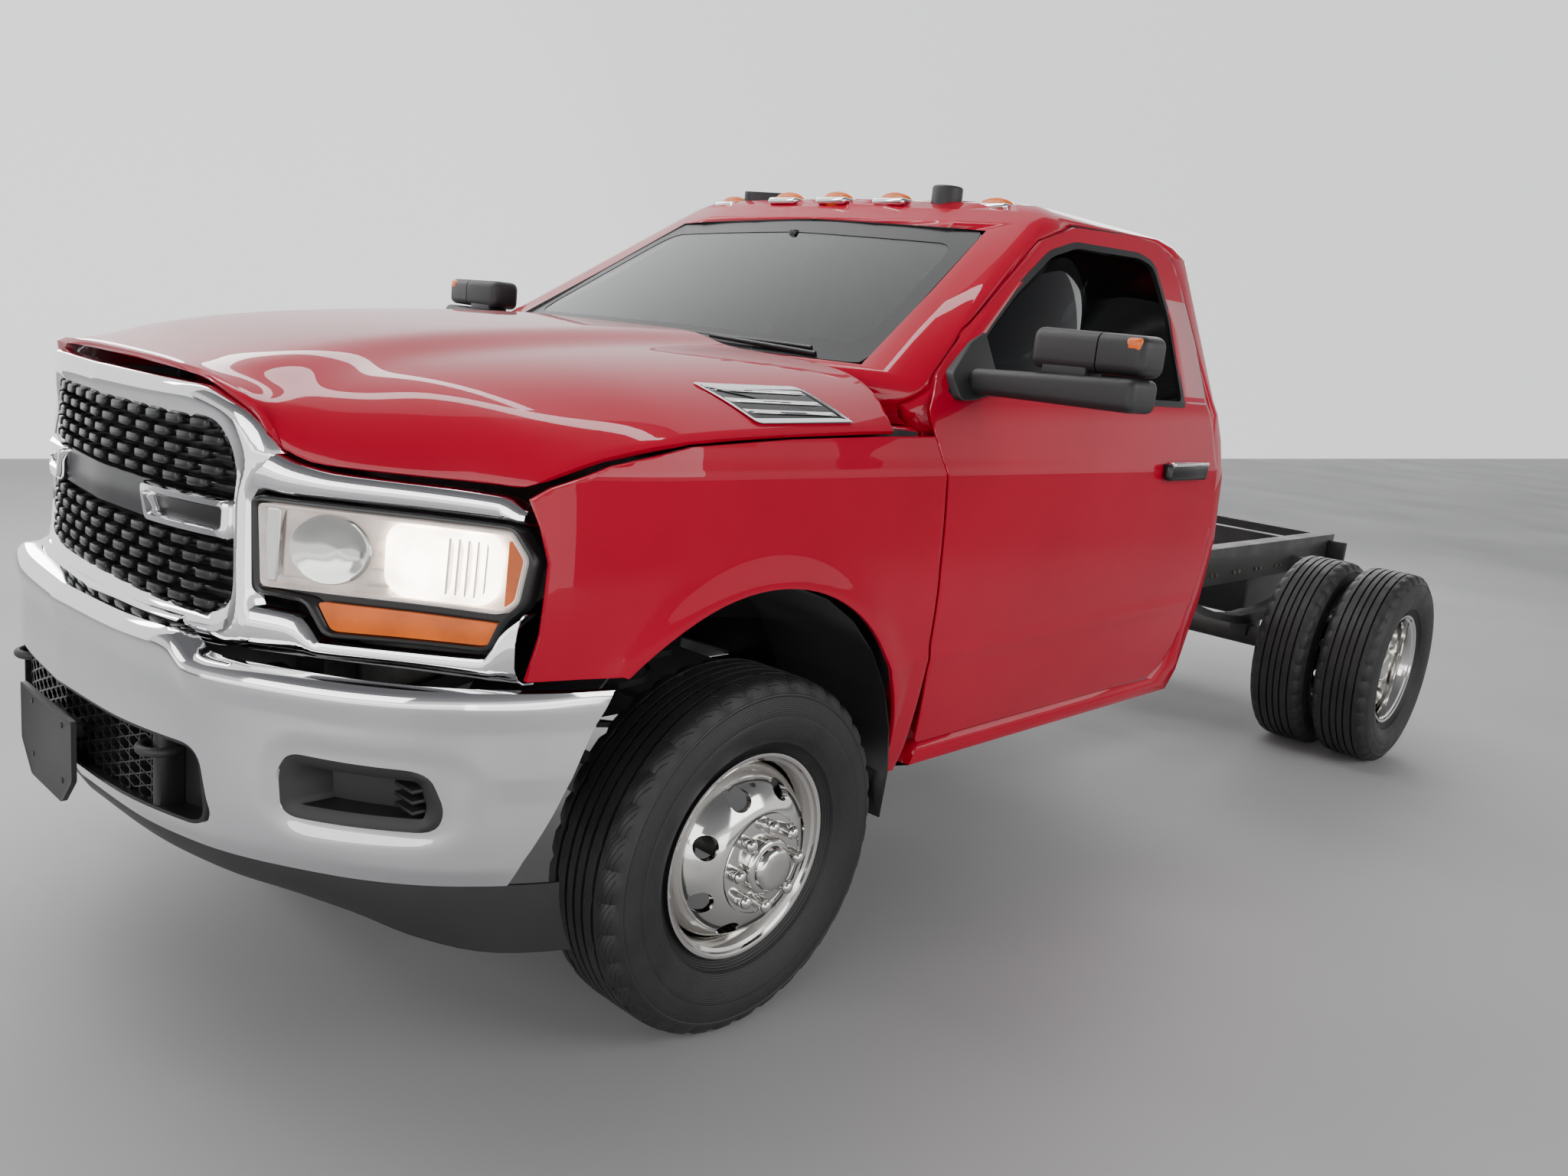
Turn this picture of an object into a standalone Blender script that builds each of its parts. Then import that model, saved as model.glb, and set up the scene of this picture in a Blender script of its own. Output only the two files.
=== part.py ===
"""Regular-cab chassis truck with twin rear wheels, in metres, +Z up.

The truck faces -Y and its driver's side is +X. The origin is on the ground below
the middle of the truck's length. Body outlines are written as shares of a few
body sizes: x of the half width, y of the cab or nose length, z of the body height.
"""

import math

import bmesh
import bpy
from mathutils import Matrix, Vector

# Driving dimensions
WHEELBASE = 3.645
FRONT_OVERHANG = 1.075
REAR_OVERHANG = 1.200
BODY_HALF_WIDTH = 1.000
BODY_BASE = 0.475
BODY_HEIGHT = 1.480
NOSE_LENGTH = 1.060
CAB_LENGTH = 1.670
CAB_AHEAD = -0.450
FRONT_TRACK = 1.765
REAR_TRACK = 1.925
DUAL_SPACING = 0.262

# Clearances
SEAT_GAP = 0.0003
PANEL_GAP = 0.006
RUNNING_GAP = 0.005
OVERRUN = 0.300

# Tyres and wheels
TYRE_RADIUS = 0.404
TYRE_WIDTH = 0.235
BEAD_RADIUS = 0.216
RIM_LIP_RADIUS = 0.232
RIM_WIDTH = 0.172
WHEEL_OFFSET = 0.128
DISC_RADIUS = 0.118
HUB_RADIUS = 0.070
HUB_CAP_PROUD = 0.045
SPINDLE_RADIUS = 0.035
SPINDLE_GAP = 0.0006
HAND_HOLE_RADIUS = 0.023
HAND_HOLE_CIRCLE = 0.158
HAND_HOLES = 8
REAR_HUB_PROUD = 0.185
WHEEL_STEPS = 24

# Body shells
DOOR_THICKNESS = 0.070
ROOF_THICKNESS = 0.045
FLOOR_TOP = 0.700
FLOOR_UNDER = 0.655
ROCKER_WIDTH = 0.150
FENDER_THICKNESS = 0.014
HOOD_THICKNESS = 0.018
GLASS_DEPTH = 0.012
GLASS_THICKNESS = 0.005
LINER_THICKNESS = 0.005
TUNNEL_HALF_WIDTH = 0.200
TUNNEL_TOP = 0.860
TUNNEL_LENGTH = 1.000
SHEET_THICKNESS = 0.030

# Wheel arch, measured from the front axle
ARCH_RADIUS = 0.516
ARCH_AHEAD = 0.040
ARCH_HEIGHT = 0.490
LINER_INNER_X = 0.600

# Front end
BUMPER_THICKNESS = 0.006
BUMPER_BOTTOM = 0.470
BUMPER_TOP = 0.843
BUMPER_RISE = 0.040
SURROUND_DEPTH = 0.050
LAMP_SETBACK = 0.010
LAMP_DEPTH = 0.030
GRILLE_SETBACK = 0.030
GRILLE_DEPTH = 0.018
GRILLE_BAR = 0.016
GRILLE_ROWS = (3, 2)
GRILLE_COLUMNS = 7

# Frame
RAIL_OUTER_X = 0.432
RAIL_FLANGE = 0.076
RAIL_WALL = 0.008
RAIL_DEPTH = 0.165
RAIL_REAR_Z = 0.700
RAIL_CAB_Z = 0.555
RAIL_AXLE_Z = 0.640
RAIL_FRONT_Z = 0.600

# Axles, steering and springs
KINGPIN_X = 0.755
REAR_TUBE_RADIUS = 0.050
DIFF_RADIUS = 0.170
PINION_REACH = 0.215
EAR_THICKNESS = 0.026
TIE_ROD_RADIUS = 0.016
COIL_RADIUS = 0.060
COIL_WIRE = 0.009
COIL_TURNS = 4
COIL_X = 0.514
LEAF_X = 0.520
LEAF_WIDTH = 0.075
LEAF_THICKNESS = 0.045
LEAF_HALF_LENGTH = 0.700

# Cab fittings
SEAT_WIDTH = 1.420
STEERING_X = 0.400
STEERING_RADIUS = 0.195
STEERING_RIM = 0.016
STEERING_TILT = math.radians(28)

# Tables of shares: (x of half width, y of nose or cab length, z of body height)
SIDE_SHARES = ((0.0, 0.92), (0.051, 0.945), (0.22, 0.985), (0.355, 1.0), (0.49, 0.99),
               (0.571, 0.965), (0.625, 0.94), (0.645, 0.922), (0.963, 0.735), (1.0, 0.71))
DOOR_SHARES = ((0.082, 0.049), (0.059, 0.217), (0.047, 0.365), (0.047, 0.499),
               (0.016, 0.590), (0.016, 0.609), (0.054, 0.661), (0.148, 0.734),
               (0.278, 0.823), (0.408, 0.912), (0.531, 0.955), (0.714, 0.967),
               (0.840, 0.966), (0.885, 0.935), (0.903, 0.870), (0.916, 0.770),
               (0.912, 0.622), (0.916, 0.547), (0.917, 0.392), (0.908, 0.263),
               (0.890, 0.130), (0.860, 0.075), (0.820, 0.050))
WINDOW_SHARES = ((0.076, 0.639), (0.214, 0.749), (0.302, 0.815), (0.430, 0.895),
                 (0.520, 0.922), (0.750, 0.932), (0.800, 0.920), (0.828, 0.815),
                 (0.815, 0.640))
FENDER_SHARES = ((-0.548, 0.049), (-0.511, 0.217), (-0.493, 0.365), (-0.493, 0.568),
                 (-0.283, 0.566), (0.0, 0.560), (0.255, 0.549), (0.425, 0.524),
                 (0.528, 0.497), (0.560, 0.483), (0.542, 0.449), (0.528, 0.409),
                 (0.536, 0.321), (0.552, 0.264), (0.387, 0.264))
HOOD_SHARES = ((-0.390, 0.955, 0.575, 0.696), (-0.094, 0.965, 0.571, 0.687),
               (0.094, 0.970, 0.566, 0.678), (0.255, 0.968, 0.557, 0.668),
               (0.425, 0.940, 0.532, 0.655), (0.528, 0.915, 0.505, 0.645),
               (0.566, 0.885, 0.493, 0.641), (0.623, 0.790, 0.489, 0.634),
               (0.698, 0.700, 0.488, 0.624), (0.774, 0.600, 0.489, 0.611),
               (0.816, 0.545, 0.503, 0.603), (0.845, 0.513, 0.549, 0.598),
               (0.878, 0.410, 0.582, 0.590))
HOOD_REAR_DROP_SHARES = ((0.0, 0.0), (0.30, 0.02), (0.42, 0.06), (0.52, 0.19), (0.70, 0.24),
                         (0.83, 0.36), (0.93, 0.60), (1.0, 1.0))
HOOD_NOSE_DROP_SHARES = ((0.0, 0.0), (0.35, 0.03), (0.50, 0.08), (0.62, 0.26), (0.80, 0.50),
                         (0.92, 0.75), (1.0, 1.0))
HOOD_REAR_EDGE_SHARES = ((0.0, -0.200), (0.30, -0.225), (0.55, -0.290), (0.79, -0.370),
                         (1.02, -0.300))
NOSE_PLAN_SHARES = ((0.0, 0.943), (0.25, 0.925), (0.47, 0.873), (0.62, 0.774), (0.75, 0.672),
                    (0.86, 0.597), (0.92, 0.560), (0.96, 0.530), (1.0, 0.505))
BUMPER_PLAN_SHARES = ((0.0, 1.0), (0.25, 0.984), (0.45, 0.943), (0.70, 0.821), (0.82, 0.725),
                      (0.90, 0.623), (0.96, 0.510), (0.99, 0.415))
SURROUND_SHARES = ((0.0, 0.570), (0.395, 0.570), (0.500, 0.543), (0.535, 0.500), (0.600, 0.483),
                   (0.860, 0.483), (0.900, 0.462), (0.905, 0.456))
SURROUND_LOW_SHARES = ((0.912, 0.256), (0.552, 0.252), (0.452, 0.252), (0.0, 0.275))
GRILLE_SHARES = ((0.0, 0.526), (0.40, 0.526), (0.435, 0.505), (0.465, 0.457), (0.480, 0.330),
                 (0.440, 0.290), (0.0, 0.300))
GRILLE_FIELD_SHARES = ((0.305, 0.385, 0.405), (0.440, 0.515, 0.385))
LAMP_SHARES = ((0.500, 0.448), (0.890, 0.448), (0.925, 0.411), (0.915, 0.351), (0.886, 0.330),
               (0.867, 0.290), (0.620, 0.284), (0.590, 0.324), (0.515, 0.330))
WINDSHIELD_SHARES = ((0.0, 0.668), (0.74, 0.664), (0.62, 0.925), (0.0, 0.938))
REAR_WINDOW_SHARES = ((0.0, 0.662), (0.58, 0.662), (0.50, 0.895), (0.0, 0.895))


def up(share):
    return BODY_BASE + share * BODY_HEIGHT


AXLE_Y = FRONT_OVERHANG - (FRONT_OVERHANG + WHEELBASE + REAR_OVERHANG) / 2
REAR_AXLE_Y = AXLE_Y + WHEELBASE
CAB_FRONT_Y = AXLE_Y - CAB_AHEAD
CAB_BACK_Y = CAB_FRONT_Y + CAB_LENGTH
ROOF_Z = up(1)
FRAME_END_Y = REAR_AXLE_Y + REAR_OVERHANG


def ahead(share):
    """The y of a share of the nose length ahead of the front axle."""
    return AXLE_Y - share * NOSE_LENGTH


def along(share):
    """The y of a share of the cab length behind the cab's front line."""
    return CAB_FRONT_Y + share * CAB_LENGTH


def across(share):
    return share * BODY_HALF_WIDTH


def lookup(table, at, column=1):
    """Straight-line reading of a table of shares whose first column rises."""
    rows = list(table)
    if at <= rows[0][0]:
        return rows[0][column]
    for low, high in zip(rows, rows[1:]):
        if at <= high[0]:
            part = (at - low[0]) / (high[0] - low[0])
            return low[column] + part * (high[column] - low[column])
    return rows[-1][column]


def side_x(z):
    """Half width of the body side at a height."""
    return across(lookup(SIDE_SHARES, (z - BODY_BASE) / BODY_HEIGHT))


def plan_y(table, x):
    """The y of a front plan curve at a distance from the middle."""
    return ahead(lookup(table, abs(x) / BODY_HALF_WIDTH))


# Scene, materials and objects


def clear_scene():
    for item in list(bpy.data.objects):
        bpy.data.objects.remove(item, do_unlink=True)


def new_collection(name):
    collection = bpy.data.collections.new(name)
    bpy.context.scene.collection.children.link(collection)
    return collection


def finish(name, colour, roughness, metallic=0.0, alpha=1.0):
    """A Principled material by name, made once."""
    if name in bpy.data.materials:
        return bpy.data.materials[name]
    made = bpy.data.materials.new(name)
    made.use_nodes = True
    shader = made.node_tree.nodes["Principled BSDF"]
    shader.inputs["Base Color"].default_value = (*colour, 1)
    shader.inputs["Roughness"].default_value = roughness
    shader.inputs["Metallic"].default_value = metallic
    shader.inputs["Alpha"].default_value = alpha
    return made


def red_paint():
    return finish("red_paint", (0.62, 0.01, 0.015), 0.12)


def chrome():
    return finish("chrome", (0.82, 0.83, 0.85), 0.06, 1.0)


def black_steel():
    return finish("black_steel", (0.03, 0.03, 0.032), 0.5)


def black_plastic():
    return finish("black_plastic", (0.02, 0.02, 0.022), 0.45)


def tyre_rubber():
    return finish("tyre_rubber", (0.025, 0.025, 0.027), 0.7)


def tinted_glass():
    return finish("tinted_glass", (0.05, 0.06, 0.065), 0.05, 0.0, 0.4)


def lamp_lens():
    return finish("lamp_lens", (0.9, 0.9, 0.88), 0.05, 0.0, 0.5)


def cast_metal():
    return finish("cast_metal", (0.25, 0.25, 0.26), 0.45, 0.8)


def grey_cloth():
    return finish("grey_cloth", (0.12, 0.12, 0.13), 0.9)


def red_lens():
    return finish("red_lens", (0.5, 0.02, 0.02), 0.1)


def object_of(bm, name):
    """A bmesh made an object among the cutters, its faces pointing out."""
    bmesh.ops.recalc_face_normals(bm, faces=bm.faces)
    mesh = bpy.data.meshes.new(name)
    bm.to_mesh(mesh)
    bm.free()
    made = bpy.data.objects.new(name, mesh)
    CUTTERS.objects.link(made)
    made.hide_render = True
    made.display_type = "WIRE"
    return made


def box(low, high, name="box"):
    bm = bmesh.new()
    bmesh.ops.create_cube(bm, size=1)
    low, high = Vector(low), Vector(high)
    span = high - low
    for vert in bm.verts:
        middle = (low + high) / 2
        vert.co = middle + Vector(vert.co[i] * abs(span[i]) for i in range(3))
    return object_of(bm, name)


def rod(start, end, radius, end_radius=None, steps=16, name="rod"):
    """A round bar, or a cone, from one point to another."""
    start, end = Vector(start), Vector(end)
    reach = end - start
    bm = bmesh.new()
    bmesh.ops.create_cone(bm, cap_ends=True, segments=steps, radius1=radius,
                          radius2=radius if end_radius is None else end_radius,
                          depth=reach.length)
    turn = reach.to_track_quat("Z", "Y").to_matrix().to_4x4()
    bmesh.ops.transform(bm, verts=bm.verts, matrix=Matrix.Translation((start + end) / 2) @ turn)
    return object_of(bm, name)


def meshed(curve_object, name):
    """A curve object's mesh with its caps welded, among the cutters."""
    bpy.context.view_layer.update()
    graph = bpy.context.evaluated_depsgraph_get()
    mesh = bpy.data.meshes.new_from_object(curve_object.evaluated_get(graph))
    bm = bmesh.new()
    bm.from_mesh(mesh)
    bmesh.ops.remove_doubles(bm, verts=bm.verts, dist=SEAT_GAP / 10)
    bmesh.ops.transform(bm, matrix=curve_object.matrix_world, verts=bm.verts)
    bpy.data.objects.remove(curve_object, do_unlink=True)
    return object_of(bm, name)


def prism(outline, axis, low, high, name="prism"):
    """A flat outline pulled from low to high along an axis: x takes (y, z), y (x, z), z (x, y)."""
    curve = bpy.data.curves.new(name, "CURVE")
    curve.dimensions = "2D"
    curve.fill_mode = "BOTH"
    curve.extrude = abs(high - low) / 2
    spline = curve.splines.new("POLY")
    spline.points.add(len(outline) - 1)
    for point, (a, b) in zip(spline.points, outline):
        point.co = (a, b, 0, 1)
    spline.use_cyclic_u = True
    flat = bpy.data.objects.new(name, curve)
    bpy.context.scene.collection.objects.link(flat)
    columns = {"x": ((0, 1, 0), (0, 0, 1), (1, 0, 0)), "y": ((1, 0, 0), (0, 0, 1), (0, 1, 0)),
               "z": ((1, 0, 0), (0, 1, 0), (0, 0, 1))}[axis]
    matrix = Matrix(columns).transposed().to_4x4()
    matrix.translation = Vector(columns[2]) * ((low + high) / 2)
    flat.matrix_world = matrix
    return meshed(flat, name)


def tube(points, radius, name="tube", resolution=2):
    curve = bpy.data.curves.new(name, "CURVE")
    curve.dimensions = "3D"
    curve.bevel_depth = radius
    curve.bevel_resolution = resolution
    curve.use_fill_caps = True
    spline = curve.splines.new("POLY")
    spline.points.add(len(points) - 1)
    for point, place in zip(spline.points, points):
        point.co = (*place, 1)
    bent = bpy.data.objects.new(name, curve)
    bpy.context.scene.collection.objects.link(bent)
    return meshed(bent, name)


def loft(loops, name="loft"):
    """A closed solid through loops of equal length, with flat ends."""
    bm = bmesh.new()
    rings = [[bm.verts.new(point) for point in loop] for loop in loops]
    count = len(loops[0])
    for first, second in zip(rings, rings[1:]):
        for i in range(count):
            j = (i + 1) % count
            bm.faces.new((first[i], first[j], second[j], second[i]))
    bm.faces.new(rings[0])
    bm.faces.new(rings[-1])
    bmesh.ops.triangulate(bm, faces=bm.faces)
    return object_of(bm, name)


def turned(profile, centre, name="turned", steps=WHEEL_STEPS):
    """A closed profile of (x, radius) turned about the X line through a centre."""
    bm = bmesh.new()
    verts = [bm.verts.new((x, 0, radius)) for x, radius in profile]
    on_axis = profile[0][1] == 0 and profile[-1][1] == 0
    for first, second in zip(verts, verts[1:] + ([] if on_axis else verts[:1])):
        bm.edges.new((first, second))
    half_step = Matrix.Rotation(math.pi / steps, 3, "X")
    bmesh.ops.rotate(bm, verts=bm.verts, cent=(0, 0, 0), matrix=half_step)
    bmesh.ops.spin(bm, geom=bm.verts[:] + bm.edges[:], angle=2 * math.pi, steps=steps,
                   axis=(1, 0, 0), cent=(0, 0, 0))
    bmesh.ops.remove_doubles(bm, verts=bm.verts, dist=SEAT_GAP / 10)
    bmesh.ops.translate(bm, verts=bm.verts, vec=centre)
    return object_of(bm, name)


def shell(rows, thickness, outward, name="shell"):
    """An open grid of points given a wall on the side away from outward."""
    bm = bmesh.new()
    grid = [[bm.verts.new(point) for point in row] for row in rows]
    for first, second in zip(grid, grid[1:]):
        for i in range(len(first) - 1):
            bm.faces.new((first[i], first[i + 1], second[i + 1], second[i]))
    bm.normal_update()
    facing = sum((face.normal * face.calc_area() for face in bm.faces), Vector())
    if facing.dot(Vector(outward)) < 0:
        bmesh.ops.reverse_faces(bm, faces=bm.faces)
    mesh = bpy.data.meshes.new(name)
    bm.to_mesh(mesh)
    bm.free()
    made = bpy.data.objects.new(name, mesh)
    CUTTERS.objects.link(made)
    made.hide_render = True
    made.display_type = "WIRE"
    wall = made.modifiers.new("wall", "SOLIDIFY")
    wall.thickness = thickness
    wall.offset = -1
    wall.use_even_offset = True
    return made


def combine(target, tool, operation):
    boolean = target.modifiers.new(tool.name, "BOOLEAN")
    boolean.operation = operation
    boolean.object = tool
    return target


def cut(target, *tools):
    for tool in tools:
        combine(target, tool, "DIFFERENCE")
    return target


def join(target, *tools):
    for tool in tools:
        combine(target, tool, "UNION")
    return target


def keep(target, *tools):
    for tool in tools:
        combine(target, tool, "INTERSECT")
    return target


def copy_of(tool, name="copy"):
    made = bpy.data.objects.new(name, tool.data)
    made.hide_render = True
    made.display_type = "WIRE"
    CUTTERS.objects.link(made)
    return made


def part(shape, name, material, carrier=None):
    """The finished piece: named, coloured, in the truck's collection, on its joint's empty."""
    CUTTERS.objects.unlink(shape)
    TRUCK.objects.link(shape)
    shape.name = name
    shape.hide_render = False
    shape.display_type = "TEXTURED"
    shape.data = shape.data.copy()
    shape.data.name = name
    shape.data.materials.clear()
    shape.data.materials.append(material)
    if carrier is not None:
        shape.parent = carrier
        shape.matrix_parent_inverse = carrier.matrix_world.inverted()
    return shape


def joint(name, place, parent=None):
    """An empty on a joint's axis."""
    empty = bpy.data.objects.new(name, None)
    TRUCK.objects.link(empty)
    empty.matrix_world = Matrix.Translation(place)
    if parent is not None:
        empty.parent = parent
        empty.matrix_parent_inverse = parent.matrix_world.inverted()
    bpy.context.view_layer.update()
    return empty


LEAST_MITRE_SHARE = 0.3


def mirrored(points, side):
    return [(side * point[0], *point[1:]) for point in points]


def both_halves(shares, height=up):
    """A front outline from its right half, running round both sides of the middle."""
    half = [(across(x), height(z)) for x, z in shares]
    other = [(-x, z) for x, z in reversed(half) if x > 0]
    return half + other


def inset_outline(outline, distance):
    """The outline moved inwards by a distance, its corners mitred."""
    area = sum(a[0] * b[1] - b[0] * a[1] for a, b in zip(outline, outline[1:] + outline[:1]))
    turn = 1 if area > 0 else -1
    moved = []
    for before, here, after in zip(outline[-1:] + outline[:-1], outline, outline[1:] + outline[:1]):
        first = (Vector(here) - Vector(before)).normalized()
        second = (Vector(after) - Vector(here)).normalized()
        normals = [Vector((-d.y, d.x)) * turn for d in (first, second)]
        middle = (normals[0] + normals[1]).normalized()
        reach = distance / max(middle.dot(normals[0]), LEAST_MITRE_SHARE)
        moved.append(tuple(Vector(here) + middle * reach))
    return moved


# Cab, doors and glass


CAB_LEVEL_SHARES = (0.0, 0.051, 0.22, 0.355, 0.49, 0.571, 0.579, 0.625, 0.654, 0.945, 0.968,
                    0.985, 0.995, 1.0)
ROOF_INSET_SHARES = ((0.945, 0.0), (0.968, 0.016), (0.985, 0.048), (0.995, 0.125), (1.0, 0.260))
COWL_LEVEL_SHARE = 0.575
GLASS_BASE_SHARE = 0.654
GLASS_TOP_SHARE = 0.957
WAIST_SHARE = 0.620
ROOF_START_SHARE = 0.800
DOOR_LEDGE_SHARE = 0.600
GLASS_BASE_SHARES = (-0.075, 0.018)
GLASS_TOP_SHARES = (0.385, 0.430)
BOW_SHARES = (0.0, 0.11, 0.44, 1.0)
PILLAR_SET_IN = 0.034
PILLAR_STEP_SHARE = 0.095
STEP_RUN = 0.003
CORNER_RADIUS = 0.090
REAR_LEAN = 0.030


def cab_front(share, edge):
    """The y of the cab's front at a height share, from its middle (edge 0) to its corner (1)."""
    base = GLASS_BASE_SHARES[0] + edge * (GLASS_BASE_SHARES[1] - GLASS_BASE_SHARES[0])
    top = GLASS_TOP_SHARES[0] + edge * (GLASS_TOP_SHARES[1] - GLASS_TOP_SHARES[0])
    rise = (share - GLASS_BASE_SHARE) / (GLASS_TOP_SHARE - GLASS_BASE_SHARE)
    if share < COWL_LEVEL_SHARE:
        return along(0)
    return along(base + min(max(rise, 0), 1) * (top - base))


def cab_ring(share, depth, drop):
    """One level of the cab's form, moved in by a depth and down by a drop."""
    z = up(share)
    inset = depth + across(lookup(ROOF_INSET_SHARES, share))
    half = side_x(z) - inset
    nose = half - (PILLAR_SET_IN if share < COWL_LEVEL_SHARE else 0)
    front = [cab_front(share, edge) + inset for edge in BOW_SHARES]
    back = CAB_BACK_Y - inset - REAR_LEAN * max(share - WAIST_SHARE, 0)
    round_share, edge_share = 0.3, 0.12
    radius = min(CORNER_RADIUS, (back - front[3]) / 4)
    step = max(along(PILLAR_STEP_SHARE), front[3] + radius)
    rows = [(0, front[0]), (half / 3, front[1]), (2 * half / 3, front[2]),
            (nose - radius * (1 - round_share), front[3]),
            (nose - radius * edge_share, front[3] + radius * round_share),
            (nose, front[3] + radius), (nose, step + STEP_RUN), (half, step + 2 * STEP_RUN),
            (half, back - radius), (half - radius * round_share, back - radius * round_share),
            (half - radius, back), (half / 2, back), (0, back)]
    ring = rows + [(-x, y) for x, y in reversed(rows[1:-1])]
    return [(x, y, z - drop) for x, y in ring]


def cab_hull(depth, roof_depth, floor, name):
    """The cab's closed form moved in by a depth, with a roof that bows down to its edges."""
    rings = []
    levels = [share for share in CAB_LEVEL_SHARES if up(share) > floor]
    levels.insert(0, (floor - BODY_BASE) / BODY_HEIGHT)
    for share in levels:
        ramp = (share - ROOF_START_SHARE) / (1 - ROOF_START_SHARE)
        rings.append(cab_ring(share, depth, roof_depth * min(max(ramp, 0), 1)))
    return loft(rings, name)


def cab_outline(shares, distance=0):
    """A side outline in (y, z), moved in by a distance."""
    return inset_outline([(along(y), up(z)) for y, z in shares], distance)


def cabin_cutters():
    """The forms that the cab, its doors and its glass all share."""
    return {
        "hull": cab_hull(0, 0, BODY_BASE, "cab_hull"),
        "cavity": cab_hull(DOOR_THICKNESS, ROOF_THICKNESS, FLOOR_TOP, "cab_cavity"),
        "glass_outer": cab_hull(GLASS_DEPTH, GLASS_DEPTH, BODY_BASE + OVERRUN, "glass_outer"),
        "glass_inner": cab_hull(GLASS_DEPTH + GLASS_THICKNESS, GLASS_DEPTH + GLASS_THICKNESS,
                                BODY_BASE + OVERRUN / 2, "glass_inner"),
        "over_skin": cab_hull(-SEAT_GAP, -SEAT_GAP, BODY_BASE - OVERRUN, "over_skin"),
        "door_inner": between_doors(0, "door_inner"),
        "opening_inner": between_doors(PANEL_GAP, "opening_inner"),
    }


def between_doors(distance, name):
    """The room between the doors' lower halves, moved in by a distance."""
    half = BODY_HALF_WIDTH - DOOR_THICKNESS * 2 - distance
    return box((-half, along(-1), 0), (half, along(2), up(DOOR_LEDGE_SHARE) - distance), name)


def side_prism(outline, side, name, deeper=0):
    inner = side * (BODY_HALF_WIDTH - OVERRUN - DOOR_THICKNESS - deeper)
    return prism(outline, "x", inner, side * (BODY_HALF_WIDTH + OVERRUN), name)


HINGE_SHARES = (0.125, 0.430)
HINGE_HEIGHT = 0.070
HINGE_WIDTH = 0.024
HOOD_BRACKET_SHARE = 0.720
HOOD_BRACKET_AHEAD = 0.050
HOOD_BRACKET_LOW_SHARE = 0.596
MARKER_SHARES = ((0.0, 0.424, 0.988), (0.219, 0.432, 0.988), (0.538, 0.470, 0.985))
MARKER_HALF = (0.055, 0.032, 0.022)
FIN_SIZE = (0.030, 0.180, 0.065)
FIN_SHARES = (-0.45, 0.500)
PUCK_SHARES = (0.38, 0.450)
PUCK_RADIUS = 0.045
PUCK_HEIGHT = 0.025


def hinge_leaf(side, z):
    """A door hinge's fixed leaf, from the cab's front wall to the door's front face."""
    outer = side * (side_x(z - HINGE_HEIGHT) - PILLAR_SET_IN - RUNNING_GAP)
    front = along(0) + DOOR_THICKNESS / 2
    return box((outer - side * HINGE_WIDTH, front, z - HINGE_HEIGHT / 2),
               (outer, along(DOOR_SHARES[0][0]), z + HINGE_HEIGHT / 2), "hinge_leaf")


def hood_bracket(side):
    """A fixed hinge bracket from the cab's front up to the hood's lower face at its axis."""
    front = ahead(HOOD_REAR_EDGE_SHARES[3][1]) - HOOD_BRACKET_AHEAD
    back = cab_front(COWL_LEVEL_SHARE, HOOD_BRACKET_SHARE) + DOOR_THICKNESS / 2
    low = up(HOOD_BRACKET_LOW_SHARE)
    near, far = across(HOOD_BRACKET_SHARE), across(HOOD_BRACKET_SHARE) + HINGE_WIDTH
    corners = [(x, front + y) for x in (near, far) for y in (0, HINGE_WIDTH)]
    top = min(hood_underside(*corner) for corner in corners) - STOP_GAP
    outline = [(back, low), (back, low + HINGE_HEIGHT / 2), (front + HINGE_WIDTH, low + HINGE_HEIGHT / 2),
               (front + HINGE_WIDTH, top), (front, top), (front, low)]
    return prism(outline, "x", side * near, side * far, "hood_bracket")


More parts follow.
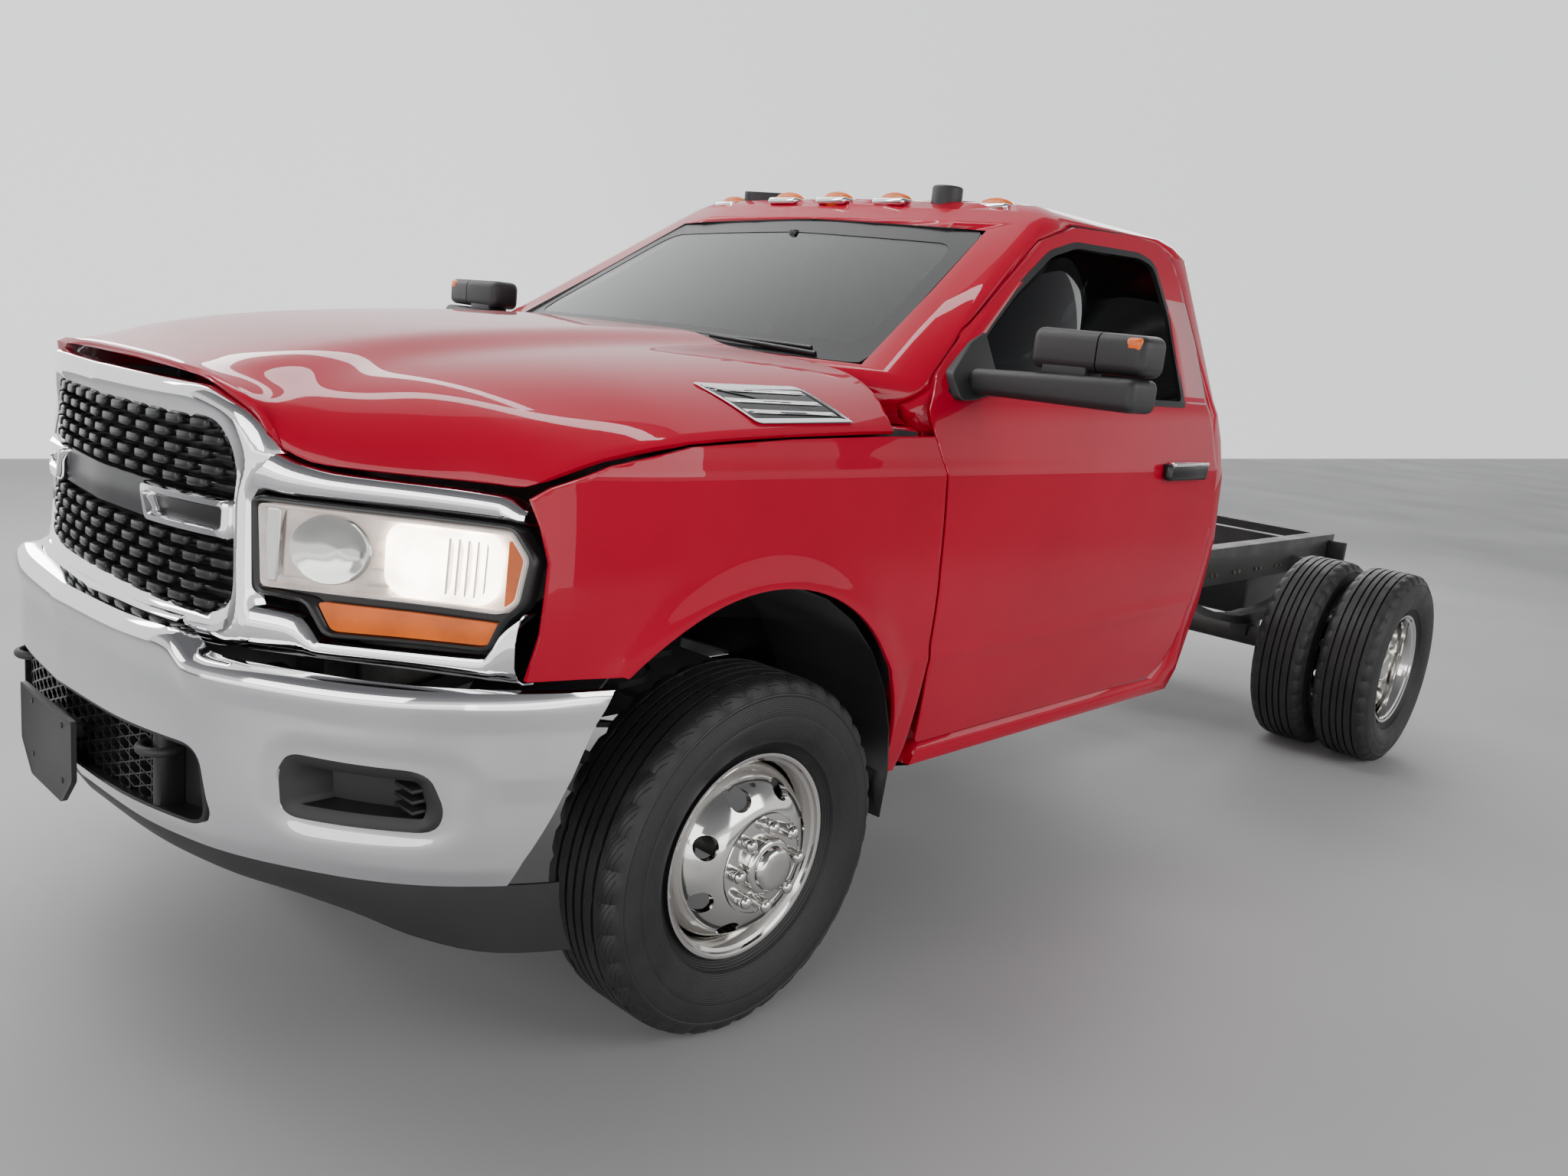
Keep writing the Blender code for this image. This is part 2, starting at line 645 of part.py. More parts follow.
def cab(forms):
    body = copy_of(forms["hull"], "cab_body")
    cut(body, forms["cavity"])
    tunnel = box((-TUNNEL_HALF_WIDTH, along(0) + DOOR_THICKNESS / 2, FLOOR_UNDER + RUNNING_GAP),
                 (TUNNEL_HALF_WIDTH, along(0) + TUNNEL_LENGTH, TUNNEL_TOP))
    join(body, tunnel)
    inner = BODY_HALF_WIDTH - ROCKER_WIDTH
    cut(body, box((-inner, along(0) - OVERRUN, 0), (inner, CAB_BACK_Y + OVERRUN, FLOOR_UNDER)))
    wall = SHEET_THICKNESS
    cut(body, box((wall - TUNNEL_HALF_WIDTH, along(0) - OVERRUN, 0),
                  (TUNNEL_HALF_WIDTH - wall, along(0) + TUNNEL_LENGTH - wall, TUNNEL_TOP - wall)))
    for side in (1, -1):
        outline = cab_outline(DOOR_SHARES, -PANEL_GAP)
        opening = side_prism(outline, side, "door_opening", PANEL_GAP)
        cut(body, cut(opening, forms["opening_inner"]))
        inset = inset_outline(outline, PANEL_GAP - SEAT_GAP)
        room = side_prism(inset, side, "door_room")
        for share in HINGE_SHARES:
            join(body, cut(hinge_leaf(side, up(share)), room))
    arch = Vector((0, AXLE_Y - ARCH_AHEAD, ARCH_HEIGHT))
    reach = Vector((BODY_HALF_WIDTH + OVERRUN, 0, 0))
    cut(body, rod(arch - reach, arch + reach, ARCH_RADIUS + RUNNING_GAP, steps=48, name="arch"))
    glass = both_halves(WINDSHIELD_SHARES)
    cut(body, prism(glass, "y", along(-1), along(1 / 2), "windshield_opening"))
    cut(body, prism(both_halves(REAR_WINDOW_SHARES), "y", along(1 - 1 / 8), along(1 + 1 / 8),
                    "rear_window_opening"))
    for side in (1, -1):
        join(body, hood_bracket(side))
        for x, y, z in MARKER_SHARES[(0 if side > 0 else 1):]:
            place = Vector((side * across(x), along(y), up(z)))
            half = Vector(MARKER_HALF)
            join(body, box(place - half, place + half, "roof_lamp"))
    fin = Vector((across(FIN_SHARES[0]), along(FIN_SHARES[1]), ROOF_Z))
    half = Vector(FIN_SIZE) / 2
    join(body, box(fin - half, fin + half, "fin"))
    puck = Vector((across(PUCK_SHARES[0]), along(PUCK_SHARES[1]), ROOF_Z))
    join(body, rod(puck - Vector((0, 0, ROOF_THICKNESS)), puck + Vector((0, 0, PUCK_HEIGHT)),
                   PUCK_RADIUS, name="puck"))
    part(body, "cab", red_paint())


def side_glass(forms, outline, low, high, axis, name):
    pane = copy_of(forms["glass_outer"], name + "_pane")
    keep(pane, prism(outline, axis, low, high, name + "_edge"))
    return cut(pane, forms["glass_inner"])


def windows(forms):
    front = inset_outline(both_halves(WINDSHIELD_SHARES), SEAT_GAP)
    pane = side_glass(forms, front, along(-1), along(1 / 2), "y", "windshield")
    part(pane, "windshield", tinted_glass())
    rear = inset_outline(both_halves(REAR_WINDOW_SHARES), SEAT_GAP)
    pane = side_glass(forms, rear, along(1 - 1 / 8), along(1 + 1 / 8), "y", "rear_window")
    part(pane, "rear_window", tinted_glass())


MIRROR_X_SHARES = (1.085, 1.375)
MIRROR_Z_SHARES = (0.655, 0.752)
MIRROR_AHEAD_SHARE = 0.110
MIRROR_DEPTH = 0.115
MIRROR_ARM_RADIUS = 0.022
MIRROR_ARM_SHARES = ((0.905, 0.100, 0.640), (1.000, 0.115, 0.636), (1.150, 0.140, 0.645),
                     (1.180, 0.145, 0.672))
SAIL_SHARES = ((0.070, 0.622), (0.110, 0.625), (0.190, 0.640), (0.200, 0.742), (0.150, 0.722),
               (0.070, 0.668))
SAIL_X_SHARES = (0.800, 0.985)
HANDLE_SHARES = (0.690, 0.840)
HANDLE_Z_SHARES = (0.493, 0.533)
HANDLE_PROUD = 0.034


def handle(side):
    """A pull handle standing off the door, its two feet fused to it."""
    z = up(sum(HANDLE_Z_SHARES) / 2)
    outer = side * (side_x(z) + HANDLE_PROUD)
    inner = side * (side_x(z) - SHEET_THICKNESS)
    radius = (up(HANDLE_Z_SHARES[1]) - up(HANDLE_Z_SHARES[0])) / 4
    front, back = along(HANDLE_SHARES[0]), along(HANDLE_SHARES[1])
    reach = side * radius
    return tube([(inner, front, z), (outer - reach, front, z), (outer, front + radius * 2, z),
                 (outer, back - radius * 2, z), (outer - reach, back, z), (inner, back, z)],
                radius, "handle")


def move_across(shape, name):
    """The shape on the truck's left: it is mirrored, and only the mirrored half is kept."""
    twin = shape.modifiers.new("mirror", "MIRROR")
    twin.use_axis = (True, False, False)
    twin.use_mirror_merge = False
    reach = BODY_HALF_WIDTH + OVERRUN
    keep(shape, box((DOOR_THICKNESS, along(-1), 0), (reach, along(2), ROOF_Z + OVERRUN), name + "_half"))


def door(forms, side, name, carrier):
    panel = copy_of(forms["hull"], name + "_panel")
    keep(panel, side_prism(cab_outline(DOOR_SHARES), -1, name + "_edge"))
    cut(panel, forms["cavity"], forms["door_inner"])
    cut(panel, side_prism(cab_outline(WINDOW_SHARES), -1, name + "_window"))
    join(panel, handle(-1))
    if side > 0:
        move_across(panel, name)
    part(panel, "door_" + name, red_paint(), carrier)
    edge = cab_outline(WINDOW_SHARES, SEAT_GAP)
    inner = side * (BODY_HALF_WIDTH - OVERRUN - DOOR_THICKNESS)
    pane = side_glass(forms, edge, inner, side * (BODY_HALF_WIDTH + OVERRUN), "x", name)
    part(pane, "door_glass_" + name, tinted_glass(), carrier)


def mirror(forms, side, name, carrier):
    """A tow mirror: an upright head on an arm from a foot on the door's front corner."""
    low = (side * across(MIRROR_X_SHARES[0]), along(MIRROR_AHEAD_SHARE), up(MIRROR_Z_SHARES[0]))
    high = (side * across(MIRROR_X_SHARES[1]), along(MIRROR_AHEAD_SHARE) + MIRROR_DEPTH,
            up(MIRROR_Z_SHARES[1]))
    head = box(low, high, name + "_head")
    soft = head.modifiers.new("round", "BEVEL")
    soft.width = MIRROR_DEPTH / 4
    soft.segments = 2
    arm = tube([(side * across(x), along(y), up(z)) for x, y, z in MIRROR_ARM_SHARES],
               MIRROR_ARM_RADIUS, name + "_arm")
    sail = prism(cab_outline(SAIL_SHARES), "x", side * across(SAIL_X_SHARES[0]),
                 side * across(SAIL_X_SHARES[1]), name + "_sail")
    join(head, arm, sail)
    cut(head, forms["over_skin"])
    part(head, "mirror_" + name, black_plastic(), carrier)


# Hood, fenders and wheel arches


def nose_taper(y):
    """The share of the body's half width that the sides keep as they near the lamps."""
    start_share, end_share, narrowing = 0.236, 0.519, 0.045
    share = (AXLE_Y - y) / NOSE_LENGTH
    return 1 - narrowing * (max(share - start_share, 0) / (end_share - start_share)) ** 2


def fender_edge():
    """The fender's side outline in (y, z): top line, lamp edge, wheel arch and rear foot."""
    outline = [(ahead(y), up(z)) for y, z in FENDER_SHARES]
    first, last, steps = math.radians(46), math.radians(201), 16
    for i in range(steps + 1):
        angle = first + (last - first) * i / steps
        outline.append((AXLE_Y - ARCH_AHEAD - ARCH_RADIUS * math.cos(angle),
                        ARCH_HEIGHT + ARCH_RADIUS * math.sin(angle)))
    foot = ahead(FENDER_SHARES[0][0])
    outline.append((foot - RUNNING_GAP - FENDER_FOOT, BODY_BASE))
    outline.append((foot, BODY_BASE))
    return outline


FENDER_FOOT = 0.085
PAD_SHARES = (0.100, 0.114)
PAD_LENGTH = 0.018
FENDER_TOP_SHARE = 0.590
FENDER_COLUMN_SHARES = (0.620, 0.560, 0.500, 0.440, 0.370, 0.236, -0.600)


def fender(side, name):
    heights = [up(share) for share, _ in SIDE_SHARES if share < FENDER_TOP_SHARE]
    rows = []
    for z in [BODY_BASE - RUNNING_GAP] + heights + [up(FENDER_TOP_SHARE)]:
        rows.append([(side * side_x(z) * nose_taper(ahead(share)), ahead(share), z)
                     for share in FENDER_COLUMN_SHARES])
    skin = shell(rows, FENDER_THICKNESS, (side, 0, 0), name + "_skin")
    keep(skin, side_prism(fender_edge(), side, name + "_edge"))
    low, high = up(PAD_SHARES[0]), up(PAD_SHARES[1])
    back = ahead(FENDER_SHARES[1][0]) + RUNNING_GAP
    join(skin, box((side * (side_x(high) - PILLAR_SET_IN + SEAT_GAP), back - PAD_LENGTH, low),
                   (side * (side_x(low) - FENDER_THICKNESS / 3), back, high), name + "_pad"))
    part(skin, "fender_" + name, red_paint())


def hood_drop(fraction, forward):
    """How far the hood has fallen from its middle to its edge, at a fraction of its half width."""
    rear = lookup(HOOD_REAR_DROP_SHARES, fraction)
    nose = lookup(HOOD_NOSE_DROP_SHARES, fraction)
    return rear + (nose - rear) * forward


HOOD_FRACTION_SHARES = (0.0, 0.30, 0.42, 0.52, 0.70, 0.83, 0.93, 1.0)
HOOD_EDGE_GAP = 0.004


def hood(carrier):
    rows = []
    first, last = HOOD_SHARES[0][0], HOOD_SHARES[-1][0]
    for y, half, edge, crown in HOOD_SHARES:
        forward = max((y - first) / (last - first), 0)
        line = []
        for fraction in HOOD_FRACTION_SHARES:
            drop = (crown - edge) * hood_drop(fraction, forward)
            line.append((across(half) * fraction, ahead(y), up(crown - drop)))
        rows.append([(-x, v, z) for x, v, z in reversed(line[1:])] + line)
    panel = shell(rows, HOOD_THICKNESS, (0, 0, 1), "hood_panel")
    edge = [(across(x), ahead(y)) for x, y in HOOD_REAR_EDGE_SHARES]
    trim = edge + [(across(HOOD_REAR_EDGE_SHARES[-1][0]), ahead(-1)),
                   (-across(HOOD_REAR_EDGE_SHARES[-1][0]), ahead(-1))]
    trim += [(-x, y) for x, y in reversed(edge[1:])]
    cut(panel, prism(trim, "z", up(0), up(1), "hood_rear_trim"))
    for side in (1, -1):
        cut(panel, side_prism(inset_outline(fender_edge(), -HOOD_EDGE_GAP), side, "fender_room"))
    front = inset_outline(both_halves(SURROUND_SHARES + SURROUND_LOW_SHARES), -HOOD_EDGE_GAP)
    cut(panel, prism(front, "y", AXLE_Y - FRONT_OVERHANG - OVERRUN, AXLE_Y, "surround_room"))
    part(panel, "hood", red_paint(), carrier)


LINER_OUTER_GAP = 0.002
LINER_SHARE = 0.200
FLAP_SHARES = (0.800, 0.920)
FLAP_BOTTOM = 0.400
LINER_NOSE_SHARES = (0.935, 0.360)


def wheel_liner(side, name):
    """The arch's inner lining: a curved sheet, a flat inner wall and the flap behind."""
    outer_radius = ARCH_RADIUS - LINER_OUTER_GAP
    inner_radius = outer_radius - LINER_THICKNESS
    first, last, steps = math.radians(12), math.radians(192), 14
    angles = [first + (last - first) * i / steps for i in range(steps + 1)]
    centre_y, centre_z = AXLE_Y - ARCH_AHEAD, ARCH_HEIGHT

    def arc(radius):
        return [(centre_y - radius * math.cos(a), centre_z + radius * math.sin(a)) for a in angles]

    band = arc(outer_radius) + list(reversed(arc(inner_radius)))
    low, high = LINER_INNER_X, side_x(up(LINER_SHARE)) - FENDER_THICKNESS - RUNNING_GAP
    liner = prism(band, "x", side * low, side * high, name + "_band")
    wall = [(y, z) for y, z in arc(inner_radius + LINER_THICKNESS / 2) if z > 2 * TYRE_RADIUS]
    join(liner, prism(wall, "x", side * low, side * (low + LINER_THICKNESS), name + "_wall"))
    flap_y = centre_y + outer_radius - LINER_THICKNESS
    join(liner, box((side * across(FLAP_SHARES[0]), flap_y - LINER_THICKNESS, FLAP_BOTTOM),
                    (side * across(FLAP_SHARES[1]), flap_y + LINER_THICKNESS / 2, ARCH_HEIGHT)))
    cut(liner, box((side * across(LINER_NOSE_SHARES[0]), ahead(1), 0),
                   (side * across(1), ahead(LINER_NOSE_SHARES[1]), BUMPER_TOP + BUMPER_RISE)))
    part(liner, "wheel_liner_" + name, black_plastic())


# Bumper, grille and lamps


BUMPER_PROFILE = ((0.050, 0.0), (0.018, 0.004), (0.004, 0.020), (0.0, 0.050), (0.004, 0.160),
                  (0.012, 0.250), (0.030, 0.330), (0.055, 0.373))
BUMPER_X_SHARES = (0.0, 0.25, 0.40, 0.45, 0.50, 0.60, 0.70, 0.82, 0.90, 0.96, 0.99)
BUMPER_RISE_SHARES = (0.40, 0.50)
BUMPER_END_SHARE = 0.900
BUMPER_END_SHARES = ((0.380, 0.260), (0.405, 0.247), (0.436, 0.203), (0.490, 0.099),
                     (0.535, 0.028), (0.560, -0.020))
OPENING_SHARES = (0.530, 0.034, 0.142)
OPENING_DRAFT_SHARE = 0.030
FOG_SHARES = (0.634, 0.860, 0.066, 0.152)


def bumper_rise(x_share):
    low, high = BUMPER_RISE_SHARES
    return BUMPER_RISE * (1 - min(max((x_share - low) / (high - low), 0), 1))


def front_slab(table, inset, depth, low, high, name, rake=0.0):
    """A curved slab behind a front plan curve; rake sets its top back."""
    columns = [row[0] for row in table]
    loops = []
    for z in (low, high):
        back = rake * (z - low)
        line = [(across(x), plan_y(table, across(x)) + inset + back, z) for x in columns]
        rear = [(x, y + depth, z) for x, y, z in reversed(line)]
        ring = [(-x, y, z) for x, y, z in reversed(line[1:])] + line
        ring += rear + [(-x, y, z) for x, y, z in reversed(rear[:-1])]
        loops.append(ring)
    return loft(loops, name)


def front_cutter(shares, side, name):
    """A front outline on one side of the truck, pulled right through the nose."""
    outline = [(side * across(x), up(z)) for x, z in shares]
    return prism(outline, "y", AXLE_Y - FRONT_OVERHANG - OVERRUN, AXLE_Y, name)


def rectangle(low_x, high_x, low_z, high_z):
    return ((low_x, low_z), (high_x, low_z), (high_x, high_z), (low_x, high_z))


def bumper():
    rows = []
    height = BUMPER_TOP - BUMPER_BOTTOM
    full = BUMPER_PROFILE[-1][1]
    for x in BUMPER_X_SHARES:
        y = plan_y(BUMPER_PLAN_SHARES, across(x))
        rise = bumper_rise(x)
        rows.append([(across(x), y + back, BUMPER_TOP + rise - down * (height + rise) / full)
                     for back, down in BUMPER_PROFILE])
    rows = [mirrored(row, -1) for row in reversed(rows[1:])] + rows
    face = shell(rows, BUMPER_THICKNESS, (0, -1, 0), "bumper_face")
    cut(face, prism(lower_opening(), "y", ahead(1) - OVERRUN, ahead(1) + OVERRUN / 2, "lower_opening"))
    outline = [(ahead(y), up(z)) for y, z in BUMPER_END_SHARES]
    outline += [(ahead(0), BUMPER_BOTTOM - OVERRUN), (ahead(0), BUMPER_TOP + OVERRUN)]
    for side in (1, -1):
        cut(face, prism(outline, "x", side * across(BUMPER_END_SHARE), side * across(2), "bumper_end"))
        cut(face, front_cutter(rectangle(*FOG_SHARES), side, "fog_opening"))
    part(face, "front_bumper", chrome())


INSERT_DEPTH = 0.020
INSERT_RIM = 0.008
INSERT_FLOOR = 0.040


def lower_opening():
    width, low, high = OPENING_SHARES
    return both_halves(((0, low), (width, low), (width - OPENING_DRAFT_SHARE, high), (0, high)))


def bumper_insert():
    """A tray in the bumper's lower opening: its rim meets the chrome, its floor is set back."""
    low, high = up(OPENING_SHARES[1]) - RUNNING_GAP, up(OPENING_SHARES[2]) + RUNNING_GAP
    table = BUMPER_PLAN_SHARES[:5]
    slab = front_slab(table, INSERT_RIM, INSERT_FLOOR + INSERT_DEPTH - INSERT_RIM, low, high,
                      "insert_slab")
    outline = inset_outline(lower_opening(), SEAT_GAP)
    keep(slab, prism(outline, "y", ahead(1) - OVERRUN, ahead(1 / 2), "insert_edge"))
    room = front_slab(table, -OVERRUN / 3, OVERRUN / 3 + INSERT_FLOOR, low, high, "insert_room")
    keep(room, prism(inset_outline(lower_opening(), INSERT_DEPTH / 2), "y", ahead(1) - OVERRUN,
                     ahead(1 / 2), "insert_room_edge"))
    part(cut(slab, room), "bumper_insert", black_plastic())


def fog_bezel(side, name):
    slab = front_slab(BUMPER_PLAN_SHARES, BUMPER_THICKNESS * 4, INSERT_DEPTH, up(0.05), up(0.17),
                      "fog_slab")
    keep(slab, front_cutter(rectangle(*FOG_SHARES), side, "fog_edge"))
    part(slab, "fog_bezel_" + name, black_plastic())


AIR_DAM_SHARES = ((0.0, -0.0507), (0.600, -0.0507), (0.780, -0.0608), (0.930, -0.0946))
AIR_DAM_THICKNESS = 0.006


def air_dam():
    """A strip hung under the bumper's lower edge, deeper at its ends."""
    top = BUMPER_BOTTOM - SEAT_GAP
    slab = front_slab(BUMPER_PLAN_SHARES[:-1], BUMPER_PROFILE[-1][0], AIR_DAM_THICKNESS,
                      up(AIR_DAM_SHARES[-1][1]) - RUNNING_GAP, top, "dam")
    half = [(across(x), up(z)) for x, z in AIR_DAM_SHARES]
    half.append((across(AIR_DAM_SHARES[-1][0]), ROOF_Z))
    outline = half + [(-x, z) for x, z in reversed(half) if x > 0]
    keep(slab, prism(outline, "y", ahead(1) - OVERRUN, AXLE_Y, "dam_edge"))
    part(slab, "air_dam", black_plastic())


PLATE_WIDTH = 0.310
PLATE_LOW = 0.455
PLATE_HIGH = 0.640
PLATE_THICKNESS = 0.012


def plate_holder():
    face = AXLE_Y - FRONT_OVERHANG
    chamfer = (PLATE_HIGH - PLATE_LOW) / 3
    half = PLATE_WIDTH / 2
    outline = [(half - chamfer, PLATE_LOW), (half, PLATE_LOW + chamfer), (half, PLATE_HIGH),
               (-half, PLATE_HIGH), (-half, PLATE_LOW + chamfer), (chamfer - half, PLATE_LOW)]
    holder = prism(outline, "y", face, face + PLATE_THICKNESS, "holder")
    for side in (1, -1):
        near, far = half / 4, half / 2
        back = plan_y(BUMPER_PLAN_SHARES, near) + INSERT_FLOOR - SEAT_GAP
        join(holder, box((side * near, face + PLATE_THICKNESS / 2, PLATE_HIGH - chamfer),
                         (side * far, back, PLATE_HIGH - chamfer / 2)))
    part(holder, "plate_holder", black_plastic())


def grille_surround():
    slab = front_slab(NOSE_PLAN_SHARES, 0, SURROUND_DEPTH, up(SURROUND_BASE_SHARE), up(3 / 5),
                      "surround_slab", SURROUND_RAKE)
    outline = both_halves(SURROUND_SHARES + SURROUND_LOW_SHARES)
    keep(slab, prism(outline, "y", AXLE_Y - FRONT_OVERHANG - OVERRUN, AXLE_Y, "surround_edge"))
    grille = both_halves(GRILLE_SHARES)
    cut(slab, prism(grille, "y", AXLE_Y - FRONT_OVERHANG - OVERRUN, AXLE_Y, "grille_opening"))
    for side in (1, -1):
        cut(slab, front_cutter(LAMP_SHARES, side, "lamp_opening"))
    part(slab, "grille_surround", chrome())


def grille_mesh():
    slab = front_slab(NOSE_PLAN_SHARES[:4], GRILLE_SETBACK, GRILLE_DEPTH,
                      up(SURROUND_BASE_SHARE), up(3 / 5), "grille_slab", SURROUND_RAKE)
    outline = inset_outline(both_halves(GRILLE_SHARES), SEAT_GAP)
    keep(slab, prism(outline, "y", AXLE_Y - FRONT_OVERHANG - OVERRUN, AXLE_Y, "grille_edge"))
    for field, rows in zip(GRILLE_FIELD_SHARES, GRILLE_ROWS):
        low, high, half = up(field[0]), up(field[1]), across(field[2])
        pitch_x, pitch_z = 2 * half / GRILLE_COLUMNS, (high - low) / rows
        for row in range(rows):
            base = low + row * pitch_z + GRILLE_BAR / 2
            shift = pitch_x / 4 * (1 if row % 2 else -1)
            for column in range(GRILLE_COLUMNS):
                left = column * pitch_x - half + shift + GRILLE_BAR / 2
                cut(slab, box((left, ahead(1) - OVERRUN, base),
                              (left + pitch_x - GRILLE_BAR, AXLE_Y, base + pitch_z - GRILLE_BAR)))
    part(slab, "grille_mesh", black_plastic())


def headlamp(side, name):
    slab = front_slab(NOSE_PLAN_SHARES, LAMP_SETBACK, LAMP_DEPTH, up(SURROUND_BASE_SHARE),
                      up(3 / 5), "lamp_slab", SURROUND_RAKE)
    outline = inset_outline([(side * across(x), up(z)) for x, z in LAMP_SHARES], SEAT_GAP)
    keep(slab, prism(outline, "y", AXLE_Y - FRONT_OVERHANG - OVERRUN, AXLE_Y, "lamp_edge"))
    part(slab, "headlamp_" + name, lamp_lens())


# Frame, engine and drive


RAIL_POINTS = (("front", -0.80), ("front", -0.45), ("axle", -0.24), ("axle", 0.20), ("cab", 0.43),
               ("cab", 2.14), ("rear", 2.54), ("rear", WHEELBASE + REAR_OVERHANG))
RAIL_LEVELS = {"front": RAIL_FRONT_Z, "axle": RAIL_AXLE_Z, "cab": RAIL_CAB_Z, "rear": RAIL_REAR_Z}
CROSS_DEPTH = 0.060
CAB_CROSS_AT = 2.050
REAR_CROSS_AT = (2.620, 3.050)
BRACKET_WIDTH = 0.060
BRACKET_LOW = 0.725
BRACKET_TOP = 0.780
BRACKET_SHARES = (0.840, 0.720)
MOUNT_RADIUS = 0.035
MOUNT_SHARES = (0.16, 0.88)
MOUNT_X = 0.500
TOWER_TOP = 0.760
TOWER_HALF = 0.075


def behind(distance):
    return AXLE_Y + distance


def rail(side):
    """A C channel with its web outboard and its flanges towards the middle."""
    loops = []
    outer, inner, wall = RAIL_OUTER_X, RAIL_OUTER_X - RAIL_FLANGE, RAIL_WALL
    for level, distance in RAIL_POINTS:
        mid = RAIL_LEVELS[level]
        low, high = mid - RAIL_DEPTH / 2, mid + RAIL_DEPTH / 2
        section = [(inner, low), (outer, low), (outer, high), (inner, high), (inner, high - wall),
                   (outer - wall, high - wall), (outer - wall, low + wall), (inner, low + wall)]
        loops.append([(side * x, behind(distance), z) for x, z in section])
    return loft(loops, "rail")


def crossmember(distance, low, high, depth=CROSS_DEPTH):
    reach = RAIL_OUTER_X - RAIL_WALL / 2
    return box((-reach, behind(distance) - depth / 2, low),
               (reach, behind(distance) + depth / 2, high), "crossmember")


def bumper_inner_y(x, z):
    """The y of the back of the bumper's face."""
    rise = bumper_rise(x / BODY_HALF_WIDTH)
    full = BUMPER_PROFILE[-1][1]
    down = (BUMPER_TOP + rise - z) * full / (BUMPER_TOP - BUMPER_BOTTOM + rise)
    table = [(low, back) for back, low in BUMPER_PROFILE]
    return plan_y(BUMPER_PLAN_SHARES, x) + lookup(table, down) + BUMPER_THICKNESS


def frame():
    body = rail(1)
    join(body, rail(-1))
    wall = RAIL_WALL
    front_low, front_high = RAIL_FRONT_Z - RAIL_DEPTH / 2, RAIL_FRONT_Z + RAIL_DEPTH / 2
    cab_low, cab_high = RAIL_CAB_Z - RAIL_DEPTH / 2, RAIL_CAB_Z + RAIL_DEPTH / 2
    rear_low, rear_high = RAIL_REAR_Z - RAIL_DEPTH / 2, RAIL_REAR_Z + RAIL_DEPTH / 2
    join(body, crossmember(RADIATOR_AT, front_low + wall / 2, RADIATOR_LOW - SEAT_GAP))
    join(body, crossmember(ENGINE_BACK - CROSS_DEPTH * 2, cab_low + wall / 2, ENGINE_LOW - SEAT_GAP,
                           CROSS_DEPTH * 1.5))
    join(body, crossmember(GEARBOX_SEAT, cab_low + wall / 2, cab_low + CROSS_DEPTH / 2))
    join(body, crossmember(CAB_CROSS_AT, RAIL_CAB_Z + CROSS_DEPTH / 2, cab_high - wall / 2))
    for distance in (*REAR_CROSS_AT, TANK_MIDDLE, WHEELBASE + REAR_OVERHANG - CROSS_DEPTH):
        join(body, crossmember(distance, rear_low + wall / 2, rear_high - wall / 2))
    for side in (1, -1):
        x_high = side * (RAIL_OUTER_X - RAIL_WALL / 2)
        x_low = side * (RAIL_OUTER_X - BRACKET_WIDTH)
        places = [(abs(x), z) for x in (x_low, x_high) for z in (BRACKET_LOW, BRACKET_TOP)]
        y_front = max(bumper_inner_y(x, z) for x, z in places) + SEAT_GAP
        y_mid, y_back = ahead(BRACKET_SHARES[0]), ahead(BRACKET_SHARES[1])
        bracket = [(y_front, BRACKET_LOW), (y_mid, BRACKET_LOW), (y_mid, front_high - wall / 2),
                   (y_back, front_high - wall / 2), (y_back, BRACKET_TOP), (y_front, BRACKET_TOP)]
        join(body, prism(bracket, "x", x_low, x_high, "bumper_bracket"))
        for share in MOUNT_SHARES:
            place = Vector((side * MOUNT_X, along(share), FLOOR_UNDER - SEAT_GAP))
            foot = box((side * (RAIL_OUTER_X - wall / 2), place.y - MOUNT_RADIUS, cab_low + wall * 2),
                       (side * (MOUNT_X + MOUNT_RADIUS), place.y + MOUNT_RADIUS,
                        RAIL_CAB_Z))
            join(body, foot, rod(place - Vector((0, 0, FLOOR_UNDER - RAIL_CAB_Z + wall)), place,
                                 MOUNT_RADIUS * 0.9))
        join(body, box((side * (RAIL_OUTER_X - wall / 2), AXLE_Y - TOWER_HALF, TOWER_TOP - wall * 2),
                       (side * (COIL_X + TOWER_HALF), AXLE_Y + TOWER_HALF, TOWER_TOP)))
        join(body, box((side * (RAIL_OUTER_X - wall / 3), AXLE_Y - TOWER_HALF + wall, RAIL_AXLE_Z),
                       (side * (RAIL_OUTER_X + wall), AXLE_Y + TOWER_HALF - wall,
                        TOWER_TOP - wall)))
        for end in (-1, 1):
            y = REAR_AXLE_Y + end * (LEAF_HALF_LENGTH - CROSS_DEPTH / 2)
            join(body, box((side * (RAIL_OUTER_X - wall / 2), y - CROSS_DEPTH / 2, HANGER_LOW),
                           (side * (LEAF_X + LEAF_WIDTH / 2), y + CROSS_DEPTH / 2, RAIL_REAR_Z)))
        y = behind(ARM_END)
        join(body, box((side * (RAIL_OUTER_X - BRACKET_WIDTH), y - CROSS_DEPTH / 2, ARM_BRACKET_LOW),
                       (side * (RAIL_OUTER_X - wall / 2), y + CROSS_DEPTH / 2, cab_low + wall / 2)))
    part(body, "frame", black_steel())


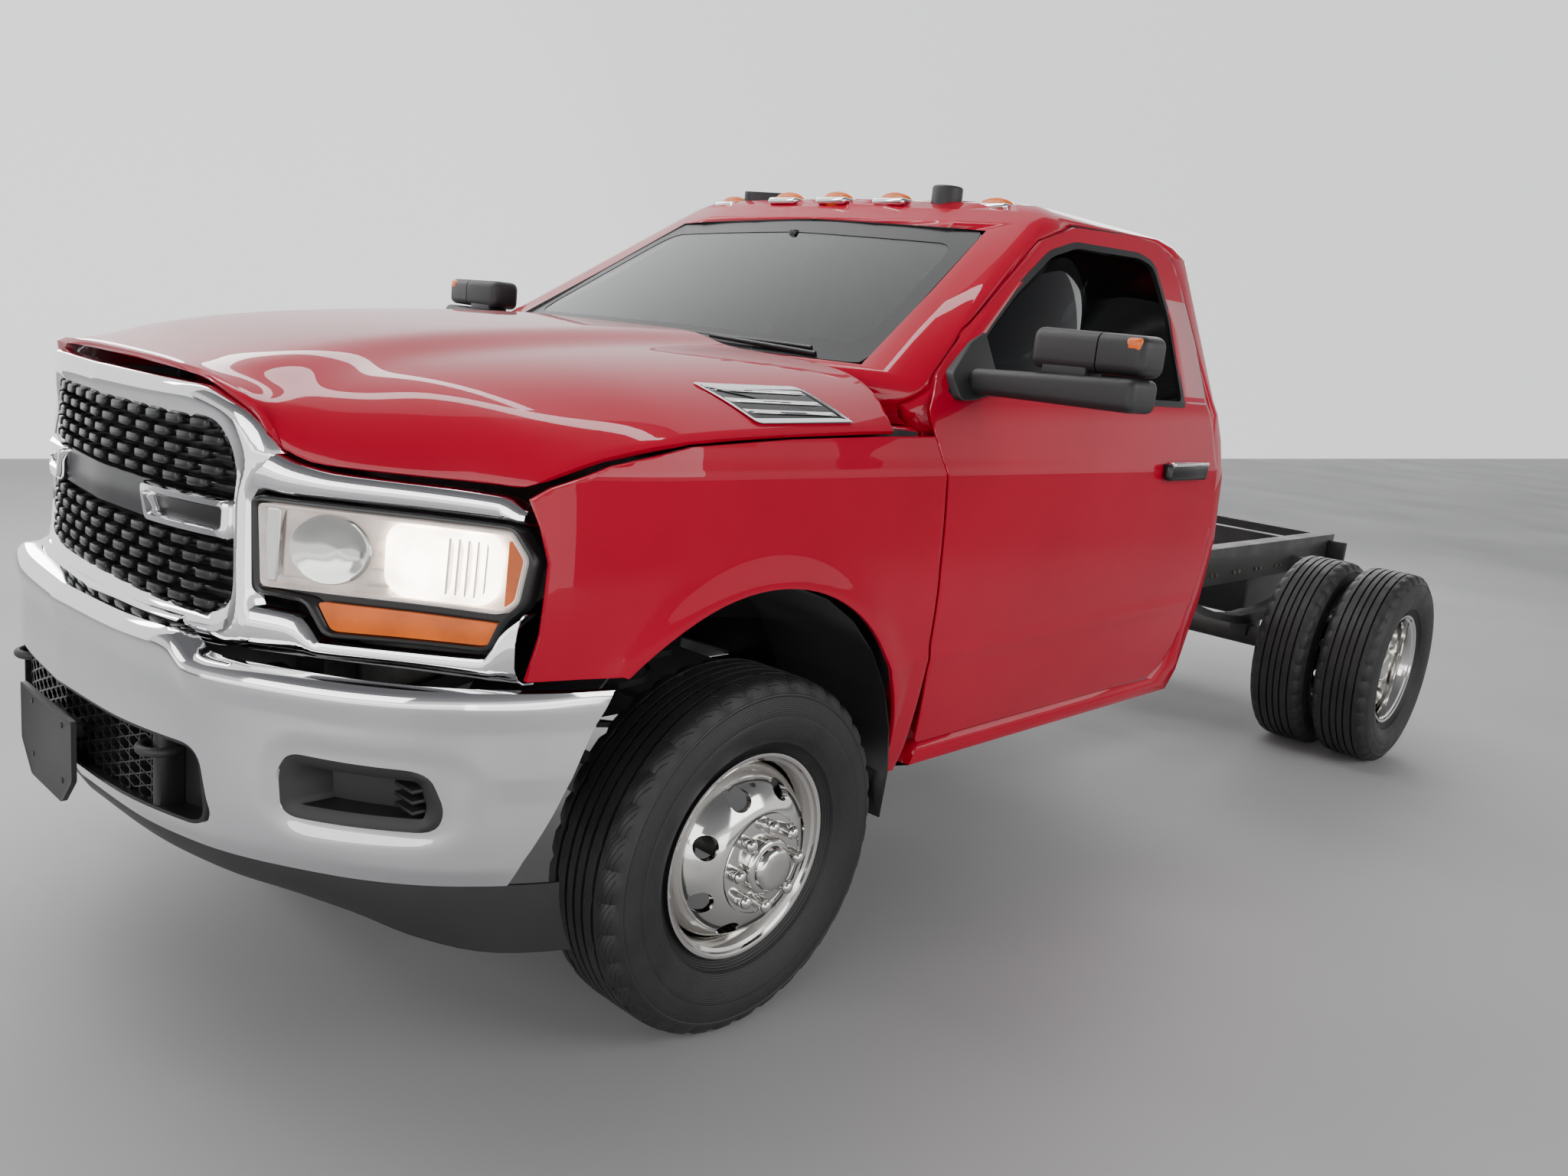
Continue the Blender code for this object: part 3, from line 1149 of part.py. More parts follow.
RADIATOR_AT = -0.690
RADIATOR_LOW = 0.620
RADIATOR_HIGH = 1.200
RADIATOR_HALF_WIDTH = 0.345
RADIATOR_DEPTH = 0.060
ENGINE_FRONT = -0.560
ENGINE_BACK = 0.380
ENGINE_LOW = 0.520
ENGINE_HIGH = 1.180
ENGINE_HALF_WIDTH = 0.300
GEARBOX_SEAT = 1.150
GEARBOX_END = 1.280
GEARBOX_Z = (0.665, 0.600)
GEARBOX_RADII = (0.150, 0.092)
SHAFT_RADIUS = 0.040
TANK_MIDDLE = WHEELBASE + 0.720
TANK_LENGTH = 0.620
TANK_HALF_WIDTH = 0.335
TANK_DEPTH = 0.230
EXHAUST_RADIUS = 0.038
MUFFLER_RADIUS = 0.080
MUFFLER_ENDS = (1.350, 1.950)
EXHAUST_BENDS = (2.300, 2.550, 2.750)
EXHAUST_X = 0.250
EXHAUST_Z = RAIL_CAB_Z - RAIL_DEPTH / 2 + CROSS_DEPTH / 2 + EXHAUST_RADIUS + SEAT_GAP


SUPPORT_X = 0.300
SUPPORT_HALF = 0.018
STOP_GAP = 0.0009
SUPPORT_ARM = (1.266, 1.296)
SURROUND_RAKE = 0.05
SURROUND_BASE_SHARE = 0.22


def hood_underside(x, y):
    """The height of the hood's lower face, from its table and the slope of its skin."""
    def top(x, y):
        share = (AXLE_Y - y) / NOSE_LENGTH
        rows = [(row[0], *row[1:]) for row in HOOD_SHARES]
        half, edge, crown = [lookup(rows, share, column) for column in (1, 2, 3)]
        first, last = HOOD_SHARES[0][0], HOOD_SHARES[-1][0]
        forward = max((share - first) / (last - first), 0)
        return up(crown - (crown - edge) * hood_drop(abs(x) / across(half), forward))

    small = RUNNING_GAP
    here = top(x, y)
    slopes = ((top(x + small, y) - here) / small, (top(x, y + small) - here) / small)
    return here - HOOD_THICKNESS * math.sqrt(1 + slopes[0] ** 2 + slopes[1] ** 2)


def radiator_supports(body):
    """Posts with the hood's rest stops on top, and arms that carry the grille surround."""
    y = behind(RADIATOR_AT)
    for side in (1, -1):
        low, high = SUPPORT_X - SUPPORT_HALF, SUPPORT_X + SUPPORT_HALF
        corners = [(x, y + end * SUPPORT_HALF) for x in (low, high) for end in (-1, 1)]
        top = min(hood_underside(*corner) for corner in corners) - STOP_GAP
        join(body, box((side * low, y - SUPPORT_HALF, RADIATOR_HIGH - SUPPORT_HALF),
                       (side * high, y + SUPPORT_HALF, top), "hood_stop"))
        face = plan_y(NOSE_PLAN_SHARES, high - RAIL_WALL) + SURROUND_DEPTH
        face += SURROUND_RAKE * (SUPPORT_ARM[1] - up(SURROUND_BASE_SHARE)) + SEAT_GAP
        join(body, box((side * (low + RAIL_WALL), face, SUPPORT_ARM[0]),
                       (side * (high - RAIL_WALL), y, SUPPORT_ARM[1]), "surround_arm"))


def radiator():
    body = box((-RADIATOR_HALF_WIDTH, behind(RADIATOR_AT) - RADIATOR_DEPTH / 2, RADIATOR_LOW),
               (RADIATOR_HALF_WIDTH, behind(RADIATOR_AT) + RADIATOR_DEPTH / 2, RADIATOR_HIGH))
    radiator_supports(body)
    part(body, "radiator", cast_metal())


def engine():
    body = box((-ENGINE_HALF_WIDTH, behind(ENGINE_FRONT), ENGINE_LOW),
               (ENGINE_HALF_WIDTH, behind(ENGINE_BACK), ENGINE_HIGH))
    part(body, "engine", cast_metal())


def gearbox():
    body = rod((0, behind(ENGINE_BACK) + SEAT_GAP, GEARBOX_Z[0]), (0, behind(GEARBOX_END),
               GEARBOX_Z[1]), GEARBOX_RADII[0], GEARBOX_RADII[1], 20)
    floor = RAIL_CAB_Z - RAIL_DEPTH / 2 + CROSS_DEPTH / 2 + SEAT_GAP
    cut(body, box((-OVERRUN, behind(0), 0), (OVERRUN, behind(GEARBOX_END) + OVERRUN, floor)))
    cut(body, box((-OVERRUN, behind(0), 0), (OVERRUN, behind(ENGINE_BACK) + SEAT_GAP, ROOF_Z)))
    part(body, "transmission", cast_metal())


def driveshaft():
    start = Vector((0, behind(GEARBOX_END) + CROSS_DEPTH / 2, GEARBOX_Z[1]))
    end = Vector((0, REAR_AXLE_Y - PINION_REACH - CROSS_DEPTH / 2, WHEEL_Z))
    body = rod(start, end, SHAFT_RADIUS, steps=12)
    join(body, rod((0, behind(GEARBOX_END) + SEAT_GAP * 2, start.z), start + (end - start) / 20,
                   SHAFT_RADIUS * 1.2, steps=12))
    join(body, rod(end + (start - end) / 20, (0, REAR_AXLE_Y - PINION_REACH - SEAT_GAP * 2, end.z),
                   SHAFT_RADIUS * 1.2, steps=12))
    cut(body, box((-OVERRUN, behind(0), 0), (OVERRUN, behind(GEARBOX_END) + DRIVE_GAP, ROOF_Z)))
    cut(body, box((-OVERRUN, REAR_AXLE_Y - PINION_REACH - SEAT_GAP, 0),
                  (OVERRUN, REAR_AXLE_Y, ROOF_Z)))
    part(body, "driveshaft", black_steel())


DRIVE_GAP = 0.006


def exhaust():
    x, z, radius = -EXHAUST_X, EXHAUST_Z, EXHAUST_RADIUS
    start = behind(ENGINE_BACK) + SEAT_GAP * 3
    bend, under, out = [behind(distance) for distance in EXHAUST_BENDS]
    pipe = tube([(x, start, z + radius), (x, start + radius * 3, z + radius),
                 (x, start + radius * 6, z), (x, bend, z), (x - radius * 3, under, z - radius),
                 (-LEAF_X - radius * 2, out, z - radius),
                 (-LEAF_X - radius * 4, out + radius, z - radius * 1.5)], radius)
    muffler = rod((x, behind(MUFFLER_ENDS[0]), z), (x, behind(MUFFLER_ENDS[1]), z), MUFFLER_RADIUS)
    join(pipe, muffler)
    part(pipe, "exhaust", cast_metal())


def fuel_tank():
    top = RAIL_REAR_Z - RAIL_DEPTH / 2 + RAIL_WALL / 2 - SEAT_GAP
    y = behind(TANK_MIDDLE)
    body = box((-TANK_HALF_WIDTH, y - TANK_LENGTH / 2, top - TANK_DEPTH),
               (TANK_HALF_WIDTH, y + TANK_LENGTH / 2, top))
    soft = body.modifiers.new("round", "BEVEL")
    soft.width = TANK_DEPTH / 8
    soft.segments = 2
    part(body, "fuel_tank", black_plastic())


# Axles, steering and springs


WHEEL_Z = TYRE_RADIUS * math.cos(math.pi / WHEEL_STEPS)
KINGPIN_RADIUS = 0.034
KINGPIN_HALF = 0.088
PLATE_IN = 0.050
PLATE_WALL = 0.018
BEAM_HALF = (0.034, 0.042)
ARM_BEND = 0.200
ARM_END = 0.780
ARM_END_Z = 0.430
ARM_RADIUS = 0.020
ARM_BRACKET_LOW = ARM_END_Z + ARM_RADIUS + SEAT_GAP
STEER_ARM_HALF = 0.012
STEER_ARM_Z = 0.045
STEER_ARM_THICKNESS = 0.020
SPRING_LOW = 0.050
HANGER_LOW = 0.620
PAD_HEIGHT = 0.008


def front_axle():
    plate = KINGPIN_X - PLATE_IN
    depth, half = BEAM_HALF
    body = box((-plate, AXLE_Y - depth, WHEEL_Z - half), (plate, AXLE_Y + depth, WHEEL_Z + half))
    ear_z = KINGPIN_HALF + SEAT_GAP
    for side in (1, -1):
        for level in (1, -1):
            join(body, box((side * (plate - PLATE_WALL), AXLE_Y - depth, WHEEL_Z + level * ear_z),
                           (side * (KINGPIN_X + KINGPIN_RADIUS), AXLE_Y + depth,
                            WHEEL_Z + level * (ear_z + EAR_THICKNESS))))
        join(body, box((side * (plate - PLATE_WALL), AXLE_Y - depth, WHEEL_Z - ear_z - EAR_THICKNESS),
                       (side * plate, AXLE_Y + depth, WHEEL_Z + ear_z + EAR_THICKNESS)))
        join(body, rod((side * COIL_X, AXLE_Y, WHEEL_Z), (side * COIL_X, AXLE_Y, WHEEL_Z + SPRING_LOW),
                       COIL_RADIUS + COIL_WIRE))
        arm_x = RAIL_OUTER_X - BRACKET_WIDTH / 2
        join(body, tube([(side * COIL_X, AXLE_Y, WHEEL_Z), (side * COIL_X, behind(ARM_BEND), WHEEL_Z),
                         (side * arm_x, behind(ARM_END), ARM_END_Z)], ARM_RADIUS))
    part(body, "front_axle", black_steel())


def coil_spring(side, name):
    steps = 7
    bottom = WHEEL_Z + SPRING_LOW + COIL_WIRE + SEAT_GAP
    top = TOWER_TOP - RAIL_WALL * 2 - COIL_WIRE - SEAT_GAP
    count = COIL_TURNS * steps
    points = []
    for i in range(count + 1):
        angle = 2 * math.pi * i / steps
        flat = min(max((i - steps / 2) / (count - steps), 0), 1)
        points.append((side * COIL_X + COIL_RADIUS * math.cos(angle),
                       AXLE_Y + COIL_RADIUS * math.sin(angle), bottom + (top - bottom) * flat))
    part(tube(points, COIL_WIRE, resolution=0), "coil_spring_" + name, black_steel())


def knuckle(side, name, carrier):
    """The upright that steers: kingpin barrel, spindle for the wheel and arm for the tie rod."""
    centre = Vector((side * KINGPIN_X, AXLE_Y, WHEEL_Z))
    lift = Vector((0, 0, KINGPIN_HALF))
    body = rod(centre - lift, centre + lift, KINGPIN_RADIUS)
    tip = FRONT_TRACK / 2 + WHEEL_OFFSET + SPINDLE_TIP - RUNNING_GAP
    join(body, rod(centre, (side * tip, AXLE_Y, WHEEL_Z), SPINDLE_RADIUS, steps=20))
    low = WHEEL_Z - STEER_ARM_Z - STEER_ARM_THICKNESS
    high = WHEEL_Z - STEER_ARM_Z
    join(body, box((side * KINGPIN_X - STEER_ARM_HALF, AXLE_Y, low),
                   (side * KINGPIN_X + STEER_ARM_HALF, behind(STEER_ARM_LENGTH), high)))
    end = Vector((side * KINGPIN_X, behind(STEER_ARM_LENGTH), low))
    join(body, rod(end, end + Vector((0, 0, STEER_ARM_THICKNESS)), STEER_ARM_HALF * 1.6, steps=12))
    part(body, "knuckle_" + name, cast_metal(), carrier)


STEER_ARM_LENGTH = 0.150
SPINDLE_TIP = 0.013


def tie_rod(carrier):
    top = WHEEL_Z - STEER_ARM_Z - STEER_ARM_THICKNESS - SEAT_GAP
    z = top - TIE_ROD_RADIUS * 1.5
    y = behind(STEER_ARM_LENGTH)
    reach = KINGPIN_X - TIE_ROD_RADIUS / 4
    body = rod((-reach, y, z), (reach, y, z), TIE_ROD_RADIUS, steps=10)
    for side in (1, -1):
        join(body, rod((side * KINGPIN_X, y, z - TIE_ROD_RADIUS * 1.3), (side * KINGPIN_X, y, top),
                       TIE_ROD_RADIUS * 1.2, steps=12))
    part(body, "tie_rod", black_steel(), carrier)


def rear_axle():
    tip = REAR_TRACK / 2 + REAR_HUB_PROUD - REAR_CAP - RUNNING_GAP
    tube_end = REAR_TRACK / 2 - HUB_INNER - RUNNING_GAP
    body = rod((-tube_end, REAR_AXLE_Y, WHEEL_Z), (tube_end, REAR_AXLE_Y, WHEEL_Z), REAR_TUBE_RADIUS)
    join(body, rod((-tip, REAR_AXLE_Y, WHEEL_Z), (tip, REAR_AXLE_Y, WHEEL_Z), SPINDLE_RADIUS, steps=20))
    half = DIFF_RADIUS * 0.8
    profile = [(-half, 0), (-half, DIFF_RADIUS / 2), (-half / 3, DIFF_RADIUS), (half / 3, DIFF_RADIUS),
               (half, DIFF_RADIUS / 2), (half, 0)]
    join(body, turned(profile, (0, REAR_AXLE_Y, WHEEL_Z), steps=16))
    join(body, rod((0, REAR_AXLE_Y, WHEEL_Z), (0, REAR_AXLE_Y - PINION_REACH, WHEEL_Z),
                   REAR_TUBE_RADIUS, steps=12, name="pinion_nose"))
    for side in (1, -1):
        join(body, box((side * (LEAF_X - LEAF_WIDTH / 2), REAR_AXLE_Y - LEAF_WIDTH, WHEEL_Z),
                       (side * (LEAF_X + LEAF_WIDTH / 2), REAR_AXLE_Y + LEAF_WIDTH,
                        WHEEL_Z + REAR_TUBE_RADIUS + PAD_HEIGHT)))
    part(body, "rear_axle", black_steel())


def leaf_spring(side, name):
    """A leaf pack: thick over the axle, one leaf thin at its ends, arched upwards."""
    base = WHEEL_Z + REAR_TUBE_RADIUS + PAD_HEIGHT + SEAT_GAP
    top_end = HANGER_LOW - SEAT_GAP
    steps = 8
    lower, upper = [], []
    for i in range(-steps, steps + 1):
        share = abs(i) / steps
        y = REAR_AXLE_Y + LEAF_HALF_LENGTH * i / steps
        thickness = LEAF_THICKNESS * (1 - 0.72 * share)
        rise = (top_end - LEAF_THICKNESS * 0.28 - base) * max(share - 0.1, 0) ** 1.6 / 0.9 ** 1.6
        lower.append((y, base + rise))
        upper.append((y, base + rise + thickness))
    outline = lower + list(reversed(upper))
    x = side * LEAF_X
    half = LEAF_WIDTH / 2
    part(prism(outline, "x", x - half, x + half), "leaf_spring_" + name, black_steel())


# Wheels


HUB_INNER = 0.060
REAR_CAP = 0.030
LIP_THICKNESS = 0.008
BEAD_RAMP = 0.014
BARREL_RADIUS = 0.206
DISC_WALL = 0.012
BORE_RADIUS = SPINDLE_RADIUS + SPINDLE_GAP


def tyre(x, y, name, carrier):
    """A dual-width tyre: flat tread, shoulders, bulged walls and beads that fit the rim."""
    half, bead = TYRE_WIDTH / 2, RIM_WIDTH / 2 - BEAD_RAMP
    inner = BEAD_RADIUS + SEAT_GAP
    depth = TYRE_RADIUS - inner
    side = [(bead - SEAT_GAP * 3, inner), (bead + SEAT_GAP, inner + depth * 0.16),
            (half * 0.93, inner + depth * 0.30), (half, inner + depth * 0.52),
            (half * 0.95, inner + depth * 0.78), (half * 0.80, TYRE_RADIUS - depth * 0.035),
            (half * 0.66, TYRE_RADIUS)]
    profile = side + [(-a, r) for a, r in reversed(side)]
    part(turned(profile, (x, y, WHEEL_Z), "tyre"), name, tyre_rubber(), carrier)


def barrel(centre, outer):
    """The rim's barrel from its outer lip, over the bead seats, to its inner lip."""
    half = RIM_WIDTH / 2
    lip, seat = RIM_LIP_RADIUS, BEAD_RADIUS
    run = [(half, lip - BEAD_RAMP), (half, lip), (half - LIP_THICKNESS, lip),
           (half - BEAD_RAMP, seat), (BEAD_RAMP - half, seat), (LIP_THICKNESS - half, lip),
           (-half, lip), (-half, lip - BEAD_RAMP)]
    return [(centre + outer * a, r) for a, r in run]


def hand_holes(shape, x, y, low, high):
    for i in range(HAND_HOLES):
        angle = 2 * math.pi * (i + 1 / 2) / HAND_HOLES
        place_y = y + HAND_HOLE_CIRCLE * math.cos(angle)
        place_z = WHEEL_Z + HAND_HOLE_CIRCLE * math.sin(angle)
        cut(shape, rod((x + low, place_y, place_z), (x + high, place_y, place_z), HAND_HOLE_RADIUS,
                       steps=8, name="hand_hole"))


def front_rim(side, name, carrier):
    """A disc wheel whose face stands out past its lip, with the hub and its domed cap."""
    face, half = WHEEL_OFFSET, RIM_WIDTH / 2
    cap = face + HUB_CAP_PROUD
    profile = [(cap, 0), (cap, HUB_RADIUS * 0.45), (cap - 0.2 * HUB_CAP_PROUD, HUB_RADIUS * 0.8),
               (face, HUB_RADIUS), (face, DISC_RADIUS), (face - DISC_WALL, DISC_RADIUS + DISC_WALL),
               (half / 2, BARREL_RADIUS - DISC_WALL / 2)]
    profile += barrel(0, 1)
    profile += [(BEAD_RAMP - half, BARREL_RADIUS), (half / 4, BARREL_RADIUS),
                (face - 2 * DISC_WALL, DISC_RADIUS), (face - DISC_WALL, DISC_RADIUS - DISC_WALL),
                (face - DISC_WALL, HUB_RADIUS), (-2 * DISC_WALL, HUB_RADIUS),
                (-2 * DISC_WALL, BORE_RADIUS), (face + SPINDLE_TIP, BORE_RADIUS),
                (face + SPINDLE_TIP, 0)]
    x = side * FRONT_TRACK / 2
    rim = turned([(side * a, r) for a, r in profile], (x, AXLE_Y, WHEEL_Z), "rim")
    hand_holes(rim, x, AXLE_Y, 0, side * WHEEL_OFFSET)
    part(rim, "rim_front_" + name, chrome(), carrier)


def rear_rims(side, name, carrier):
    """Both rear wheels of one side, back to back on one hub."""
    apart, half, hub = DUAL_SPACING / 2, RIM_WIDTH / 2, REAR_HUB_PROUD
    dish = apart - half / 2
    profile = [(hub, 0), (hub, HUB_RADIUS * 0.6), (hub - REAR_CAP, HUB_RADIUS * 0.85),
               (hub - REAR_CAP, HUB_RADIUS), (DISC_WALL, HUB_RADIUS), (DISC_WALL, DISC_RADIUS),
               (dish, BARREL_RADIUS - DISC_WALL)]
    profile += barrel(apart, 1)
    profile += [(apart - half + BEAD_RAMP, BARREL_RADIUS), (dish - DISC_WALL, BARREL_RADIUS),
                (0, DISC_RADIUS + DISC_WALL), (DISC_WALL - dish, BARREL_RADIUS),
                (half - apart - BEAD_RAMP, BARREL_RADIUS)]
    profile += list(reversed(barrel(-apart, -1)))
    profile += [(-dish, BARREL_RADIUS - DISC_WALL), (-DISC_WALL, DISC_RADIUS),
                (-DISC_WALL, HUB_RADIUS), (-HUB_INNER, HUB_RADIUS), (-HUB_INNER, BORE_RADIUS),
                (hub - REAR_CAP, BORE_RADIUS), (hub - REAR_CAP, 0)]
    x = side * REAR_TRACK / 2
    rim = turned([(side * a, r) for a, r in profile], (x, REAR_AXLE_Y, WHEEL_Z), "rims")
    hand_holes(rim, x, REAR_AXLE_Y, 0, side * dish)
    part(rim, "rims_rear_" + name, chrome(), carrier)


# Inside the cab


def ring(centre, normal, radius, thickness, name="ring"):
    bm = bmesh.new()
    sides, steps = 6, 20
    verts = []
    for i in range(sides):
        angle = 2 * math.pi * i / sides
        verts.append(bm.verts.new((radius + thickness * math.cos(angle), 0,
                                   thickness * math.sin(angle))))
    for first, second in zip(verts, verts[1:] + verts[:1]):
        bm.edges.new((first, second))
    bmesh.ops.spin(bm, geom=bm.verts[:] + bm.edges[:], angle=2 * math.pi, steps=steps,
                   axis=(0, 0, 1), cent=(0, 0, 0))
    bmesh.ops.remove_doubles(bm, verts=bm.verts, dist=SEAT_GAP / 10)
    turn = Vector(normal).to_track_quat("Z", "Y").to_matrix().to_4x4()
    bmesh.ops.transform(bm, verts=bm.verts, matrix=Matrix.Translation(centre) @ turn)
    return object_of(bm, name)


STEERING_BEHIND = 0.525
STEERING_Z = 1.245
DASH_SHARES = ((0.0, 0.34), (0.110, 0.34), (0.190, 0.42), (0.215, 0.53), (0.190, 0.590),
               (0.035, 0.600), (0.022, 0.570), (0.0, 0.560))
DASH_END_GAP = 0.200
COLUMN_RADIUS = 0.030


def steering_place():
    return Vector((STEERING_X, along(0) + STEERING_BEHIND, STEERING_Z))


def steering_axis():
    return Vector((0, math.cos(STEERING_TILT), math.sin(STEERING_TILT)))


def dashboard():
    wall = along(0) + DOOR_THICKNESS + SEAT_GAP
    outline = [(wall + y * CAB_LENGTH, up(z)) for y, z in DASH_SHARES]
    half = BODY_HALF_WIDTH - DASH_END_GAP
    body = prism(outline, "x", -half, half, "dash")
    hub = steering_place() - steering_axis() * (STEERING_RIM + SEAT_GAP)
    join(body, rod(hub - steering_axis() * STEERING_BEHIND / 2, hub, COLUMN_RADIUS, steps=12))
    part(body, "dashboard", black_plastic())


def steering_wheel(carrier):
    centre, axis = steering_place(), steering_axis()
    body = ring(centre, axis, STEERING_RADIUS, STEERING_RIM)
    join(body, rod(centre - axis * STEERING_RIM, centre + axis * STEERING_RIM,
                   STEERING_RADIUS / 3, steps=16))
    drop = Vector((0, -axis.z, axis.y))
    for direction in (Vector((1, 0, 0)), Vector((-1, 0, 0)), drop * -1):
        join(body, rod(centre, centre + direction * STEERING_RADIUS, STEERING_RIM * 0.7, steps=8))
    part(body, "steering_wheel", black_plastic(), carrier)


SEAT_SHARES = ((0.400, 0.0), (0.750, 0.0), (0.760, 0.10), (0.880, 0.50), (0.860, 0.54),
               (0.800, 0.530), (0.710, 0.200), (0.400, 0.215), (0.375, 0.175))


def seat():
    """A bench: pedestal, cushion and backrest in one block with a room for the tunnel."""
    floor = FLOOR_TOP + SEAT_GAP
    outline = [(along(y), floor + z * BODY_HEIGHT) for y, z in SEAT_SHARES]
    body = prism(outline, "x", -SEAT_WIDTH / 2, SEAT_WIDTH / 2, "bench")
    half = TUNNEL_HALF_WIDTH + SEAT_GAP
    cut(body, box((-half, along(0), 0), (half, CAB_BACK_Y, TUNNEL_TOP + SEAT_GAP), "tunnel_room"))
    part(body, "seat", grey_cloth())


LAMP_BOX = (0.090, 0.040, 0.110)


def tail_lamp(side, name):
    x = side * (RAIL_OUTER_X + SEAT_GAP)
    y = FRAME_END_Y - LAMP_BOX[1]
    body = box((x, y - LAMP_BOX[1], RAIL_REAR_Z - LAMP_BOX[2] / 2),
               (x + side * LAMP_BOX[0], y, RAIL_REAR_Z + LAMP_BOX[2] / 2))
    part(body, "tail_lamp_" + name, red_lens())


COWL_SHARES = (0.0, 0.250, 0.470, 0.640)
COWL_THICKNESS = 0.006
COWL_LAP = 0.020
COWL_DROP = 0.010


def cowl(forms):
    """The black panel from under the hood's rear edge to the foot of the windshield."""
    rows = []
    for share in COWL_SHARES:
        x = across(share)
        front = ahead(lookup(HOOD_REAR_EDGE_SHARES, share)) - COWL_LAP
        back = cab_front(GLASS_BASE_SHARE, share) + COWL_LAP
        low, high = hood_underside(x, front) - COWL_DROP, up(GLASS_BASE_SHARE) + COWL_THICKNESS * 2
        rows.append([(x, front, low), (x, (front + back) / 2, (low + high) / 2), (x, back, high)])
    rows = [mirrored(row, -1) for row in reversed(rows[1:])] + rows
    panel = shell(rows, COWL_THICKNESS, (0, 0, 1), "cowl_panel")
    part(cut(panel, forms["over_skin"]), "cowl", black_plastic())


# The truck


DOOR_HINGE = (1.002, 0.0, 0.365)
HOOD_HINGE_Z = 0.660


def build():
    forms = cabin_cutters()
    cab(forms)
    windows(forms)
    frame()
    radiator()
    engine()
    gearbox()
    driveshaft()
    exhaust()
    fuel_tank()
    bumper()
    bumper_insert()
    air_dam()
    plate_holder()
    grille_surround()
    grille_mesh()
    front_axle()
    rear_axle()
    dashboard()
    cowl(forms)
    seat()
    steering_wheel(joint("steering_wheel_axis", steering_place()))
    hood(joint("hood_hinge", (0, ahead(HOOD_REAR_EDGE_SHARES[3][1]), up(HOOD_HINGE_Z))))
    for side, name in ((1, "left"), (-1, "right")):
        hinge = joint("door_hinge_" + name, (side * across(DOOR_HINGE[0]),
                                             along(DOOR_SHARES[4][0]), up(DOOR_HINGE[2])))
        door(forms, side, name, hinge)
        mirror(forms, side, name, hinge)
        fender(side, name)
        wheel_liner(side, name)
        headlamp(side, name)
        fog_bezel(side, name)
        coil_spring(side, name)
        leaf_spring(side, name)
        tail_lamp(side, name)
        steer = joint("kingpin_" + name, (side * KINGPIN_X, AXLE_Y, WHEEL_Z))
        knuckle(side, name, steer)
        if side > 0:
            tie_rod(joint("tie_rod_end", (KINGPIN_X, behind(STEER_ARM_LENGTH), WHEEL_Z), steer))
        x = side * FRONT_TRACK / 2
        spin = joint("spin_front_" + name, (x, AXLE_Y, WHEEL_Z), steer)
        tyre(x, AXLE_Y, "tyre_front_" + name, spin)
        front_rim(side, name, spin)
        x = side * REAR_TRACK / 2
        spin = joint("spin_rear_" + name, (x, REAR_AXLE_Y, WHEEL_Z))
        rear_rims(side, name, spin)
        tyre(x - side * DUAL_SPACING / 2, REAR_AXLE_Y, "tyre_rear_inner_" + name, spin)
        tyre(x + side * DUAL_SPACING / 2, REAR_AXLE_Y, "tyre_rear_outer_" + name, spin)


clear_scene()
TRUCK = new_collection("chassis_cab_truck")
CUTTERS = new_collection("cutters")
CUTTERS.hide_render = True
build()
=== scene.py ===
# %% [markdown]
# The imported truck is the fixed frame of this scene: every body, axle and panel already has
# its size and place there. This first cell loads it, and part_box reads a node's box.

# %% Load the imported truck
import math

import bpy
import numpy as np
from mathutils import Matrix, Vector


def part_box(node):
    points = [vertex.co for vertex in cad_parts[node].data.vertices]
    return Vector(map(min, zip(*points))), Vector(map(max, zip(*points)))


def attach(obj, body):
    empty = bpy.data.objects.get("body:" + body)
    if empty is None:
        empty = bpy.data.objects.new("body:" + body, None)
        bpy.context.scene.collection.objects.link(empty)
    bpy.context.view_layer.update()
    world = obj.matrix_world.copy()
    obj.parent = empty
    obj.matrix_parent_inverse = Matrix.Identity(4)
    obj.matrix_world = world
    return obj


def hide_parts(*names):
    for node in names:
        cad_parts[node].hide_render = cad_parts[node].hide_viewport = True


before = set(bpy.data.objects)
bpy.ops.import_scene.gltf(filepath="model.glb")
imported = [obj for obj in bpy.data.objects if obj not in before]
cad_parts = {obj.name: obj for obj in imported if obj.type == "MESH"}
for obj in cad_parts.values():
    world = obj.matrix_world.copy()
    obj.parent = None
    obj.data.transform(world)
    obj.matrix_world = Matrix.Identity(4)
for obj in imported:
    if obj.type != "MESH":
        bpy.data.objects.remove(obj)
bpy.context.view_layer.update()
bpy.ops.object.select_all(action="DESELECT")

# %% [markdown]
# The truck faces -Y and its driver's side is +X. A few lengths of the real body are named
# once, and each piece is placed from them. Tables of points are read through a smooth curve
# that never overshoots, because sheet metal bends gently between its creases.

# %% Main lengths and curve reading
AXLE_Y = -1.885
REAR_AXLE_Y = 1.760
CAB_FRONT_Y = -1.435
BODY_BASE = 0.475
BODY_HEIGHT = 1.480
NOSE_LENGTH = 1.060
CAB_LENGTH = 1.670
ROOF_TOP = BODY_BASE + BODY_HEIGHT
WHEEL_Z = sum(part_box("knuckle_left")[i].z for i in (0, 1)) / 2


def up(share):
    return BODY_BASE + share * BODY_HEIGHT


def along(share):
    return CAB_FRONT_Y + share * CAB_LENGTH


def ahead(share):
    return AXLE_Y - share * NOSE_LENGTH


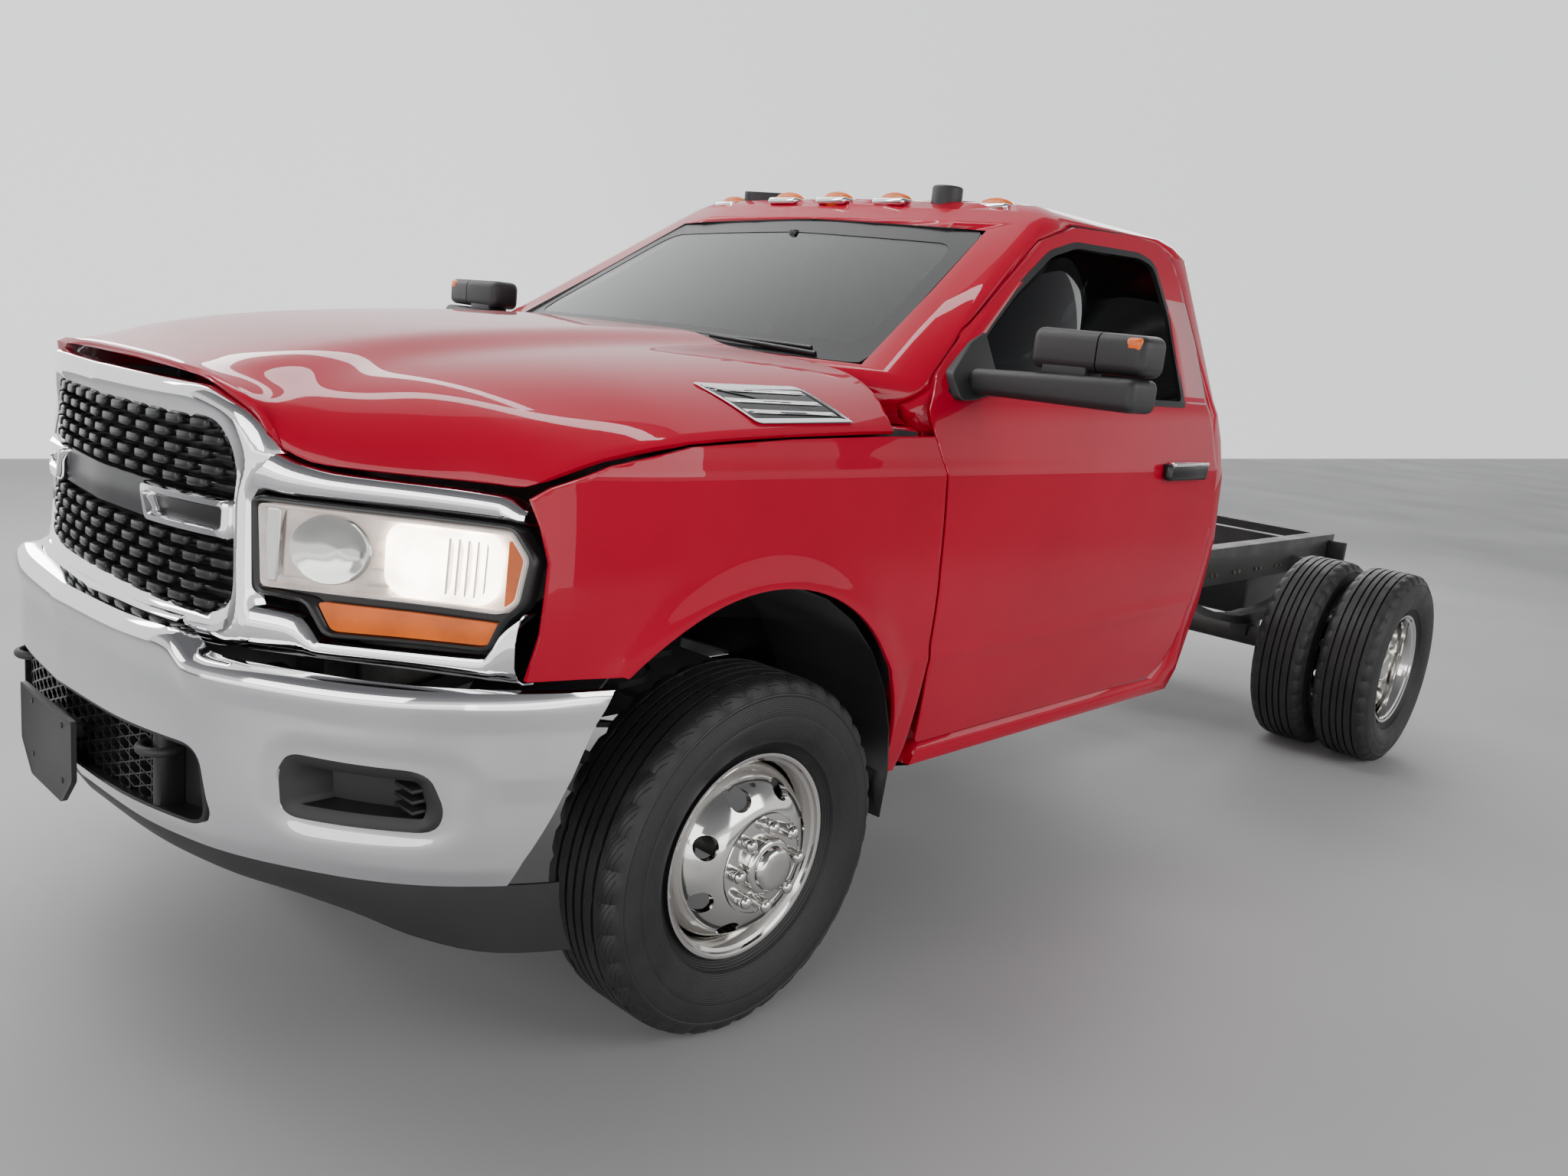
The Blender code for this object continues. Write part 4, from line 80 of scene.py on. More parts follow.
def curve_through(points):
    """A reader of a smooth curve through (at, value) points that doesn't overshoot them."""
    at = np.array([p[0] for p in points], float)
    value = np.array([p[1] for p in points], float)
    step, rise = np.diff(at), np.diff(value)
    slope = rise / step
    tangent = np.zeros(len(at))
    for i in range(1, len(at) - 1):
        if slope[i - 1] * slope[i] > 0:
            w1, w2 = 2 * step[i] + step[i - 1], step[i] + 2 * step[i - 1]
            tangent[i] = (w1 + w2) / (w1 / slope[i - 1] + w2 / slope[i])
    tangent[0], tangent[-1] = slope[0], slope[-1]

    def read(x):
        x = min(max(x, at[0]), at[-1])
        i = min(int(np.searchsorted(at, x, side="right")) - 1, len(step) - 1)
        t = (x - at[i]) / step[i]
        a, b = 2 * t**3 - 3 * t**2 + 1, t**3 - 2 * t**2 + t
        c, d = 3 * t**2 - 2 * t**3, t**3 - t**2
        return float(a * value[i] + b * step[i] * tangent[i] + c * value[i + 1]
                     + d * step[i] * tangent[i + 1])
    return read


print("wheel centres at z", round(WHEEL_Z, 4))

# %% [markdown]
# Blender's operators act on whatever is selected, so each helper first clears the selection.
# A finished piece has its place in its mesh and its object at the origin, as the packed
# nodes have, because patterns on Object coordinates then stay where they are.

# %% Selecting, settling and modifiers
def pick(piece):
    bpy.ops.object.select_all(action="DESELECT")
    piece.select_set(True)
    bpy.context.view_layer.objects.active = piece
    return piece


def settle(piece):
    pick(piece)
    bpy.ops.object.transform_apply(location=True, rotation=True, scale=True)
    return piece


def apply(piece, kind, **values):
    """Adds a modifier with its values and applies it."""
    pick(piece)
    added = piece.modifiers.new(kind.lower(), kind)
    for key, value in values.items():
        setattr(added, key, value)
    bpy.ops.object.modifier_apply(modifier=added.name)
    return piece


def smooth(piece, degrees=35):
    pick(piece)
    bpy.ops.object.shade_smooth_by_angle(angle=math.radians(degrees))
    return piece


def tidy_mesh(piece, distance=0.00005):
    """Doubles merged and faces turned outwards."""
    pick(piece)
    bpy.ops.object.mode_set(mode="EDIT")
    bpy.ops.mesh.select_all(action="SELECT")
    bpy.ops.mesh.remove_doubles(threshold=distance)
    bpy.ops.mesh.normals_make_consistent(inside=False)
    bpy.ops.object.mode_set(mode="OBJECT")
    return piece


def joined(pieces, name):
    """Several objects made one."""
    bpy.ops.object.select_all(action="DESELECT")
    for piece in pieces:
        piece.select_set(True)
    bpy.context.view_layer.objects.active = pieces[0]
    if len(pieces) > 1:
        bpy.ops.object.join()
    pieces[0].name = name
    return pieces[0]


def twin(piece, name, shift=(0, 0, 0), mirror=False):
    """A copy with its own mesh, moved, or mirrored to the truck's other side."""
    made = piece.copy()
    made.data = piece.data.copy()
    made.name = name
    bpy.context.scene.collection.objects.link(made)
    if mirror:
        made.data.transform(Matrix.Scale(-1, 4, (1, 0, 0)))
        made.data.flip_normals()
    made.data.transform(Matrix.Translation(shift))
    return made


def dress(piece, name, body, material, *nodes):
    """The last step of a piece: its name, finish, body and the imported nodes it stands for."""
    piece.name = name
    piece.data.name = name
    piece.data.materials.clear()
    piece.data.materials.append(material)
    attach(piece, body)
    if nodes:
        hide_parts(*nodes)
    return piece


def both_sides(piece, name, body, material, *nodes):
    """A left-hand piece and its mirror twin, on bodies and nodes that end in left and right."""
    other = twin(piece, name + "_right", mirror=True)
    right = [node.replace("left", "right") for node in nodes]
    dress(piece, name + "_left", body, material, *nodes)
    dress(other, name + "_right", body.replace("left", "right"), material, *right)
    return piece, other


print("helpers ready")

# %% [markdown]
# Three effects come back in many finishes: a fine surface grain, a slow drift of tone, and
# road dust that gathers low on the truck. Each is one node group with named inputs, and it
# gives only masks and normals, so the shader itself stays in each material.

# %% Shared node groups
def new_group(name, inputs, outputs):
    group = bpy.data.node_groups.new(name, "ShaderNodeTree")
    for label, value in inputs:
        socket = group.interface.new_socket(name=label, in_out="INPUT", socket_type="NodeSocketFloat")
        socket.default_value = value
    for label, kind in outputs:
        group.interface.new_socket(name=label, in_out="OUTPUT", socket_type=kind)
    return group, group.nodes.new("NodeGroupInput"), group.nodes.new("NodeGroupOutput")


def grain_group():
    """Noise and a fine bump of it."""
    group, start, end = new_group("surface_grain", [("Scale", 300.0), ("Depth", 0.1)],
                                  [("Mask", "NodeSocketFloat"), ("Normal", "NodeSocketVector")])
    place = group.nodes.new("ShaderNodeTexCoord")
    noise = group.nodes.new("ShaderNodeTexNoise")
    noise.inputs["Detail"].default_value = 3
    bump = group.nodes.new("ShaderNodeBump")
    bump.inputs["Distance"].default_value = 0.001
    group.links.new(place.outputs["Object"], noise.inputs["Vector"])
    group.links.new(start.outputs["Scale"], noise.inputs["Scale"])
    group.links.new(start.outputs["Depth"], bump.inputs["Strength"])
    group.links.new(noise.outputs["Fac"], bump.inputs["Height"])
    group.links.new(noise.outputs["Fac"], end.inputs["Mask"])
    group.links.new(bump.outputs["Normal"], end.inputs["Normal"])
    return group


def drift_group():
    """A slow change of tone over a panel."""
    group, start, end = new_group("tone_drift", [("Scale", 2.0)], [("Mask", "NodeSocketFloat")])
    place = group.nodes.new("ShaderNodeTexCoord")
    noise = group.nodes.new("ShaderNodeTexNoise")
    noise.inputs["Detail"].default_value = 4
    spread = group.nodes.new("ShaderNodeMapRange")
    spread.inputs["From Min"].default_value = 0.32
    spread.inputs["From Max"].default_value = 0.68
    group.links.new(place.outputs["Object"], noise.inputs["Vector"])
    group.links.new(start.outputs["Scale"], noise.inputs["Scale"])
    group.links.new(noise.outputs["Fac"], spread.inputs["Value"])
    group.links.new(spread.outputs["Result"], end.inputs["Mask"])
    return group


def dust_group():
    """Dust that is thicker near the road and in patches."""
    group, start, end = new_group("road_dust", [("Amount", 0.3), ("Height", 0.7)],
                                  [("Mask", "NodeSocketFloat")])
    place = group.nodes.new("ShaderNodeTexCoord")
    split = group.nodes.new("ShaderNodeSeparateXYZ")
    fall = group.nodes.new("ShaderNodeMapRange")
    fall.inputs["To Min"].default_value = 1.0
    fall.inputs["To Max"].default_value = 0.0
    noise = group.nodes.new("ShaderNodeTexNoise")
    noise.inputs["Scale"].default_value = 9.0
    noise.inputs["Detail"].default_value = 6
    times = [group.nodes.new("ShaderNodeMath") for _ in range(2)]
    for node in times:
        node.operation = "MULTIPLY"
    group.links.new(place.outputs["Object"], split.inputs["Vector"])
    group.links.new(place.outputs["Object"], noise.inputs["Vector"])
    group.links.new(split.outputs["Z"], fall.inputs["Value"])
    group.links.new(start.outputs["Height"], fall.inputs["From Max"])
    group.links.new(fall.outputs["Result"], times[0].inputs[0])
    group.links.new(noise.outputs["Fac"], times[0].inputs[1])
    group.links.new(times[0].outputs["Value"], times[1].inputs[0])
    group.links.new(start.outputs["Amount"], times[1].inputs[1])
    group.links.new(times[1].outputs["Value"], end.inputs["Mask"])
    return group


GRAIN, DRIFT, DUST = grain_group(), drift_group(), dust_group()
print("groups", [group.name for group in (GRAIN, DRIFT, DUST)])

# %% [markdown]
# One function lays these groups into a Principled material: two tones mixed by the drift,
# dust over them, a roughness that wanders between two values, and the grain as a bump.
# Values that are the same all over, such as metallic or coat, go on the shader's own socket.

# %% A material from the groups
FINISHES = {}


def mix_colour(tree, factor, first, second):
    node = tree.nodes.new("ShaderNodeMix")
    node.data_type = "RGBA"
    tree.links.new(factor, node.inputs["Factor"])
    for socket, value in ((node.inputs[6], first), (node.inputs[7], second)):
        if isinstance(value, tuple):
            socket.default_value = (*value, 1)
        else:
            tree.links.new(value, socket)
    return node.outputs[2]


def placed(tree, group, **values):
    node = tree.nodes.new("ShaderNodeGroup")
    node.node_tree = group
    for key, value in values.items():
        node.inputs[key].default_value = value
    return node


def finish(name, tones, roughness, grain=(400.0, 0.1), drift=2.0, dust=0.15, **sockets):
    """A material of two tones, a roughness range, grain (scale, depth) and road dust."""
    made = bpy.data.materials.new(name)
    made.use_nodes = True
    tree = made.node_tree
    shader = tree.nodes["Principled BSDF"]
    tone = placed(tree, DRIFT, Scale=drift)
    colour = mix_colour(tree, tone.outputs["Mask"], *tones)
    if dust:
        road = placed(tree, DUST, Amount=dust)
        colour = mix_colour(tree, road.outputs["Mask"], colour, (0.17, 0.16, 0.145))
    tree.links.new(colour, shader.inputs["Base Color"])
    fine = placed(tree, GRAIN, Scale=grain[0], Depth=grain[1])
    rough = tree.nodes.new("ShaderNodeMapRange")
    rough.inputs["To Min"].default_value, rough.inputs["To Max"].default_value = roughness
    tree.links.new(tone.outputs["Mask"], rough.inputs["Value"])
    tree.links.new(rough.outputs["Result"], shader.inputs["Roughness"])
    tree.links.new(fine.outputs["Normal"], shader.inputs["Normal"])
    for key, value in sockets.items():
        shader.inputs[key.replace("_", " ")].default_value = value
    FINISHES[name] = made
    return made


RED = finish("red_body_paint", ((0.43, 0.000, 0.022), (0.37, 0.000, 0.018)), (0.32, 0.40),
             grain=(900.0, 0.006), dust=0.01, Coat_Weight=0.75, Coat_IOR=1.40, Coat_Roughness=0.015,
             Specular_IOR_Level=0.05)
CHROME = finish("bright_chrome", ((0.88, 0.88, 0.89), (0.83, 0.83, 0.84)), (0.03, 0.07),
                grain=(25.0, 0.01), dust=0.03, Metallic=1.0)
STAINLESS = finish("polished_stainless", ((0.78, 0.77, 0.74), (0.68, 0.67, 0.65)), (0.05, 0.14),
                   grain=(60.0, 0.03), dust=0.08, Metallic=1.0)
PLASTIC = finish("moulded_black_plastic", ((0.012, 0.012, 0.013), (0.018, 0.018, 0.019)),
                 (0.38, 0.52), grain=(1400.0, 0.35), dust=0.12)
SATIN = finish("satin_black_trim", ((0.010, 0.010, 0.011), (0.014, 0.014, 0.015)), (0.22, 0.32),
               grain=(700.0, 0.08), dust=0.08)
FRAME_BLACK = finish("frame_coating", ((0.018, 0.018, 0.019), (0.035, 0.033, 0.031)), (0.45, 0.65),
                     grain=(160.0, 0.25), drift=6.0, dust=0.35)
CAST = finish("cast_and_machined_metal", ((0.22, 0.215, 0.21), (0.13, 0.125, 0.12)), (0.35, 0.6),
              grain=(220.0, 0.4), drift=9.0, dust=0.3, Metallic=0.85)
BARE_STEEL = finish("bare_exhaust_steel", ((0.32, 0.30, 0.27), (0.20, 0.17, 0.14)), (0.3, 0.55),
                    grain=(300.0, 0.2), drift=7.0, dust=0.3, Metallic=0.9)
SOFT_DASH = finish("soft_dash_skin", ((0.022, 0.022, 0.024), (0.030, 0.030, 0.032)), (0.55, 0.7),
                   grain=(900.0, 0.6), dust=0.0)
HEADLINER = finish("grey_cab_lining", ((0.16, 0.16, 0.165), (0.13, 0.13, 0.135)), (0.8, 0.95),
                   grain=(1800.0, 0.5), dust=0.0)
RADIATOR = finish("radiator_core", ((0.10, 0.10, 0.105), (0.06, 0.06, 0.062)), (0.4, 0.6),
                  grain=(500.0, 0.5), dust=0.2, Metallic=0.6)
print("finishes", sorted(FINISHES))

# %% [markdown]
# Lamps, glass and tyres need finishes of their own. Lit lenses glow with a warm or amber
# light whose strength drifts in patches over the lens, glass is dark and clear, and the tyre's
# sidewall and tread read the angle round the wheel, so that fine ribs and cuts follow it.

# %% Glass and lamps
def glass(name, colour, roughness, weight, ior=1.45):
    made = bpy.data.materials.new(name)
    made.use_nodes = True
    tree = made.node_tree
    shader = tree.nodes["Principled BSDF"]
    tone = placed(tree, DRIFT, Scale=1.5)
    darker = tuple(value * 0.85 for value in colour)
    tree.links.new(mix_colour(tree, tone.outputs["Mask"], colour, darker), shader.inputs["Base Color"])
    fine = placed(tree, GRAIN, Scale=3.0, Depth=0.0005)
    tree.links.new(fine.outputs["Normal"], shader.inputs["Normal"])
    shader.inputs["Roughness"].default_value = roughness
    shader.inputs["Transmission Weight"].default_value = weight
    shader.inputs["IOR"].default_value = ior
    FINISHES[name] = made
    return made


def lit(name, lens, glow, strength, flutes=260.0):
    """A lens over a lamp: fluted plastic whose glow drifts in patches."""
    made = bpy.data.materials.new(name)
    made.use_nodes = True
    tree = made.node_tree
    shader = tree.nodes["Principled BSDF"]
    place = tree.nodes.new("ShaderNodeTexCoord")
    wave = tree.nodes.new("ShaderNodeTexWave")
    wave.inputs["Scale"].default_value = flutes
    wave.inputs["Distortion"].default_value = 0.4
    tree.links.new(place.outputs["Object"], wave.inputs["Vector"])
    tone = placed(tree, DRIFT, Scale=14.0)
    dim = tuple(value * 0.45 for value in glow)
    tree.links.new(mix_colour(tree, tone.outputs["Mask"], lens, tuple(v * 0.8 for v in lens)),
                   shader.inputs["Base Color"])
    tree.links.new(mix_colour(tree, tone.outputs["Mask"], glow, dim), shader.inputs["Emission Color"])
    bump = tree.nodes.new("ShaderNodeBump")
    bump.inputs["Strength"].default_value = 0.15
    bump.inputs["Distance"].default_value = 0.001
    tree.links.new(wave.outputs["Fac"], bump.inputs["Height"])
    tree.links.new(bump.outputs["Normal"], shader.inputs["Normal"])
    shader.inputs["Roughness"].default_value = 0.12
    shader.inputs["Emission Strength"].default_value = strength
    FINISHES[name] = made
    return made


WINDSHIELD_GLASS = glass("windshield_glass", (0.42, 0.45, 0.44), 0.0, 1.0)
# The side and rear glass is near black: partly its own dark tint and partly painted shade of the cab inside, so that
# the seats behind it stay dark.
TINT_AND_SHADE_GLASS = glass("dark_glass_tint_and_painted_shade", (0.010, 0.011, 0.012), 0.0, 0.75)
CLEAR_LENS = glass("clear_lamp_lens", (0.97, 0.97, 0.97), 0.0, 1.0, 1.2)
AMBER_LIT = lit("lit_amber_lens", (0.62, 0.11, 0.0), (1.0, 0.16, 0.0), 0.28)
BULB = lit("lit_halogen_bowl", (1.0, 0.93, 0.87), (1.0, 0.86, 0.72), 14.0, 90.0)
WARM_BOWL = lit("warm_lamp_bowl", (0.85, 0.78, 0.73), (1.0, 0.82, 0.74), 0.35, 120.0)
RED_LENS = lit("red_tail_lens", (0.45, 0.008, 0.01), (0.6, 0.01, 0.01), 0.15)
WHITE_LENS = lit("white_reverse_lens", (0.75, 0.75, 0.75), (0.6, 0.6, 0.6), 0.1)
print("lamps and glass ready")

# %% Tyre rubber that follows the wheel
def rubber(name, axle_y, cuts):
    """Black rubber: radial cuts across the tread, fine rings on the wall, a little dust."""
    made = bpy.data.materials.new(name)
    made.use_nodes = True
    tree = made.node_tree
    shader = tree.nodes["Principled BSDF"]
    place = tree.nodes.new("ShaderNodeTexCoord")
    split = tree.nodes.new("ShaderNodeSeparateXYZ")
    tree.links.new(place.outputs["Object"], split.inputs["Vector"])

    def maths(operation, *values):
        node = tree.nodes.new("ShaderNodeMath")
        node.operation = operation
        for socket, value in zip(node.inputs, values):
            if isinstance(value, (int, float)):
                socket.default_value = value
            else:
                tree.links.new(value, socket)
        return node.outputs[0]

    y = maths("SUBTRACT", split.outputs["Y"], axle_y)
    z = maths("SUBTRACT", split.outputs["Z"], WHEEL_Z)
    radius = maths("SQRT", maths("ADD", maths("MULTIPLY", y, y), maths("MULTIPLY", z, z)))
    angle = maths("ARCTAN2", z, y)
    lean = maths("MULTIPLY", split.outputs["X"], 9.0)
    cut = maths("ABSOLUTE", maths("SINE", maths("MULTIPLY", maths("ADD", angle, lean), cuts)))
    cut = maths("SMOOTH_MIN", cut, 0.25, 0.1)
    on_tread = maths("GREATER_THAN", radius, 0.386)
    rings = maths("ABSOLUTE", maths("SINE", maths("MULTIPLY", radius, 700.0)))
    on_wall = maths("MULTIPLY", maths("LESS_THAN", radius, 0.372), 0.10)
    height = maths("ADD", maths("MULTIPLY", cut, on_tread), maths("MULTIPLY", rings, on_wall))
    bump = tree.nodes.new("ShaderNodeBump")
    bump.inputs["Strength"].default_value = 0.9
    bump.inputs["Distance"].default_value = 0.006
    tree.links.new(height, bump.inputs["Height"])
    fine = placed(tree, GRAIN, Scale=900.0, Depth=0.4)
    tree.links.new(fine.outputs["Normal"], bump.inputs["Normal"])
    tree.links.new(bump.outputs["Normal"], shader.inputs["Normal"])
    tone = placed(tree, DRIFT, Scale=12.0)
    colour = mix_colour(tree, tone.outputs["Mask"], (0.010, 0.010, 0.011), (0.016, 0.016, 0.017))
    road = placed(tree, DUST, Amount=0.12, Height=1.2)
    colour = mix_colour(tree, road.outputs["Mask"], colour, (0.09, 0.085, 0.08))
    tree.links.new(colour, shader.inputs["Base Color"])
    rough = tree.nodes.new("ShaderNodeMapRange")
    rough.inputs["To Min"].default_value, rough.inputs["To Max"].default_value = 0.42, 0.60
    tree.links.new(tone.outputs["Mask"], rough.inputs["Value"])
    tree.links.new(rough.outputs["Result"], shader.inputs["Roughness"])
    FINISHES[name] = made
    return made


FRONT_RUBBER = rubber("front_tyre_rubber", AXLE_Y, 44.0)
REAR_RUBBER = rubber("rear_tyre_rubber", REAR_AXLE_Y, 44.0)
print("rubber ready")

# %% [markdown]
# The photograph was taken from close by, at about eye height and with a wide lens, standing
# off the driver's front corner. The camera's place and turn below were solved from points
# that are easy to find both in the picture and on the truck: wheel rims, lamps, door corners.

# %% Camera
CAMERA_PLACE = Vector((2.6526, -3.7150, 1.5092))
YAW, PITCH, ROLL = math.radians(42.2613), math.radians(11.6029), math.radians(5.9732)
back = Vector((math.sin(YAW) * math.cos(PITCH), -math.cos(YAW) * math.cos(PITCH), math.sin(PITCH)))
right = (-back).cross(Vector((0, 0, 1))).normalized()
rise = right.cross(-back)
side_axis = right * math.cos(ROLL) + rise * math.sin(ROLL)
top_axis = rise * math.cos(ROLL) - right * math.sin(ROLL)
bpy.ops.object.camera_add(location=CAMERA_PLACE)
camera = bpy.context.object
camera.name = "camera"
camera.rotation_mode = "QUATERNION"
camera.rotation_quaternion = Matrix((side_axis, top_axis, back)).transposed().to_quaternion()
SENSOR = (36, 27)
camera.data.sensor_width = SENSOR[0]
camera.data.lens = 28.2
camera.data.clip_start = 0.05
bpy.context.scene.camera = camera
print("camera", tuple(round(v, 3) for v in camera.location), camera.data.lens, "mm")

# %% [markdown]
# A studio for a glossy car needs large soft lights overhead, because paint and chrome show
# the lights themselves. Two long narrow panels over the truck draw thin streaks along its
# creases, low cards brighten the bumper, and the room is a pale floor, a white wall whose foot
# is level in the picture, and a dimmer ceiling.

# %% Floor and light
bpy.ops.mesh.primitive_plane_add(size=400, location=(0, 0, 0))
floor = bpy.context.object
floor.name = "studio_floor"
floor_finish = finish("pale_floor", ((0.40, 0.40, 0.405), (0.375, 0.375, 0.38)), (0.5, 0.65),
                      grain=(60.0, 0.08), drift=0.6, dust=0.0)
floor.data.materials.append(floor_finish)


def on_floor(x, y):
    """The floor point seen at a place of the picture, counted from 0 to 1 from its top left."""
    ray = side_axis * (x - 0.5) * SENSOR[0] + top_axis * (0.5 - y) * SENSOR[1] - back * camera.data.lens
    return CAMERA_PLACE - ray * (CAMERA_PLACE.z / ray.z)


HORIZON = 0.39
near, far = on_floor(0.0, HORIZON), on_floor(1.0, HORIZON)
near, far = near.lerp(far, -0.25), near.lerp(far, 1.3)
mesh = bpy.data.meshes.new("studio_wall")
mesh.from_pydata([near, far, far + Vector((0, 0, 70)), near + Vector((0, 0, 25))], [], [(0, 1, 2, 3)])
wall = bpy.data.objects.new("studio_wall", mesh)
bpy.context.scene.collection.objects.link(wall)
wall_finish = finish("white_wall", ((0.80, 0.80, 0.80), (0.78, 0.78, 0.78)), (0.9, 1.0), grain=(1.0, 0.0),
                     drift=0.02, dust=0.0, Emission_Color=(0.98, 0.99, 1.0, 1.0), Emission_Strength=0.95)
mesh.materials.append(wall_finish)

world = bpy.data.worlds.new("studio_room")
bpy.context.scene.world = world
world.use_nodes = True
tree = world.node_tree
back_light = tree.nodes["Background"]
place = tree.nodes.new("ShaderNodeTexCoord")
split = tree.nodes.new("ShaderNodeSeparateXYZ")
ramp = tree.nodes.new("ShaderNodeValToRGB")
ramp.color_ramp.elements[0].position, ramp.color_ramp.elements[0].color = 0.22, (1.0, 1.0, 1.0, 1)
ramp.color_ramp.elements[1].position, ramp.color_ramp.elements[1].color = 0.85, (0.16, 0.16, 0.17, 1)
middle = ramp.color_ramp.elements.new(0.36)
middle.color = (0.34, 0.34, 0.35, 1)
tree.links.new(place.outputs["Generated"], split.inputs["Vector"])
tree.links.new(split.outputs["Z"], ramp.inputs["Fac"])
tree.links.new(ramp.outputs["Color"], back_light.inputs["Color"])
back_light.inputs["Strength"].default_value = 0.95


def softbox(name, place, target, size, power):
    bpy.ops.object.light_add(type="AREA", location=place)
    lamp = bpy.context.object
    lamp.name = name
    lamp.data.shape = "RECTANGLE"
    lamp.data.size, lamp.data.size_y = size
    lamp.data.energy = power
    lamp.rotation_euler = (Vector(target) - Vector(place)).to_track_quat("-Z", "Y").to_euler()
    return lamp


softbox("roof_panel_near", (-1.2, -2.6, 4.6), (0, -1.2, 0.8), (0.45, 7.0), 120)
softbox("roof_panel_far", (-3.6, -1.5, 4.2), (0, -1.0, 1.0), (0.35, 7.0), 90)
softbox("side_fill", (6.5, 0.5, 3.6), (0.6, -0.8, 0.8), (5.0, 3.0), 190)
softbox("front_fill", (2.0, -8.0, 3.0), (0.0, -2.6, 0.7), (5.0, 2.5), 130)
softbox("low_front_card", (2.5, -7.5, 0.75), (0.5, -2.6, 0.7), (9.0, 1.5), 60)
softbox("low_side_card", (6.0, -3.5, 0.75), (1.0, -1.6, 0.5), (4.0, 1.5), 40)
softbox("rear_fill", (-3.0, 7.0, 4.0), (0.0, 1.0, 0.8), (5.0, 3.0), 180)

# %% [markdown]
# Body panels are pressed sheet: broad smooth skins with crisp edges. Each skin starts as a
# flat grid whose points are moved onto the panel's surface, gets a wall with Solidify, and
# is trimmed by blocks that have the outline of its neighbours, with the corners rounded.

# %% Grids, outlines and trimming
def grid_piece(name, place, across_steps, along_steps):
    """A grid primitive whose points are moved to place(u, v), with u and v from 0 to 1."""
    bpy.ops.object.select_all(action="DESELECT")
    bpy.ops.mesh.primitive_grid_add(x_subdivisions=across_steps, y_subdivisions=along_steps,
                                    size=1, location=(0.5, 0.5, 0))
    made = settle(bpy.context.object)
    made.name = name
    inner = [v.index for v in made.data.vertices if 0.001 < v.co.x < 0.999 and 0.001 < v.co.y < 0.999]
    made.vertex_groups.new(name="inner").add(inner, 1.0, "REPLACE")
    for vert in made.data.vertices:
        vert.co = place(vert.co.x, vert.co.y)
    return made


def face_towards(piece, direction):
    """Turns an open sheet's faces towards a direction."""
    total = sum((face.normal * face.area for face in piece.data.polygons), Vector())
    if total.dot(Vector(direction)) < 0:
        piece.data.flip_normals()
    return piece


def from_points(name, points, faces):
    mesh = bpy.data.meshes.new(name)
    mesh.from_pydata(points, [], faces)
    made = bpy.data.objects.new(name, mesh)
    bpy.context.scene.collection.objects.link(made)
    return made


def loop_faces(count, rings=2):
    """The faces between closed rings of as many points each."""
    return [(k * count + i, k * count + (i + 1) % count, (k + 1) * count + (i + 1) % count, (k + 1) * count + i)
            for k in range(rings - 1) for i in range(count)]


def bisected(piece, places):
    """Cuts a piece across at each x, so that it can bend there."""
    pick(piece)
    bpy.ops.object.mode_set(mode="EDIT")
    for x in places:
        bpy.ops.mesh.select_all(action="SELECT")
        bpy.ops.mesh.bisect(plane_co=(x, 0, 0), plane_no=(1, 0, 0))
    bpy.ops.object.mode_set(mode="OBJECT")
    return piece


def outline_block(outline, axis, low, high, name="block"):
    """A closed block: x takes an outline in (y, z), y in (x, z) and z in (x, y)."""
    order = {"x": lambda a, b, c: (c, a, b), "y": lambda a, b, c: (a, c, b),
             "z": lambda a, b, c: (a, b, c)}[axis]
    count = len(outline)
    points = [order(a, b, end) for end in (low, high) for a, b in outline]
    faces = [tuple(range(count)), tuple(range(2 * count - 1, count - 1, -1))]
    faces += [(i, (i + 1) % count, count + (i + 1) % count, count + i) for i in range(count)]
    return tidy_mesh(from_points(name, points, faces))


def rounded(outline, radius, steps=5):
    """The outline with each corner turned into a short curve."""
    made = []
    for before, here, after in zip(outline[-1:] + outline[:-1], outline, outline[1:] + outline[:1]):
        here, first, last = Vector(here), Vector(before), Vector(after)
        reach = min(radius, (first - here).length * 0.45, (last - here).length * 0.45)
        start = here + (first - here).normalized() * reach
        end = here + (last - here).normalized() * reach
        for i in range(steps + 1):
            t = i / steps
            made.append(tuple(start.lerp(here, t).lerp(here.lerp(end, t), t)))
    return made


def moved_in(outline, distance):
    """The outline moved inwards."""
    area = sum(a[0] * b[1] - b[0] * a[1] for a, b in zip(outline, outline[1:] + outline[:1]))
    turn = 1 if area > 0 else -1
    made = []
    for before, here, after in zip(outline[-1:] + outline[:-1], outline, outline[1:] + outline[:1]):
        first = (Vector(here) - Vector(before)).normalized()
        second = (Vector(after) - Vector(here)).normalized()
        normals = [Vector((-d.y, d.x)) * turn for d in (first, second)]
        middle = (normals[0] + normals[1]).normalized()
        made.append(tuple(Vector(here) + middle * (distance / max(middle.dot(normals[0]), 0.3))))
    return made


def carve(piece, tool, operation="DIFFERENCE", folded=False):
    """A Boolean with a tool that is then thrown away; a folded sheet may touch itself."""
    apply(piece, "BOOLEAN", operation=operation, solver="EXACT", object=tool, use_self=folded)
    bpy.data.objects.remove(tool, do_unlink=True)
    return piece


def flipped(outline):
    return [(-a, b) for a, b in reversed(outline)]


print("panel tools ready")

# %% [markdown]
# The body side is one surface for fender, door and cab corner: widest at the door's middle,
# tucked in under a crease near the sill, leaning in above the windows. Over the wheel it
# swells into a lip. All panels read the same function, so their highlights run through.

# %% Body side surface
side_width = curve_through(((0.0, 0.92), (0.051, 0.945), (0.22, 0.985), (0.355, 1.0), (0.49, 0.99),
                            (0.571, 0.965), (0.625, 0.94), (0.645, 0.922), (0.963, 0.735), (1.0, 0.71)))
ARCH = (AXLE_Y - 0.040, 0.490)
ARCH_RADIUS = 0.516
corner_front = curve_through(((0.654, 0.018), (0.957, 0.430)))


